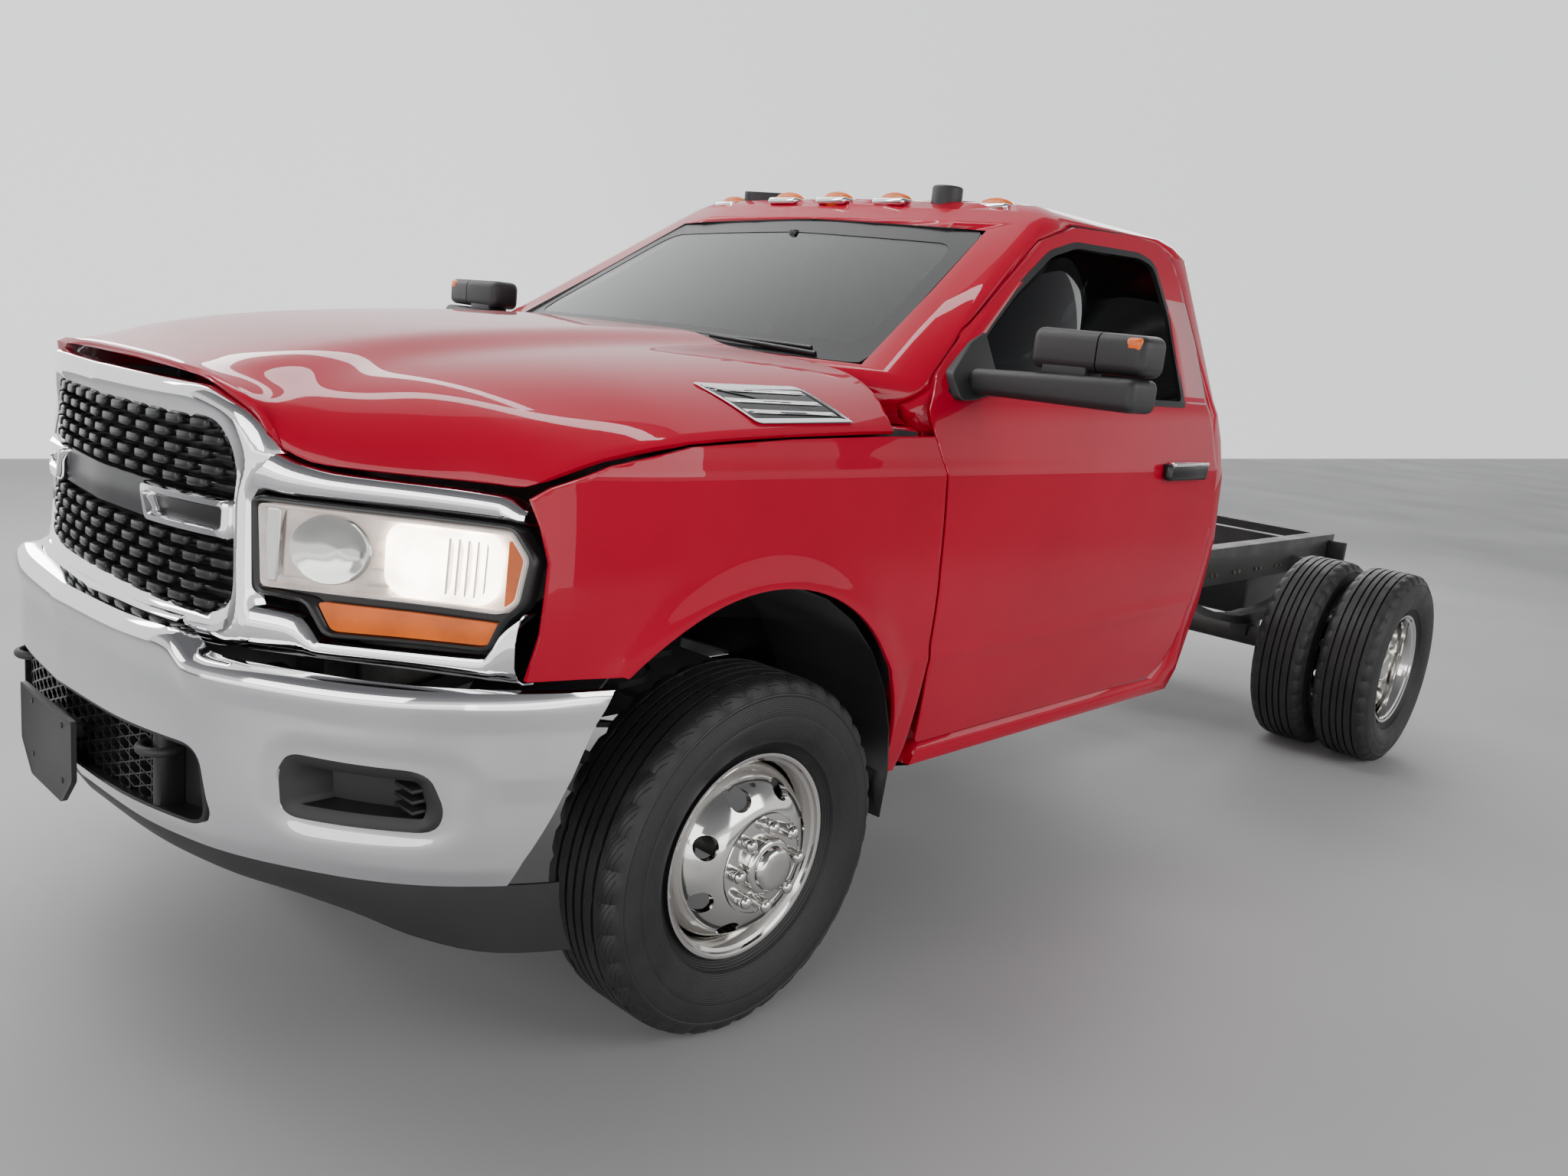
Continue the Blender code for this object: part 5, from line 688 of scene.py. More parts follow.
def side_x(y, z):
    """The half width of the body at a point of its side."""
    share = (z - BODY_BASE) / BODY_HEIGHT
    x = side_width(share)
    nose = (AXLE_Y - y) / NOSE_LENGTH
    x *= 1 - 0.045 * (max(nose - 0.236, 0) / 0.283) ** 2
    crease = 0.775 + 0.012 * (y - AXLE_Y)
    x += 0.0045 * math.exp(-(((z - crease) / 0.022) ** 2))
    shoulder = 1.235
    x += 0.004 * math.exp(-(((z - shoulder) / 0.018) ** 2))
    away = math.hypot(y - ARCH[0], z - ARCH[1]) - ARCH_RADIUS
    if y < CAB_FRONT_Y + 0.02:
        x += 0.012 * math.exp(-((away / 0.045) ** 2))
    if share > 0.654:
        gap, radius = y - along(corner_front(share)), 0.09
        if gap < radius:
            reach = min((radius - gap) / radius, 1) ** 3.3
            x -= radius * (1 - (1 - reach) ** (1 / 3.3))
    return x


def side_skin(name, low_y, high_y, low_z, high_z, steps, proud):
    """A piece of the left body side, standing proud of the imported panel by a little."""
    def place(u, v):
        y, z = low_y + u * (high_y - low_y), low_z + v * (high_z - low_z)
        return Vector((side_x(y, z) + proud, y, z))
    return face_towards(grid_piece(name, place, *steps), (1, 0, 0))


print("body half width at the door", round(side_x(-0.6, 1.0), 3))

# %% [markdown]
# The hood is the widest skin: a power dome in the middle between two soft creases, falling
# to the fenders. Its half width, edge and crown are read along its length. Across it, the
# fall from the crown gets steeper towards the edge, more so at the cowl than at the nose.

# %% Hood
HOOD_ROWS = ((-0.390, 0.955, 0.575, 0.696), (-0.094, 0.965, 0.571, 0.687), (0.094, 0.970, 0.566, 0.678),
             (0.255, 0.968, 0.557, 0.668), (0.425, 0.940, 0.532, 0.655), (0.528, 0.915, 0.505, 0.645),
             (0.566, 0.885, 0.493, 0.641), (0.623, 0.790, 0.489, 0.634), (0.698, 0.700, 0.488, 0.624),
             (0.774, 0.600, 0.489, 0.611), (0.816, 0.545, 0.503, 0.603), (0.845, 0.513, 0.549, 0.598),
             (0.878, 0.410, 0.582, 0.590))
hood_half, hood_edge, hood_crown = [curve_through([(r[0], r[k]) for r in HOOD_ROWS]) for k in (1, 2, 3)]
HOOD_WALL = 0.012
nose_share = curve_through(((0.0, 0.943), (0.25, 0.925), (0.47, 0.873), (0.62, 0.774), (0.75, 0.672),
                            (0.86, 0.597), (0.92, 0.560), (0.96, 0.530), (1.0, 0.505)))


def nose_y(x, z):
    """The curved face that grille, surround and lamps sit on: bowed in plan, leaning back."""
    return ahead(nose_share(abs(x))) + 0.05 * (z - 0.8006)


surround_top = curve_through(((0.0, 1.3186), (0.395, 1.3186), (0.500, 1.2786), (0.535, 1.215), (0.600, 1.190),
                              (0.860, 1.190), (0.905, 1.150)))


def dome_step(x, drop):
    """The fall of the power dome's side, whose crease runs straight back from the nose."""
    t = min(max(x - 0.375, 0) / 0.095, 1)
    return min(0.020, 0.2 * drop) * t * t * (3 - 2 * t)


LIP_GAP, LIP_ROUND, NOSE_ROUND = 0.009, 0.00012, 0.030


def hood_point(u, v):
    """The hood's surface: it stays over the surround, and its nose ends at the bowed face."""
    share = HOOD_ROWS[0][0] + v * (HOOD_ROWS[-1][0] - HOOD_ROWS[0][0])
    across = 2 * u - 1
    across = math.copysign(abs(across) ** 0.9, across)
    crown, half = hood_crown(share), hood_half(share)
    drop = crown - hood_edge(share)
    rest = drop - dome_step(half, drop)
    fall = rest * (0.10 * across ** 2 + 0.90 * abs(across) ** (7.0 - 2.5 * v))
    fall += dome_step(abs(across) * half, drop)
    place = Vector((across * half, ahead(share), up(crown - fall)))
    over = place.z - surround_top(abs(place.x)) - LIP_GAP
    place.z += (math.sqrt(over * over + LIP_ROUND) - over) / 2
    reach = nose_y(place.x, place.z) + 0.004 + NOSE_ROUND - place.y
    if reach > 0:
        place.y += NOSE_ROUND * (reach / NOSE_ROUND - 1 + math.exp(-reach / NOSE_ROUND))
    return place


FENDER_TOP = ((-0.548, 0.049), (-0.511, 0.217), (-0.493, 0.365), (-0.493, 0.568), (-0.283, 0.566),
              (0.0, 0.560), (0.255, 0.549), (0.425, 0.524), (0.528, 0.497), (0.560, 0.483),
              (0.542, 0.449), (0.528, 0.409), (0.536, 0.321), (0.552, 0.264), (0.387, 0.264))


def fender_outline(gap=0.0):
    """The fender seen from its side: top line, lamp edge, wheel arch and foot."""
    outline = [(ahead(y), up(z)) for y, z in FENDER_TOP]
    for i in range(41):
        angle = math.radians(46 + 155 * i / 40)
        outline.append((ARCH[0] - ARCH_RADIUS * math.cos(angle), ARCH[1] + ARCH_RADIUS * math.sin(angle)))
    foot = ahead(FENDER_TOP[0][0])
    outline += [(foot - 0.090, BODY_BASE), (foot, BODY_BASE)]
    return moved_in(outline, -gap) if gap else outline


SURROUND_TOP = [(0.0, 1.3186), (0.395, 1.3186), (0.500, 1.2786), (0.535, 1.215), (0.600, 1.190),
                (0.860, 1.190), (0.900, 1.159), (0.905, 1.150)]
SURROUND_LOW = [(0.912, 0.854), (0.552, 0.848), (0.452, 0.848), (0.0, 0.882)]


def mirrored_outline(half):
    """A closed outline from its half at x over 0, which starts and ends in the middle."""
    return half + [(-x, z) for x, z in reversed(half) if x > 0]


hood = face_towards(grid_piece("hood_skin", hood_point, 96, 84), (0, 0, 1))
apply(hood, "SMOOTH", factor=0.6, iterations=22, vertex_group="inner")
apply(hood, "SOLIDIFY", thickness=HOOD_WALL, offset=-1)
REAR_EDGE = curve_through(((0.0, -0.200), (0.30, -0.225), (0.55, -0.290), (0.79, -0.370), (1.02, -0.300)))
edge = [(x, ahead(REAR_EDGE(x))) for x in np.linspace(0, 1.02, 30)]
trim = edge + [(1.02, -1.0), (-1.02, -1.0)] + [(-x, y) for x, y in reversed(edge[1:])]
carve(hood, outline_block(trim, "z", 0.5, 1.8, "cowl_line"))
for side in (1, -1):
    carve(hood, outline_block(fender_outline(0.004), "x", side * 0.63, side * 1.3, "fender_line"))
front_outline = rounded(moved_in(mirrored_outline(SURROUND_TOP + SURROUND_LOW), -0.005), 0.03)
carve(hood, outline_block(front_outline, "y", -3.5, AXLE_Y, "surround_line"), folded=True)
apply(hood, "BEVEL", width=0.0025, segments=2, limit_method="ANGLE", angle_limit=math.radians(55),
      use_clamp_overlap=True)
smooth(hood, 38)
dress(hood, "hood_panel", "hood", RED, "hood")
print("hood faces", len(hood.data.polygons))

# %% Fenders and door skins
fender = side_skin("fender", ahead(0.620), CAB_FRONT_Y + 0.10, BODY_BASE - 0.01, up(0.590), (90, 70), 0.0)
apply(fender, "SOLIDIFY", thickness=0.010, offset=-1, use_even_offset=True)
carve(fender, outline_block(fender_outline(), "x", 0.63, 1.3, "fender_outline"), "INTERSECT")
apply(fender, "BEVEL", width=0.003, segments=2, limit_method="ANGLE", angle_limit=math.radians(55))
smooth(fender, 38)
both_sides(fender, "fender_skin", "chassis", RED, "fender_left")

DOOR_LINE = ((0.082, 0.049), (0.059, 0.217), (0.047, 0.365), (0.047, 0.499), (0.016, 0.590),
             (0.016, 0.609), (0.054, 0.661), (0.148, 0.734), (0.278, 0.823), (0.408, 0.912),
             (0.531, 0.955), (0.714, 0.967), (0.840, 0.966), (0.885, 0.935), (0.903, 0.870),
             (0.916, 0.770), (0.912, 0.622), (0.916, 0.547), (0.917, 0.392), (0.908, 0.263),
             (0.890, 0.130), (0.860, 0.075), (0.820, 0.050))
WINDOW_LINE = ((0.076, 0.639), (0.214, 0.749), (0.302, 0.815), (0.430, 0.895), (0.520, 0.922),
               (0.750, 0.932), (0.800, 0.920), (0.828, 0.815), (0.815, 0.640))


def side_outline(shares, radius=0.02, inwards=0.0):
    outline = [(along(y), up(z)) for y, z in shares]
    return rounded(moved_in(outline, inwards) if inwards else outline, radius)


door = side_skin("door", along(-0.01), along(0.94), BODY_BASE, up(0.985), (80, 110), 0.0018)
apply(door, "SOLIDIFY", thickness=0.0045, offset=-1, use_even_offset=True)
carve(door, outline_block(side_outline(DOOR_LINE), "x", 0.55, 1.3, "door_outline"), "INTERSECT")
carve(door, outline_block(side_outline(WINDOW_LINE, 0.03), "x", 0.4, 1.3, "window_outline"))
apply(door, "BEVEL", width=0.0018, segments=2, limit_method="ANGLE", angle_limit=math.radians(55))
smooth(door, 38)
both_sides(door, "door_skin", "door_left", RED)
print("fender and door faces", len(fender.data.polygons), len(door.data.polygons))

# %% [markdown]
# The weatherstrip round the door window is a thin black frame, and a black handle with a
# bright cap stands off the door on two feet. The strip is the window's outline given a width
# and laid on the body surface; the handle is a box bent and rounded with bevels.

# %% Window frames and handles
def laid_ring(name, outer, inner, proud, wall):
    """A flat ring between two outlines of equal length, laid on the left body side."""
    points = []
    for ring in (outer, inner):
        points += [(side_x(y, z) + proud, y, z) for y, z in ring]
    made = face_towards(from_points(name, points, loop_faces(len(outer))), (1, 0, 0))
    return apply(made, "SOLIDIFY", thickness=wall, offset=-1)


window = [(along(y), up(z)) for y, z in WINDOW_LINE]
ring = laid_ring("window_strip", rounded(moved_in(window, -0.008), 0.03, 8),
                 rounded(moved_in(window, 0.010), 0.03, 8), 0.003, 0.014)
smooth(ring, 40)
both_sides(ring, "window_strip", "door_left", SATIN)

HANDLE_Y, HANDLE_Z = along(0.765), up(0.513)
HANDLE_REACH = 0.125


def rounded_box(name, low, high, width, segments=3):
    """A box primitive between two corners, with bevelled edges."""
    low, high = Vector(low), Vector(high)
    bpy.ops.object.select_all(action="DESELECT")
    bpy.ops.mesh.primitive_cube_add(size=1, location=(low + high) / 2, scale=[abs(v) for v in high - low])
    made = settle(bpy.context.object)
    made.name = name
    apply(made, "BEVEL", width=width, segments=segments)
    return made


def bowed(piece):
    """Bends a bar of the handle out in its middle and in at its ends."""
    for vert in piece.data.vertices:
        bow = 1 - ((vert.co.y - HANDLE_Y) / HANDLE_REACH) ** 2
        vert.co.x += 0.006 * bow - 0.010 * (1 - bow) ** 2
    return piece


x = side_x(HANDLE_Y, HANDLE_Z)
grip = bowed(rounded_box("grip", (x + 0.010, HANDLE_Y - HANDLE_REACH, HANDLE_Z - 0.032),
                         (x + 0.040, HANDLE_Y + HANDLE_REACH, HANDLE_Z + 0.020), 0.013, 4))
feet = [rounded_box("foot", (x - 0.01, y - 0.024, HANDLE_Z - 0.017),
                    (x + 0.026, y + 0.024, HANDLE_Z + 0.015), 0.006)
        for y in (HANDLE_Y - 0.095, HANDLE_Y + 0.095)]
handle = smooth(joined([grip, *feet], "handle"), 50)
both_sides(handle, "door_handle", "door_left", SATIN)
cap = bowed(rounded_box("cap", (x + 0.013, HANDLE_Y - 0.118, HANDLE_Z + 0.010),
                        (x + 0.0425, HANDLE_Y + 0.118, HANDLE_Z + 0.0235), 0.006, 3))
both_sides(smooth(cap, 50), "handle_trim", "door_left", CHROME)
print("handle at", round(HANDLE_Y, 3), round(HANDLE_Z, 3))

# %% [markdown]
# Grille, surround and lamps all sit on the curved nose. Their pieces are modelled flat round
# y = 0 and then wrapped onto it, by moving each point back by the nose's bow and lean.

# %% Chrome surround
def wrap(piece):
    """Lays a piece modelled round y = 0 onto the nose."""
    for vert in piece.data.vertices:
        vert.co.y += nose_y(vert.co.x, vert.co.z)
    return piece


def spread(outline, count):
    """The closed outline as a number of points at even spacing, from its first point."""
    loop = [Vector(p) for p in outline] + [Vector(outline[0])]
    reach = [0.0]
    for a, b in zip(loop, loop[1:]):
        reach.append(reach[-1] + (b - a).length)
    made = []
    for i in range(count):
        at = reach[-1] * i / count
        k = next(j for j in range(1, len(reach)) if reach[j] >= at)
        part = (at - reach[k - 1]) / max(reach[k] - reach[k - 1], 1e-9)
        made.append(loop[k - 1].lerp(loop[k], part))
    return made


def band(name, outer, inner, section, count=180, wall=0.003):
    """A closed strip between two front outlines, with a cross section of (share, depth)."""
    rings = []
    first, last = spread(outer, count), spread(inner, count)
    for share, depth in section:
        rings.append([Vector((a.lerp(b, share).x, depth, a.lerp(b, share).y)) for a, b in zip(first, last)])
    points = [point for ring in rings for point in ring]
    made = wrap(face_towards(from_points(name, points, loop_faces(count, len(rings))), (0, -1, 0)))
    apply(made, "SOLIDIFY", thickness=wall, offset=-1)
    return smooth(made, 50)


GRILLE_EDGE = rounded(mirrored_outline([(0.0, 0.919), (0.430, 0.904), (0.478, 0.963), (0.465, 1.151),
                                   (0.437, 1.222), (0.400, 1.2535), (0.0, 1.2535)]), 0.03)
FRAME_EDGE = rounded(mirrored_outline([(0.0, 0.880), (0.452, 0.850), (0.545, 0.870), (0.512, 0.950),
                                  (0.503, 1.150), (0.545, 1.205), (0.500, 1.282), (0.395, 1.3190),
                                  (0.0, 1.3190)]), 0.03)
frame_ring = band("grille_frame", FRAME_EDGE, GRILLE_EDGE,
                  ((0.0, 0.030), (0.02, 0.006), (0.10, -0.002), (0.35, -0.005), (0.62, -0.002),
                   (0.80, 0.006), (0.97, 0.014), (1.0, 0.045)))


def swept_bar(name, path, section, wall=0.003):
    """A strip along a front path; the section gives (height over the path, depth) pairs."""
    rows = []
    for x, z, size in path:
        rows.append([Vector((x, depth, z + height * size)) for height, depth in section])
    count = len(section)
    points = [point for row in rows for point in row]
    faces = [(k * count + i, k * count + i + 1, (k + 1) * count + i + 1, (k + 1) * count + i)
             for k in range(len(rows) - 1) for i in range(count - 1)]
    made = wrap(face_towards(from_points(name, points, faces), (0, -1, 0)))
    apply(made, "SOLIDIFY", thickness=wall, offset=-1)
    return smooth(made, 45)


brow_top = curve_through(((0.520, 1.222), (0.560, 1.203), (0.620, 1.192), (0.860, 1.186), (0.893, 1.168)))
brow_low = curve_through(((0.520, 1.148), (0.560, 1.143), (0.860, 1.142), (0.893, 1.140)))
path = [(x, brow_low(x), brow_top(x) - brow_low(x)) for x in np.linspace(0.505, 0.905, 40)]
brow = swept_bar("lamp_brow", path, ((1.0, 0.032), (0.99, 0.010), (0.90, 0.001), (0.60, -0.004),
                                    (0.30, -0.005), (0.12, 0.002), (0.0, 0.010), (-0.02, 0.035)))
lower_top = curve_through(((0.500, 0.940), (0.575, 0.932), (0.620, 0.888), (0.860, 0.896), (0.885, 0.950),
                           (0.912, 0.985)))
path = [(x, 0.852, lower_top(x) - 0.852) for x in np.linspace(0.500, 0.911, 44)]
under_lamp = swept_bar("under_lamp", path, ((1.0, 0.034), (0.99, 0.010), (0.92, 0.001), (0.60, -0.004),
                                           (0.25, 0.000), (0.06, 0.010), (0.0, 0.022), (-0.01, 0.045)))
for vert in brow.data.vertices:
    vert.co.y += 0.002
surround = joined([brow, under_lamp], "surround_side")
other = twin(surround, "surround_other", mirror=True)
surround = joined([frame_ring, surround, other], "surround")
dress(surround, "chrome_surround", "chassis", CHROME, "grille_surround")
print("surround faces", len(surround.data.polygons))

# %% [markdown]
# The grille is a stack of thin black slats with small raised blocks, staggered from row to
# row, in an upper and a lower field. One block is modelled and copied; a chrome lozenge sits
# beside each headlamp on the plain bar between the fields, and a bright strip lies below.

# %% Grille
def slat(z, reach, height=0.007, front=0.022, depth=0.030):
    made = rounded_box("slat", (-reach, front, z - height / 2), (reach, front + depth, z + height / 2), 0.0012, 1)
    return bisected(made, np.linspace(-reach + 0.04, reach - 0.04, 22))


BLOCK_PITCH, ROW_PITCH = 0.074, 0.0265


def grille_field(low, high, width_at, shift):
    pieces = []
    rows = int(round((high - low) / ROW_PITCH))
    for row in range(rows + 1):
        z = low + (high - low) * row / rows
        reach = width_at(z)
        pieces.append(slat(z, reach))
        offset = BLOCK_PITCH / 2 * ((row + shift) % 2)
        count = int(reach / BLOCK_PITCH) + 1
        for column in range(-count, count + 1):
            x = column * BLOCK_PITCH + offset
            if abs(x) < reach - 0.026:
                block = twin(BLOCK, "block", (x, 0, z))
                pieces.append(block)
    return pieces


BLOCK = rounded_box("block", (-0.0215, 0.008, -0.0085), (0.0215, 0.034, 0.0085), 0.004, 2)
grille_width = curve_through(((0.90, 0.430), (0.963, 0.474), (1.151, 0.462), (1.222, 0.432), (1.26, 0.395)))
parts = grille_field(1.140, 1.246, grille_width, 0) + grille_field(0.922, 1.028, grille_width, 1)
bar = rounded_box("bar", (-0.468, 0.016, 1.046), (0.468, 0.050, 1.122), 0.006, 3)
bisected(bar, np.linspace(-0.42, 0.42, 15))
backing = grid_piece("backing", lambda u, v: Vector(((2 * u - 1) * grille_width(0.905 + v * 0.345), 0.058,
                                                    0.905 + v * 0.345)), 40, 12)
apply(backing, "SOLIDIFY", thickness=0.003, offset=0)
grille = joined(parts + [bar, backing], "grille")
bpy.data.objects.remove(BLOCK, do_unlink=True)
wrap(grille)
smooth(grille, 40)
dress(grille, "grille_slats", "chassis", SATIN, "grille_mesh")


def lozenge(x, z, reach, height, slant):
    return [(x - reach + slant, z - height), (x + reach, z - height), (x + reach, z + height),
            (x - reach, z + height)]


loop = band("lozenge", rounded(lozenge(0.345, 1.085, 0.130, 0.037, 0.030), 0.012),
            rounded(lozenge(0.347, 1.085, 0.108, 0.017, 0.022), 0.006),
            ((0.0, 0.020), (0.03, 0.002), (0.25, -0.006), (0.75, -0.006), (0.97, 0.002), (1.0, 0.020)), 96)
both_sides(loop, "grille_lozenge", "chassis", CHROME)
path = [(x, 0.860, 0.034) for x in np.linspace(-0.377, 0.377, 60)]
strip = swept_bar("grille_strip", path, ((1.0, 0.030), (0.95, 0.000), (0.75, -0.012), (0.45, -0.016),
                                        (0.15, -0.010), (0.0, 0.004), (-0.02, 0.025)))
dress(strip, "grille_strip", "chassis", CHROME)
print("grille faces", len(grille.data.polygons))

# %% [markdown]
# The bumper is one deep chrome pressing. Its face is a table of depths going down, swept
# round the bow of the nose; the middle of its top roll stands higher, the fog lamps sit in
# a shallow dish, and the ends are creased ahead of the wheels. Openings are cut afterwards.

# %% Bumper
bumper_plan = curve_through(((0.0, 1.0), (0.25, 0.984), (0.45, 0.943), (0.70, 0.821), (0.82, 0.725),
                             (0.90, 0.623), (0.96, 0.510), (0.99, 0.415)))
bumper_back = curve_through(((-0.012, 0.050), (0.0, 0.020), (0.012, 0.006), (0.032, 0.0), (0.056, 0.006),
                             (0.075, 0.011), (0.160, 0.008), (0.250, 0.012), (0.330, 0.028), (0.373, 0.052)))
rise_shape = curve_through(((0.0, 1.0), (0.40, 1.0), (0.43, 0.90), (0.455, 0.45), (0.475, 0.08),
                            (0.51, 0.0), (1.0, 0.0)))


def dish(x, z, low_x, high_x, low_z, high_z, reach, corner=0.03):
    """1 inside a rounded rectangle, falling to 0 over a reach outside it."""
    dx = abs(x - (low_x + high_x) / 2) - (high_x - low_x) / 2 + corner
    dz = abs(z - (low_z + high_z) / 2) - (high_z - low_z) / 2 + corner
    away = math.hypot(max(dx, 0), max(dz, 0)) + min(max(dx, dz), 0) - corner
    t = min(max(1 - away / reach, 0), 1)
    return t * t * (3 - 2 * t)


BUMPER_TOP, BUMPER_DROP, BUMPER_RISE = 0.843, 0.373, 0.040


def bumper_point(u, v):
    x = (2 * u - 1) * 0.99
    rise = BUMPER_RISE * rise_shape(abs(x))
    down = -0.012 + v * 0.385
    top = BUMPER_TOP + rise
    z = top - max(down, 0) * (BUMPER_DROP + rise) / BUMPER_DROP - min(down, 0) * 0.2
    y = ahead(bumper_plan(abs(x))) + bumper_back(down)
    y += 0.016 * dish(abs(x), z, 0.655, 0.860, 0.582, 0.700, 0.050)
    crease = (0.905 + 0.06 * (0.68 - z)) if z < 0.68 else 1.5
    bite = min(max((abs(x) - crease) / 0.012, 0), 1) * min(max((0.685 - z) / 0.05, 0), 1)
    return Vector((x, y + 0.012 * bite, z))


bumper = face_towards(grid_piece("bumper", bumper_point, 200, 64), (0, -1, 0))
apply(bumper, "SOLIDIFY", thickness=0.005, offset=-1)
LOWER_OPENING = rounded(mirrored_outline([(0.0, 0.527), (0.520, 0.527), (0.500, 0.682), (0.0, 0.682)]), 0.045, 8)
FOG_OPENING = rounded([(0.640, 0.580), (0.852, 0.580), (0.862, 0.622), (0.846, 0.694), (0.650, 0.700),
                       (0.634, 0.660)], 0.030, 6)
carve(bumper, outline_block(LOWER_OPENING, "y", -3.3, -2.6, "lower_opening"))
end_line = [(ahead(y), up(z)) for y, z in ((0.380, 0.260), (0.405, 0.247), (0.436, 0.203), (0.490, 0.099),
                                           (0.535, 0.028), (0.560, -0.020))]
end_line += [(ahead(0), 0.17), (ahead(0), 1.15)]
for side in (1, -1):
    fog = FOG_OPENING if side > 0 else flipped(FOG_OPENING)
    carve(bumper, outline_block(fog, "y", -3.3, -2.2, "fog_opening"))
    carve(bumper, outline_block(end_line, "x", side * 0.90, side * 2.0, "bumper_end"))
smooth(bumper, 32)
dress(bumper, "bumper_face", "chassis", CHROME, "front_bumper")
print("bumper faces", len(bumper.data.polygons))


def bumper_y(x, z):
    """The y of the bumper's outer face."""
    rise = BUMPER_RISE * rise_shape(abs(x))
    down = (BUMPER_TOP + rise - z) * BUMPER_DROP / (BUMPER_DROP + rise)
    return ahead(bumper_plan(abs(x))) + bumper_back(down)


# %% Lower insert, fog bezels, tow hooks and plate holder
def honeycomb(low_x, high_x, low_z, high_z, cell, depth):
    """Hexagon rings in staggered rows: one ring is modelled and copied."""
    bpy.ops.object.select_all(action="DESELECT")
    bpy.ops.mesh.primitive_circle_add(vertices=6, radius=cell, fill_type="NGON", location=(0, 0, 0),
                                      rotation=(math.pi / 2, 0, 0))
    ring = settle(bpy.context.object)
    ring.data.transform(Matrix.Scale(0.62, 4, (0, 0, 1)))
    pick(ring)
    bpy.ops.object.mode_set(mode="EDIT")
    bpy.ops.mesh.select_all(action="SELECT")
    bpy.ops.mesh.inset(thickness=0.0032)
    bpy.ops.mesh.delete(type="FACE")
    bpy.ops.object.mode_set(mode="OBJECT")
    apply(ring, "SOLIDIFY", thickness=depth, offset=0)
    pieces = []
    width, height = cell * 1.5, cell * math.sqrt(3) * 0.62
    columns, rows = int((high_x - low_x) / width), int((high_z - low_z) / height)
    for i in range(columns + 1):
        for j in range(rows + 1):
            x, z = low_x + i * width, low_z + (j + (i % 2) / 2) * height
            if low_z - 0.004 < z < high_z + 0.004:
                pieces.append(twin(ring, "cell", (x, 0, z)))
    bpy.data.objects.remove(ring, do_unlink=True)
    return joined(pieces, "honeycomb")


comb = honeycomb(-0.385, 0.385, 0.545, 0.665, 0.024, 0.016)
tray = outline_block(moved_in(LOWER_OPENING, 0.001), "y", 0.0, 0.062, "tray")
room = outline_block(moved_in(LOWER_OPENING, 0.008), "y", -0.05, 0.050, "tray_room")
carve(tray, room)
posts = [rounded_box("post", (x - 0.010, 0.002, 0.53), (x + 0.010, 0.05, 0.68), 0.004) for x in (0.385, -0.385)]
for vert in comb.data.vertices:
    vert.co.y += 0.022
insert = joined([tray, comb, *posts], "lower_insert")
apply(insert, "TRIANGULATE")
bisected(insert, np.linspace(-0.48, 0.48, 25))
for vert in insert.data.vertices:
    vert.co.y += ahead(bumper_plan(abs(vert.co.x))) + 0.012
smooth(insert, 30)
dress(insert, "lower_grille_insert", "chassis", SATIN, "bumper_insert")
print("insert faces", len(insert.data.polygons))

bezel_ring = spread(moved_in(FOG_OPENING, -0.003), 72)
inner_ring = spread(rounded(moved_in(FOG_OPENING, 0.022), 0.02), 72)
rings = [(bezel_ring, 0.0, 0.004), (bezel_ring, 0.12, -0.002), (bezel_ring, 0.45, -0.001), (bezel_ring, 1.0, 0.010),
         (bezel_ring, 1.0, 0.075)]
points = []
for outer_ring, share, depth in rings:
    for a, b in zip(outer_ring, inner_ring):
        p = a.lerp(b, share)
        points.append((p.x, ahead(bumper_plan(p.x)) + 0.026 + depth, p.y))
count = len(bezel_ring)
faces = loop_faces(count, len(rings))
faces.append(tuple((len(rings) - 1) * count + i for i in range(count)))
bezel = face_towards(from_points("bezel", points, faces), (0, -1, 0))
slats = []
for z in (0.617, 0.637, 0.657):
    y = bumper_y(0.8, z)
    slats.append(rounded_box("fin", (0.772, y + 0.040, z - 0.0035), (0.835, y + 0.10, z + 0.0035), 0.002, 2))
bezel = smooth(joined([bezel, *slats], "bezel"), 40)
both_sides(bezel, "fog_bezel_face", "chassis", PLASTIC, "fog_bezel_left")

bpy.ops.object.select_all(action="DESELECT")
bpy.ops.mesh.primitive_torus_add(major_radius=0.034, minor_radius=0.0095, major_segments=36, minor_segments=12,
                                 location=(0.36, -2.872, 0.640))
hook = settle(bpy.context.object)
shank = rounded_box("shank", (0.345, -2.850, 0.630), (0.375, -2.795, 0.650), 0.005)
hook = smooth(joined([hook, shank], "hook"), 60)
both_sides(hook, "tow_hook", "chassis", FRAME_BLACK)

chamfer = 0.062
plate = rounded([(0.155 - chamfer, 0.455), (0.155, 0.455 + chamfer), (0.155, 0.640), (-0.155, 0.640),
                 (-0.155, 0.455 + chamfer), (chamfer - 0.155, 0.455)], 0.008, 3)
holder = outline_block(plate, "y", -2.960, -2.950, "holder")
pick(holder)
bpy.ops.object.mode_set(mode="EDIT")
bpy.ops.mesh.select_all(action="DESELECT")
bpy.ops.object.mode_set(mode="OBJECT")
for face in holder.data.polygons:
    face.select = face.normal.y < -0.9
bpy.ops.object.mode_set(mode="EDIT")
bpy.ops.mesh.inset(thickness=0.012)
bpy.ops.transform.translate(value=(0, 0.003, 0))
bpy.ops.object.mode_set(mode="OBJECT")
studs = []
for x in (-0.09, 0.09):
    for z in (0.50, 0.615):
        bpy.ops.object.select_all(action="DESELECT")
        bpy.ops.mesh.primitive_cylinder_add(vertices=16, radius=0.006, depth=0.006, location=(x, -2.9555, z),
                                            rotation=(math.pi / 2, 0, 0))
        studs.append(settle(bpy.context.object))
back_block = rounded_box("block", (-0.078, -2.953, 0.578), (0.078, -2.900, 0.610), 0.004)
holder = smooth(joined([holder, back_block, *studs], "holder"), 40)
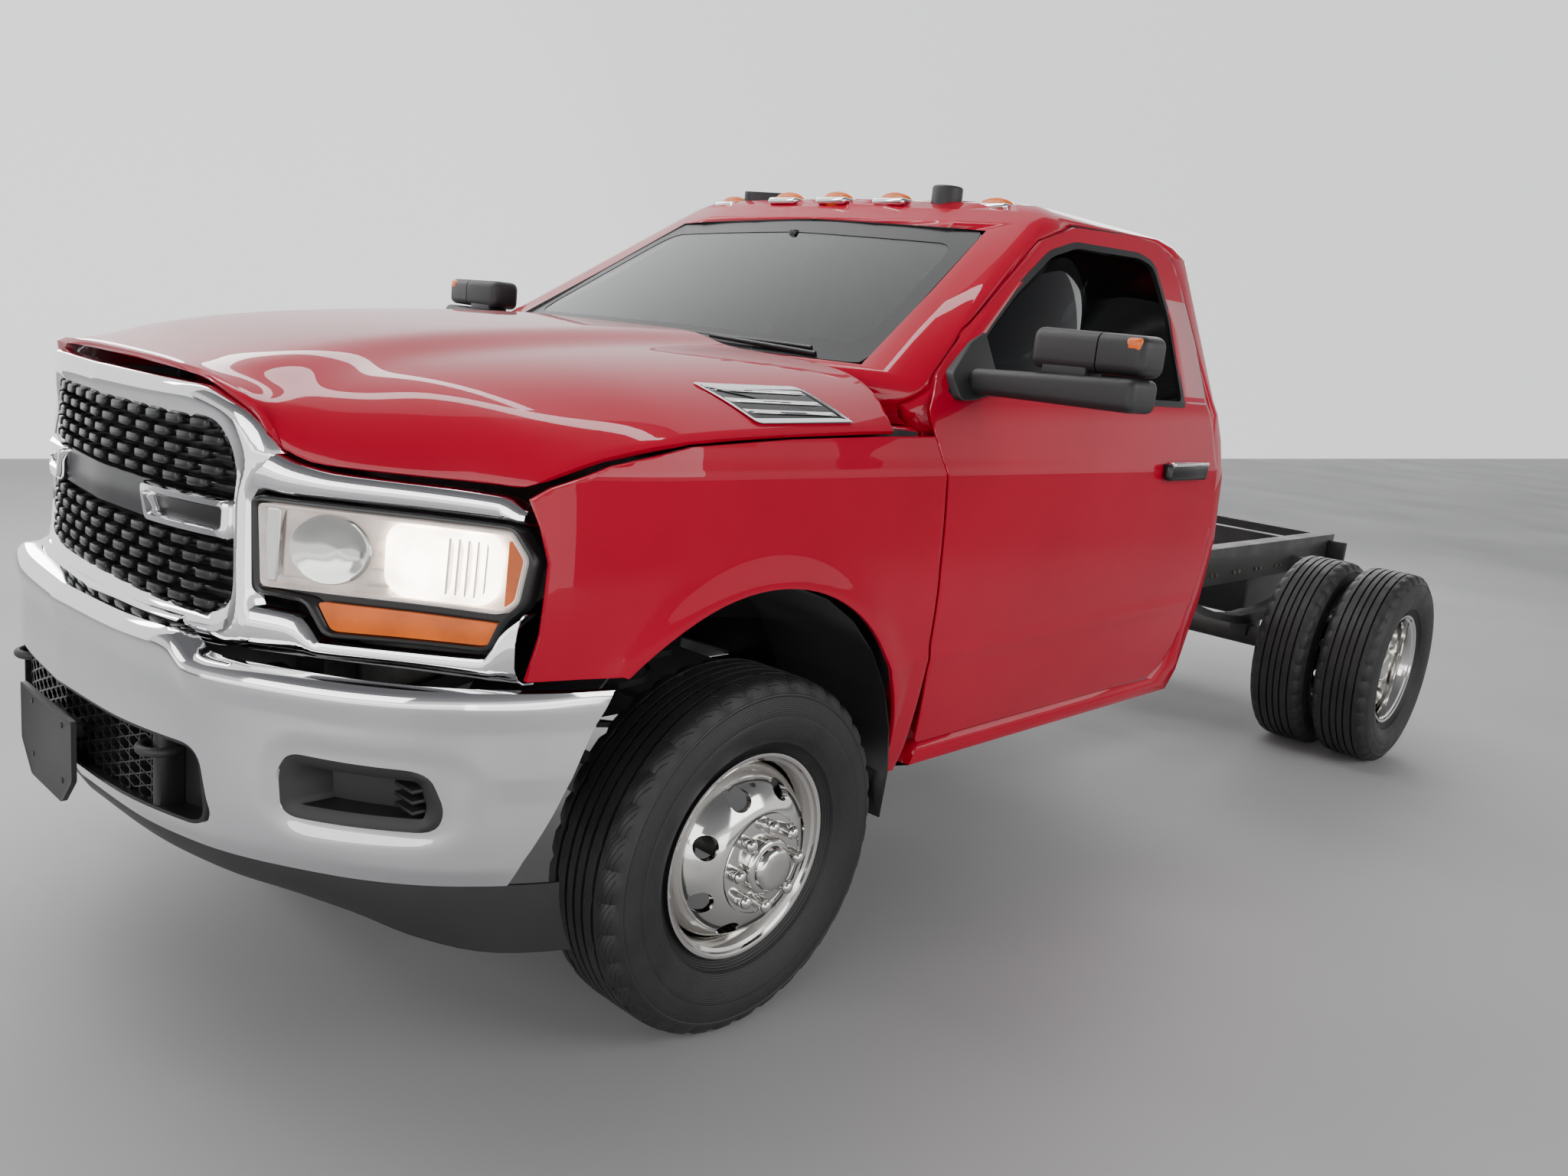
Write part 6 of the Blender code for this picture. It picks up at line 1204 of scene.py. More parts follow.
dress(holder, "blank_plate_holder", "chassis", PLASTIC, "plate_holder")


def dam_point(u, v):
    x = (2 * u - 1) * 0.955
    low = dam_low(abs(x))
    z = 0.4697 + v * (low - 0.4697)
    return Vector((x, ahead(bumper_plan(abs(x))) + 0.056 + 0.040 * v * v, z))


dam_low = curve_through(((0.0, 0.412), (0.55, 0.405), (0.70, 0.385), (0.80, 0.350), (0.90, 0.322), (0.96, 0.320)))
dam = face_towards(grid_piece("dam", dam_point, 90, 10), (0, -1, 0))
apply(dam, "SOLIDIFY", thickness=0.006, offset=-1)
smooth(dam, 40)
dress(dam, "air_dam_skin", "chassis", PLASTIC, "air_dam")
print("front end done")

# %% [markdown]
# Each headlamp is a clear cover over separate parts: a round inner reflector, a large lit
# bowl, an amber marker at the outer end and a lit amber strip below, all in a black gasket.
# The bowls are rings of one outline shrinking to its middle while they go deeper.

# %% Headlamps
LAMP_EDGE = rounded([(0.505, 1.133), (0.884, 1.133), (0.918, 1.083), (0.908, 0.997), (0.880, 0.966),
                     (0.862, 0.909), (0.624, 0.900), (0.594, 0.958), (0.519, 0.966)], 0.012, 4)
UPPER_EDGE = rounded([(0.514, 1.125), (0.880, 1.125), (0.909, 1.080), (0.900, 1.000), (0.874, 0.976),
                      (0.526, 0.976)], 0.010, 4)
TURN_EDGE = rounded([(0.606, 0.958), (0.631, 0.908), (0.857, 0.916), (0.872, 0.958)], 0.010, 4)


def sheet_in(name, outline, depth, wall=0.002, pitch=0.02, proud=0.0):
    """A thin sheet with a front outline, finely divided and raised in its middle by proud."""
    xs, zs = [p[0] for p in outline], [p[1] for p in outline]
    low, high = Vector((min(xs) - 0.01, min(zs) - 0.01)), Vector((max(xs) + 0.01, max(zs) + 0.01))
    size = high - low

    def place(u, v):
        lift = proud * (1 - (2 * u - 1) ** 4) * (1 - (2 * v - 1) ** 4)
        return Vector((low.x + u * size.x, depth - lift, low.y + v * size.y))

    steps = [max(int(length / pitch), 2) for length in size]
    made = face_towards(grid_piece(name, place, *steps), (0, -1, 0))
    apply(made, "SOLIDIFY", thickness=wall, offset=-1)
    return carve(made, outline_block(outline, "y", depth - 0.2, depth + 0.2), "INTERSECT")


def bowl(name, outline, depths, count=64, wall=0.0015):
    """A dish: rings of the outline shrinking to its middle, at (share, depth)."""
    middle = sum((Vector(p) for p in outline), Vector((0, 0))) / len(outline)
    inner = [tuple(middle.lerp(Vector(p), 0.03)) for p in outline]
    made = band(name, outline, inner, depths, count, wall)
    return made


def circle(x, z, radius, steps=32, flat=1.0):
    return [(x + radius * math.cos(2 * math.pi * i / steps), z + flat * radius * math.sin(2 * math.pi * i / steps))
            for i in range(steps)]


gasket = band("gasket", moved_in(LAMP_EDGE, -0.0045), moved_in(LAMP_EDGE, 0.006),
              ((0.0, 0.030), (0.02, 0.010), (0.3, 0.006), (0.8, 0.006), (1.0, 0.012), (1.0, 0.034)), 160)
floor_plate = wrap(sheet_in("lamp_floor", LAMP_EDGE, 0.034))
gasket = joined([gasket, floor_plate], "gasket")
both_sides(gasket, "lamp_gasket", "chassis", SATIN, "headlamp_left")

rim = band("lamp_rim", UPPER_EDGE, moved_in(UPPER_EDGE, 0.007),
           ((0.0, 0.030), (0.03, 0.008), (0.5, 0.007), (1.0, 0.010), (1.0, 0.030)), 160)
housing = wrap(sheet_in("housing", moved_in(UPPER_EDGE, 0.004), 0.030, pitch=0.012))
step_bar = wrap(rounded_box("step_bar", (0.535, 0.018, 0.983), (0.700, 0.030, 0.997), 0.004))
fins = [wrap(rounded_box("fin", (0.672, 0.016 + 0.004 * k, 1.000 + 0.026 * k),
                         (0.704, 0.030, 1.006 + 0.026 * k), 0.002)) for k in range(4)]
housing = smooth(joined([rim, housing, step_bar, *fins], "housing"), 40)
both_sides(housing, "lamp_housing", "chassis", WARM_BOWL)

inner_dish = bowl("inner_dish", circle(0.618, 1.054, 0.058, 40, 1.10),
                  ((0.0, 0.016), (0.04, 0.012), (0.10, 0.013), (0.30, 0.020), (0.60, 0.026), (1.0, 0.029)))
strip = wrap(rounded_box("strip", (0.522, 0.014, 0.985), (0.543, 0.030, 1.118), 0.003))
inner_dish = joined([inner_dish, strip], "inner_dish")
both_sides(inner_dish, "lamp_inner_reflector", "chassis", STAINLESS)
BOWL_EDGE = rounded([(0.702, 1.115), (0.850, 1.115), (0.868, 1.085), (0.862, 1.005), (0.840, 0.985),
                     (0.712, 0.985), (0.694, 1.010), (0.692, 1.090)], 0.012, 4)
big_bowl = bowl("big_bowl", BOWL_EDGE, ((0.0, 0.018), (0.05, 0.012), (0.14, 0.013), (0.40, 0.021),
                                        (0.75, 0.026), (1.0, 0.028)), 80)
both_sides(big_bowl, "lamp_lit_bowl", "chassis", BULB)
ridges = []
for k in range(5):
    share = (k + 1) / 6
    x = 0.770 + 0.086 * share
    ridges.append(wrap(rounded_box("ridge", (x - 0.0012, 0.014, 0.998), (x + 0.0012, 0.024, 1.100), 0.0008, 2)))
both_sides(joined(ridges, "ridges"), "lamp_ridges", "chassis", STAINLESS)
marker = wrap(sheet_in("marker", rounded([(0.872, 1.108), (0.885, 1.108), (0.902, 1.078), (0.895, 1.006),
                                          (0.880, 0.990), (0.874, 0.990)], 0.004), 0.016, 0.008, 0.006))
both_sides(marker, "lamp_side_marker", "chassis", AMBER_LIT)
turn = wrap(sheet_in("turn", TURN_EDGE, 0.014, 0.010, 0.012, 0.003))
both_sides(smooth(turn, 40), "lamp_turn_strip", "chassis", AMBER_LIT)
lens = wrap(sheet_in("lens", UPPER_EDGE, 0.006, 0.0012, 0.012, 0.002))
both_sides(smooth(lens, 40), "lamp_cover", "chassis", CLEAR_LENS)
print("headlamps done")

# %% [markdown]
# On the hood's side sits a bright slanted vent: a ring with slats. Its outline is laid on the
# hood by looking up, for each point, where the hood's surface reaches that height.

# %% Hood side vents
def hood_side(y, z):
    """The x of the hood's surface at a point seen from the side."""
    share = (AXLE_Y - y) / NOSE_LENGTH
    v = (share - HOOD_ROWS[0][0]) / (HOOD_ROWS[-1][0] - HOOD_ROWS[0][0])
    low, high = 0.75, 1.0
    for _ in range(24):
        middle = (low + high) / 2
        if hood_point(middle, v).z > z:
            low = middle
        else:
            high = middle
    return hood_point(low, v).x


def on_hood(name, outer, inner, section, count=96, wall=0.003):
    """A closed strip between two side outlines, standing proud of the hood's side."""
    rings = []
    for share, proud in section:
        ring = [a.lerp(b, share) for a, b in zip(spread(outer, count), spread(inner, count))]
        rings.append([(hood_side(p.x, p.y) + proud, p.x, p.y) for p in ring])
    points = [point for ring in rings for point in ring]
    made = face_towards(from_points(name, points, loop_faces(count, len(rings))), (1, 0, 0.3))
    return apply(made, "SOLIDIFY", thickness=wall, offset=-1)


vent = rounded([(AXLE_Y - 0.141, 1.397), (AXLE_Y + 0.137, 1.403), (AXLE_Y + 0.221, 1.339),
                (AXLE_Y - 0.082, 1.332)], 0.012, 4)
ring = on_hood("vent_ring", vent, moved_in(vent, 0.009), ((0, 0.000), (0.1, 0.006), (0.6, 0.007), (1, 0.002)))
slats = []
for k in range(3):
    z = 1.350 + 0.018 * k
    front, back = AXLE_Y - 0.080 - 0.018 * k, AXLE_Y + 0.180 - 0.020 * k
    slat_edge = rounded([(front, z), (back, z + 0.001), (back - 0.008, z + 0.008), (front - 0.008, z + 0.007)], 0.002)
    middle = [(sum(p[0] for p in slat_edge) / len(slat_edge), sum(p[1] for p in slat_edge) / len(slat_edge))]
    slats.append(on_hood("slat", slat_edge, [tuple(Vector(middle[0]).lerp(Vector(p), 0.3)) for p in slat_edge],
                         ((0, 0.001), (0.3, 0.0045), (1, 0.0050)), 64))
ring = smooth(joined([ring, *slats], "vent"), 45)
both_sides(ring, "hood_side_vent", "hood", CHROME)
inner = moved_in(vent, 0.008)
middle = Vector((sum(p[0] for p in inner) / len(inner), sum(p[1] for p in inner) / len(inner)))
dark = on_hood("vent_dark", inner, [tuple(middle.lerp(Vector(p), 0.02)) for p in inner],
               ((0, 0.0010), (0.5, 0.0012), (1, 0.0012)), 96, 0.002)
both_sides(dark, "vent_backing", "hood", SATIN)
print("vents done")

# %% [markdown]
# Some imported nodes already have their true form, so the picture shows a copy of them with
# doubles merged, edges softened and smooth shading: the cab shell, glass and chassis parts.

# %% Cab shell
def copy_node(name, soften=0.0, degrees=35):
    """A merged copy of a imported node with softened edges."""
    source = bpy.data.objects[name]
    made = source.copy()
    made.data = source.data.copy()
    for label in list(made.keys()):
        del made[label]
    made.animation_data_clear()
    matrix = source.matrix_world.copy()
    made.parent = None
    made.matrix_world = Matrix.Identity(4)
    made.data.transform(matrix)
    bpy.context.scene.collection.objects.link(made)
    made.hide_render = False
    made.hide_set(False)
    tidy_mesh(made, 0.0001)
    if soften:
        pick(made)
        bpy.ops.object.mode_set(mode="EDIT")
        bpy.ops.mesh.select_all(action="SELECT")
        bpy.ops.mesh.dissolve_limited(angle_limit=math.radians(1.0))
        bpy.ops.object.mode_set(mode="OBJECT")
        apply(made, "BEVEL", width=soften, segments=2, limit_method="ANGLE", angle_limit=math.radians(38))
    return smooth(made, degrees)


def painted(piece, material, test):
    """Gives the faces that pass a test, by their middle and normal, another finish."""
    piece.data.materials.append(material)
    for face in piece.data.polygons:
        if test(face.center, face.normal):
            face.material_index = len(piece.data.materials) - 1


ROOF_LAMPS = [Vector((x, along(y), up(z))) for x, y, z in
              ((0.0, 0.424, 0.988), (0.219, 0.432, 0.988), (-0.219, 0.432, 0.988), (0.538, 0.470, 0.985),
               (-0.538, 0.470, 0.985))]
cab = copy_node("cab", 0.0, 40)
for vert in cab.data.vertices:
    if vert.co.z > ROOF_TOP + 0.006:
        vert.co.z -= 0.060
    for lamp in ROOF_LAMPS:
        if abs(vert.co.x - lamp.x) < 0.058 and abs(vert.co.y - lamp.y) < 0.050 and vert.co.z > lamp.z + 0.012:
            vert.co.z -= 0.045
dress(cab, "cab_shell", "chassis", RED, "cab")
CABIN = Vector((0, along(0.52), 1.25))


def faces_cabin(at, normal):
    inside = at.y > CAB_FRONT_Y + 0.10 and abs(at.x) < side_x(at.y, at.z) - 0.02
    return inside and (at - CABIN).dot(normal) < 0


def faces_down_or_engine(at, normal):
    firewall = normal.y < -0.5 and at.y < CAB_FRONT_Y + 0.15 and at.z < 1.32
    return firewall or (normal.z < -0.7 and at.z < 0.75)


def faces_in_from_door(at, normal):
    return abs(at.x) < side_x(at.y, at.z) - 0.015 and at.x * normal.x < -0.25 * abs(at.x)


painted(cab, HEADLINER, faces_cabin)
painted(cab, PLASTIC, faces_down_or_engine)
print("cab faces", len(cab.data.polygons))

door_form = copy_node("door_left", 0.0, 40)
for vert in door_form.data.vertices:
    skin_x = side_x(vert.co.y, vert.co.z)
    if vert.co.x > skin_x + 0.004 and along(0.66) < vert.co.y < along(0.87) and up(0.48) < vert.co.z < up(0.545):
        vert.co.x = skin_x - 0.010
for piece in both_sides(door_form, "door_form", "door_left", RED, "door_left"):
    painted(piece, SOFT_DASH, faces_in_from_door)

# %% Roof lamps, antenna fin and roof puck
lamps, rims = [], []
for place in ROOF_LAMPS:
    bpy.ops.object.select_all(action="DESELECT")
    bpy.ops.mesh.primitive_uv_sphere_add(segments=40, ring_count=20, radius=1.0, location=(0, 0, 0))
    block = settle(bpy.context.object)
    middle = place + Vector((0, -0.004, -0.006))
    block.data.transform(Matrix.Translation(middle) @ Matrix.Diagonal((0.056, 0.042, 0.0285, 1)))
    lamps.append(block)
    rims.append(rounded_box("rim", place + Vector((-0.061, -0.050, -0.020)),
                            place + Vector((0.061, 0.042, 0.002)), 0.010, 3))
dress(smooth(joined(lamps, "lamps"), 50), "roof_marker_lenses", "chassis", AMBER_LIT)
dress(smooth(joined(rims, "rims"), 50), "roof_marker_bases", "chassis", CHROME)
fin_base = Vector((-0.45, along(0.5), ROOF_TOP))
fin = rounded_box("fin", fin_base + Vector((-0.0155, -0.092, -0.055)),
                  fin_base + Vector((0.0155, 0.092, 0.0325)), 0.010, 4)
for vert in fin.data.vertices:
    front = (vert.co.y - fin_base.y + 0.092) / 0.184
    if vert.co.z > fin_base.z + 0.012:
        vert.co.z = fin_base.z + 0.012 + (vert.co.z - fin_base.z - 0.012) * min(front * 1.15, 1)
bpy.ops.object.select_all(action="DESELECT")
bpy.ops.mesh.primitive_cylinder_add(vertices=48, radius=0.0455, depth=0.080,
                                    location=(0.38, along(0.45), ROOF_TOP - 0.0145))
puck = settle(bpy.context.object)
apply(puck, "BEVEL", width=0.008, segments=4, limit_method="ANGLE", angle_limit=math.radians(50))
roof_bits = smooth(joined([fin, puck], "roof_bits"), 45)
dress(roof_bits, "roof_fin_and_puck", "chassis", PLASTIC)

# %% Glass and frit
for node, body, material in (("rear_window", "chassis", TINT_AND_SHADE_GLASS),
                             ("door_glass_left", "door_left", TINT_AND_SHADE_GLASS),
                             ("door_glass_right", "door_right", TINT_AND_SHADE_GLASS)):
    pane = copy_node(node, 0.0, 60)
    dress(pane, node + "_pane", body, material, node)


def screen_y(x, z):
    """The y of the windshield's outer face, from the cab's own slope and bow."""
    share = (z - BODY_BASE) / BODY_HEIGHT
    edge = min(abs(x) / SCREEN_HALF(share), 1) ** 2
    base, top = -0.075 + edge * 0.093, 0.385 + edge * 0.045
    rise = min(max((share - 0.654) / 0.303, 0), 1)
    return along(base + rise * (top - base)) + 0.012


SCREEN_HALF = curve_through(((0.60, 0.87), (0.654, 0.83), (0.93, 0.70), (1.0, 0.60)))
SCREEN = [(0.0, up(0.668)), (0.735, up(0.6655)), (0.616, up(0.9235)), (0.0, up(0.9365))]


def on_screen(name, outer, inner, proud, count=120, wall=0.002):
    points = []
    for ring in (spread(outer, count), spread(inner, count)):
        points += [(p.x, screen_y(p.x, p.y) - proud, p.y) for p in ring]
    made = face_towards(from_points(name, points, loop_faces(count)), (0, -1, 0.5))
    return apply(made, "SOLIDIFY", thickness=wall, offset=-1)


screen_edge = rounded(mirrored_outline(SCREEN), 0.03, 5)
frit = on_screen("frit", screen_edge, rounded(moved_in(mirrored_outline(SCREEN), 0.045), 0.05, 5), 0.004)
dress(smooth(frit, 50), "windshield_frit", "chassis", SATIN)


def screen_place(u, v):
    x, z = -0.80 + 1.60 * u, up(0.645) + v * (up(0.95) - up(0.645))
    return Vector((x, screen_y(x, z) - 0.001, z))


pane = face_towards(grid_piece("windshield_pane", screen_place, 64, 32), (0, -1, 0.5))
apply(pane, "SOLIDIFY", thickness=0.0045, offset=-1)
carve(pane, outline_block(screen_edge, "y", -3.0, 1.0, "screen_outline"), "INTERSECT")
dress(smooth(pane, 40), "windshield_pane", "chassis", WINDSHIELD_GLASS, "windshield")
print("glass done")

# %% [markdown]
# The tow mirrors are wide low heads over a broad arm, with the glass set in from behind
# and an amber lamp at the outer top corner. Head, arm, knuckle and foot are bevelled blocks,
# so that light rolls round their edges.

# %% Mirrors
def swept_tube(name, points, radius):
    """A tube along points, made from a NURBS path with a round profile."""
    bpy.ops.object.select_all(action="DESELECT")
    bpy.ops.curve.primitive_nurbs_path_add(location=(0, 0, 0))
    path = bpy.context.object
    curve = path.data
    curve.splines.clear()
    spline = curve.splines.new("NURBS")
    spline.points.add(len(points) - 1)
    for point, place in zip(spline.points, points):
        point.co = (*place, 1)
    spline.order_u = min(4, len(points))
    spline.use_endpoint_u = True
    curve.resolution_u = 8
    curve.bevel_depth = radius
    curve.bevel_resolution = 6
    curve.use_fill_caps = True
    pick(path)
    bpy.ops.object.convert(target="MESH")
    made = settle(bpy.context.object)
    made.name = name
    return tidy_mesh(made)


low = Vector((1.085, along(0.110), up(0.689)))
high = Vector((1.375, along(0.110) + 0.115, up(0.752)))
head = rounded_box("head", low, high, 0.024, 5)
for vert in head.data.vertices:
    out = (vert.co.x - low.x) / (high.x - low.x)
    front = (high.y - vert.co.y) / (high.y - low.y)
    vert.co.z += (vert.co.z - (low.z + high.z) / 2) * -0.10 * front * out
    vert.co.y += 0.012 * front * (2 * out - 1) ** 2
recess = rounded_box("recess", (low.x + 0.012, high.y - 0.010, low.z + 0.012),
                     (high.x - 0.012, high.y + 0.05, high.z - 0.012), 0.012, 3)
carve(head, recess)
seam = rounded_box("seam", (low.x + 0.170, low.y - 0.05, low.z - 0.05),
                   (low.x + 0.1735, low.y + 0.05, high.z + 0.05), 0.0005, 1)
carve(head, seam)
arm = rounded_box("arm", (0.935, along(0.104), up(0.637)), (1.372, along(0.104) + 0.118, up(0.6875)), 0.020, 5)
for vert in arm.data.vertices:
    inward = min(max((1.10 - vert.co.x) / 0.165, 0), 1)
    vert.co.z -= (vert.co.z - up(0.637)) * 0.22 * inward
    vert.co.y = along(0.104) + 0.01 + (vert.co.y - along(0.104) - 0.01) * (1 - 0.35 * inward)
lower_pocket = rounded_box("pocket", (1.130, along(0.104) + 0.108, up(0.644)), (1.360, 0.0, up(0.681)), 0.010, 3)
carve(arm, lower_pocket)
knuckle = rounded_box("knuckle", (1.120, along(0.118), up(0.680)), (1.235, along(0.163), up(0.700)), 0.006, 3)
foot = outline_block(rounded([(along(y), up(z)) for y, z in ((0.074, 0.6245), (0.110, 0.6265), (0.186, 0.6415),
                                                            (0.1965, 0.739), (0.150, 0.719), (0.074, 0.666))], 0.015),
                     "x", 0.830, 0.982, "foot")
for vert in foot.data.vertices:
    if vert.co.x > 0.9:
        vert.co.x = side_x(vert.co.y, vert.co.z) + 0.026 - 0.020 * max((vert.co.z - up(0.66)) / 0.14, 0)
apply(foot, "BEVEL", width=0.006, segments=3, limit_method="ANGLE", angle_limit=math.radians(50))
mirror = smooth(joined([head, arm, knuckle, foot], "mirror"), 40)
both_sides(mirror, "mirror_housing", "door_left", PLASTIC, "mirror_left")
glass_face = rounded_box("mirror_glass", (low.x + 0.016, high.y - 0.0085, low.z + 0.016),
                         (high.x - 0.016, high.y - 0.005, high.z - 0.016), 0.0015, 2)
both_sides(smooth(glass_face, 40), "mirror_glass", "door_left", CHROME)
lamp = rounded_box("lamp", (high.x - 0.052, low.y + 0.004, high.z - 0.040),
                   (high.x - 0.012, low.y + 0.055, high.z - 0.008), 0.010, 3)
for vert in lamp.data.vertices:
    vert.co.y += 0.004
both_sides(smooth(lamp, 40), "mirror_amber_lamp", "door_left", AMBER_LIT)
print("mirrors done")

# %% Wipers and inside mirror
wipers = []
for pivot, tip in ((0.60, -0.06), (-0.16, -0.70)):
    middle = (pivot + tip) / 2
    low_z, mid_z, high_z = up(0.673), up(0.682), up(0.690)
    arm_points = [(pivot, screen_y(pivot, low_z) - 0.012, low_z),
                  (middle + 0.08, screen_y(middle, mid_z) - 0.020, mid_z),
                  (middle, screen_y(middle, mid_z) - 0.016, mid_z + 0.004)]
    wipers.append(swept_tube("wiper_arm", arm_points, 0.0065))
    blade_line = ((pivot - 0.03, mid_z), (middle, high_z - 0.004), (tip, mid_z + 0.004))
    blade = [(x, screen_y(x, z) - 0.010, z) for x, z in blade_line]
    wipers.append(swept_tube("wiper_blade", blade, 0.0055))
dress(smooth(joined(wipers, "wipers"), 50), "wipers", "chassis", SATIN)
z = up(0.895)
y = screen_y(0, z)
inside = [rounded_box("inside_mirror", (-0.125, y + 0.075, z - 0.035), (0.125, y + 0.100, z + 0.030), 0.010, 4),
          rounded_box("stem", (-0.012, y + 0.008, z), (0.012, y + 0.085, z + 0.022), 0.005, 3)]
dress(smooth(joined(inside, "inside_mirror"), 50), "inside_mirror", "chassis", SATIN)
print("wipers done")

# %% [markdown]
# Tyres are turned from a section with real shoulders: the section is spun into rings, and
# the tread is cut by pushing points of chosen rings inwards, which makes the long grooves,
# and every other point of the outer rows, which makes the blocks on the shoulders.

# %% Tyres
def turned(name, profile, centre, steps, closed=False):
    """A profile of (x, radius) spun round the X line through a centre."""
    points, faces = [], []
    rows = len(profile)
    for i in range(steps):
        angle = 2 * math.pi * i / steps
        points += [(centre[0] + x, centre[1] + r * math.sin(angle), centre[2] + r * math.cos(angle))
                   for x, r in profile]
    last = rows if closed else rows - 1
    for i in range(steps):
        j = (i + 1) % steps
        for k in range(last):
            m = (k + 1) % rows
            faces.append((i * rows + k, i * rows + m, j * rows + m, j * rows + k))
    return from_points(name, points, faces)


TREAD = 0.4035
TYRE_FOOT = 0.0006
side = [(0.0705, 0.2165), (0.0735, 0.2215), (0.0715, 0.2270), (0.0730, 0.2350), (0.0830, 0.2480),
        (0.0930, 0.2580), (0.0985, 0.2600), (0.1000, 0.2645), (0.1075, 0.2745), (0.1120, 0.2870),
        (0.1150, 0.3000), (0.1170, 0.3130), (0.1174, 0.3200), (0.1160, 0.3235), (0.1168, 0.3280),
        (0.1155, 0.3400), (0.1130, 0.3540), (0.1095, 0.3640), (0.1110, 0.3680), (0.1070, 0.3740),
        (0.1030, 0.3820), (0.0985, 0.3890), (0.0940, 0.3945), (0.0890, 0.3985), (0.0820, 0.4010)]
GROOVES = ((0.058, 0.004), (0.026, 0.004))


def tread_rows():
    rows = [(0.0770, 0.4018), (0.0700, 0.4022)]
    for at, half in GROOVES:
        rows += [(at + half, 0.4030), (at + half * 0.75, 0.3915), (at - half * 0.75, 0.3915), (at - half, 0.4031)]
    return rows + [(0.0040, TREAD), (0.0030, 0.3935)]


half_profile = side + tread_rows()
PROFILE = half_profile + [(-x, r) for x, r in reversed(half_profile)]
PROFILE += [(-0.0600, 0.2165), (0.0600, 0.2165)]


def tyre(name, x, axle_y):
    steps = 144
    made = turned(name, PROFILE, (x, axle_y, WHEEL_Z), steps, closed=True)
    rows = len(PROFILE)
    for i in range(steps):
        for k, (px, radius) in enumerate(PROFILE):
            if 0.0735 < abs(px) < 0.104 and radius > 0.376:
                shift = 0 if px > 0 else 2
                if (i + shift) % 4 == 0:
                    vert = made.data.vertices[i * rows + k]
                    out = Vector((0, vert.co.y - axle_y, vert.co.z - WHEEL_Z))
                    vert.co -= out.normalized() * 0.0060
                    vert.co.x -= math.copysign(0.0022, px)
            elif 0.030 < abs(px) < 0.056 and radius > 0.40 and i % 6 == 0:
                vert = made.data.vertices[i * rows + k]
                out = Vector((0, vert.co.y - axle_y, vert.co.z - WHEEL_Z))
                vert.co -= out.normalized() * 0.0035
    for vert in made.data.vertices:
        vert.co.z = max(vert.co.z, TYRE_FOOT)
    tidy_mesh(made)
    return smooth(made, 30)


FRONT_X, INNER_X, OUTER_X = 0.8825, 0.8315, 1.0935
front_tyre = tyre("front_tyre", FRONT_X, AXLE_Y)
both_sides(front_tyre, "front_tyre", "wheel_front_left", FRONT_RUBBER, "tyre_front_left")
inner_tyre = tyre("inner_tyre", INNER_X, REAR_AXLE_Y)
both_sides(inner_tyre, "rear_inner_tyre", "wheel_rear_left", REAR_RUBBER, "tyre_rear_inner_left")
outer_tyre = tyre("outer_tyre", OUTER_X, REAR_AXLE_Y)
both_sides(outer_tyre, "rear_outer_tyre", "wheel_rear_left", REAR_RUBBER, "tyre_rear_outer_left")
print("tyre faces", len(front_tyre.data.polygons))

# %% [markdown]
# The front wheel is one polished dish that bulges outwards to the hub, with eight oval hand
# holes and eight domed nut covers round a domed hub cap. The rear outer wheel is the same
# dish turned the other way. The holes are cut from a solid of revolution by ovals placed once
# and turned round the axle.

# %% Wheels
WHEEL_NUTS = HAND_HOLES = 8


def oval_tool(centre, circle_radius, angle, across_hole, along_hole, low_x, high_x):
    """An oval rod through a wheel at an angle round its axle."""
    bpy.ops.object.select_all(action="DESELECT")
    bpy.ops.mesh.primitive_cylinder_add(vertices=28, radius=1.0, depth=1.0, location=(0, 0, 0),
                                        rotation=(0, math.pi / 2, 0))
    tool = settle(bpy.context.object)
    tool.data.transform(Matrix.Diagonal((high_x - low_x, across_hole, along_hole, 1)))
    tool.data.transform(Matrix.Translation(((high_x + low_x) / 2, 0, circle_radius)))
    tool.data.transform(Matrix.Rotation(angle, 4, "X"))
    tool.data.transform(Matrix.Translation(centre))
    return tool


def dome(centre, radius, length, x):
    """A round-ended cap on the X line."""
    profile = [(0.0, radius), (length * 0.55, radius), (length * 0.72, radius * 0.96), (length * 0.86, radius * 0.80),
               (length * 0.96, radius * 0.48), (length, radius * 0.12), (length, 0.0001)]
    return turned("dome", profile, (x, centre[1], centre[2]), 32)


def nut_ring(x, axle_y, circle_radius, radius, length):
    """Domed caps in a circle round the axle."""
    made = []
    for i in range(WHEEL_NUTS):
        angle = 2 * math.pi * i / WHEEL_NUTS
        place = (0, axle_y + circle_radius * math.sin(angle), WHEEL_Z + circle_radius * math.cos(angle))
        made.append(dome(place, radius, length, x))
    return made


def wheel(name, x, axle_y, barrel, face, holes_at):
    """A rim barrel and a dished face, both solids of revolution, with hand holes cut."""
    centre = (x, axle_y, WHEEL_Z)
    drum = turned(name + "_barrel", barrel, centre, 96, closed=True)
    disc = turned(name + "_disc", face, centre, 96, closed=True)
    tidy_mesh(drum)
    tidy_mesh(disc)
    if holes_at:
        radius, low_x, high_x = holes_at
        for i in range(HAND_HOLES):
            angle = 2 * math.pi * (i + 0.5) / HAND_HOLES
            carve(disc, oval_tool(centre, radius, angle, 0.0265, 0.0200, low_x, high_x))
        apply(disc, "BEVEL", width=0.0025, segments=2, limit_method="ANGLE", angle_limit=math.radians(55))
    return smooth(joined([drum, disc], name), 35)


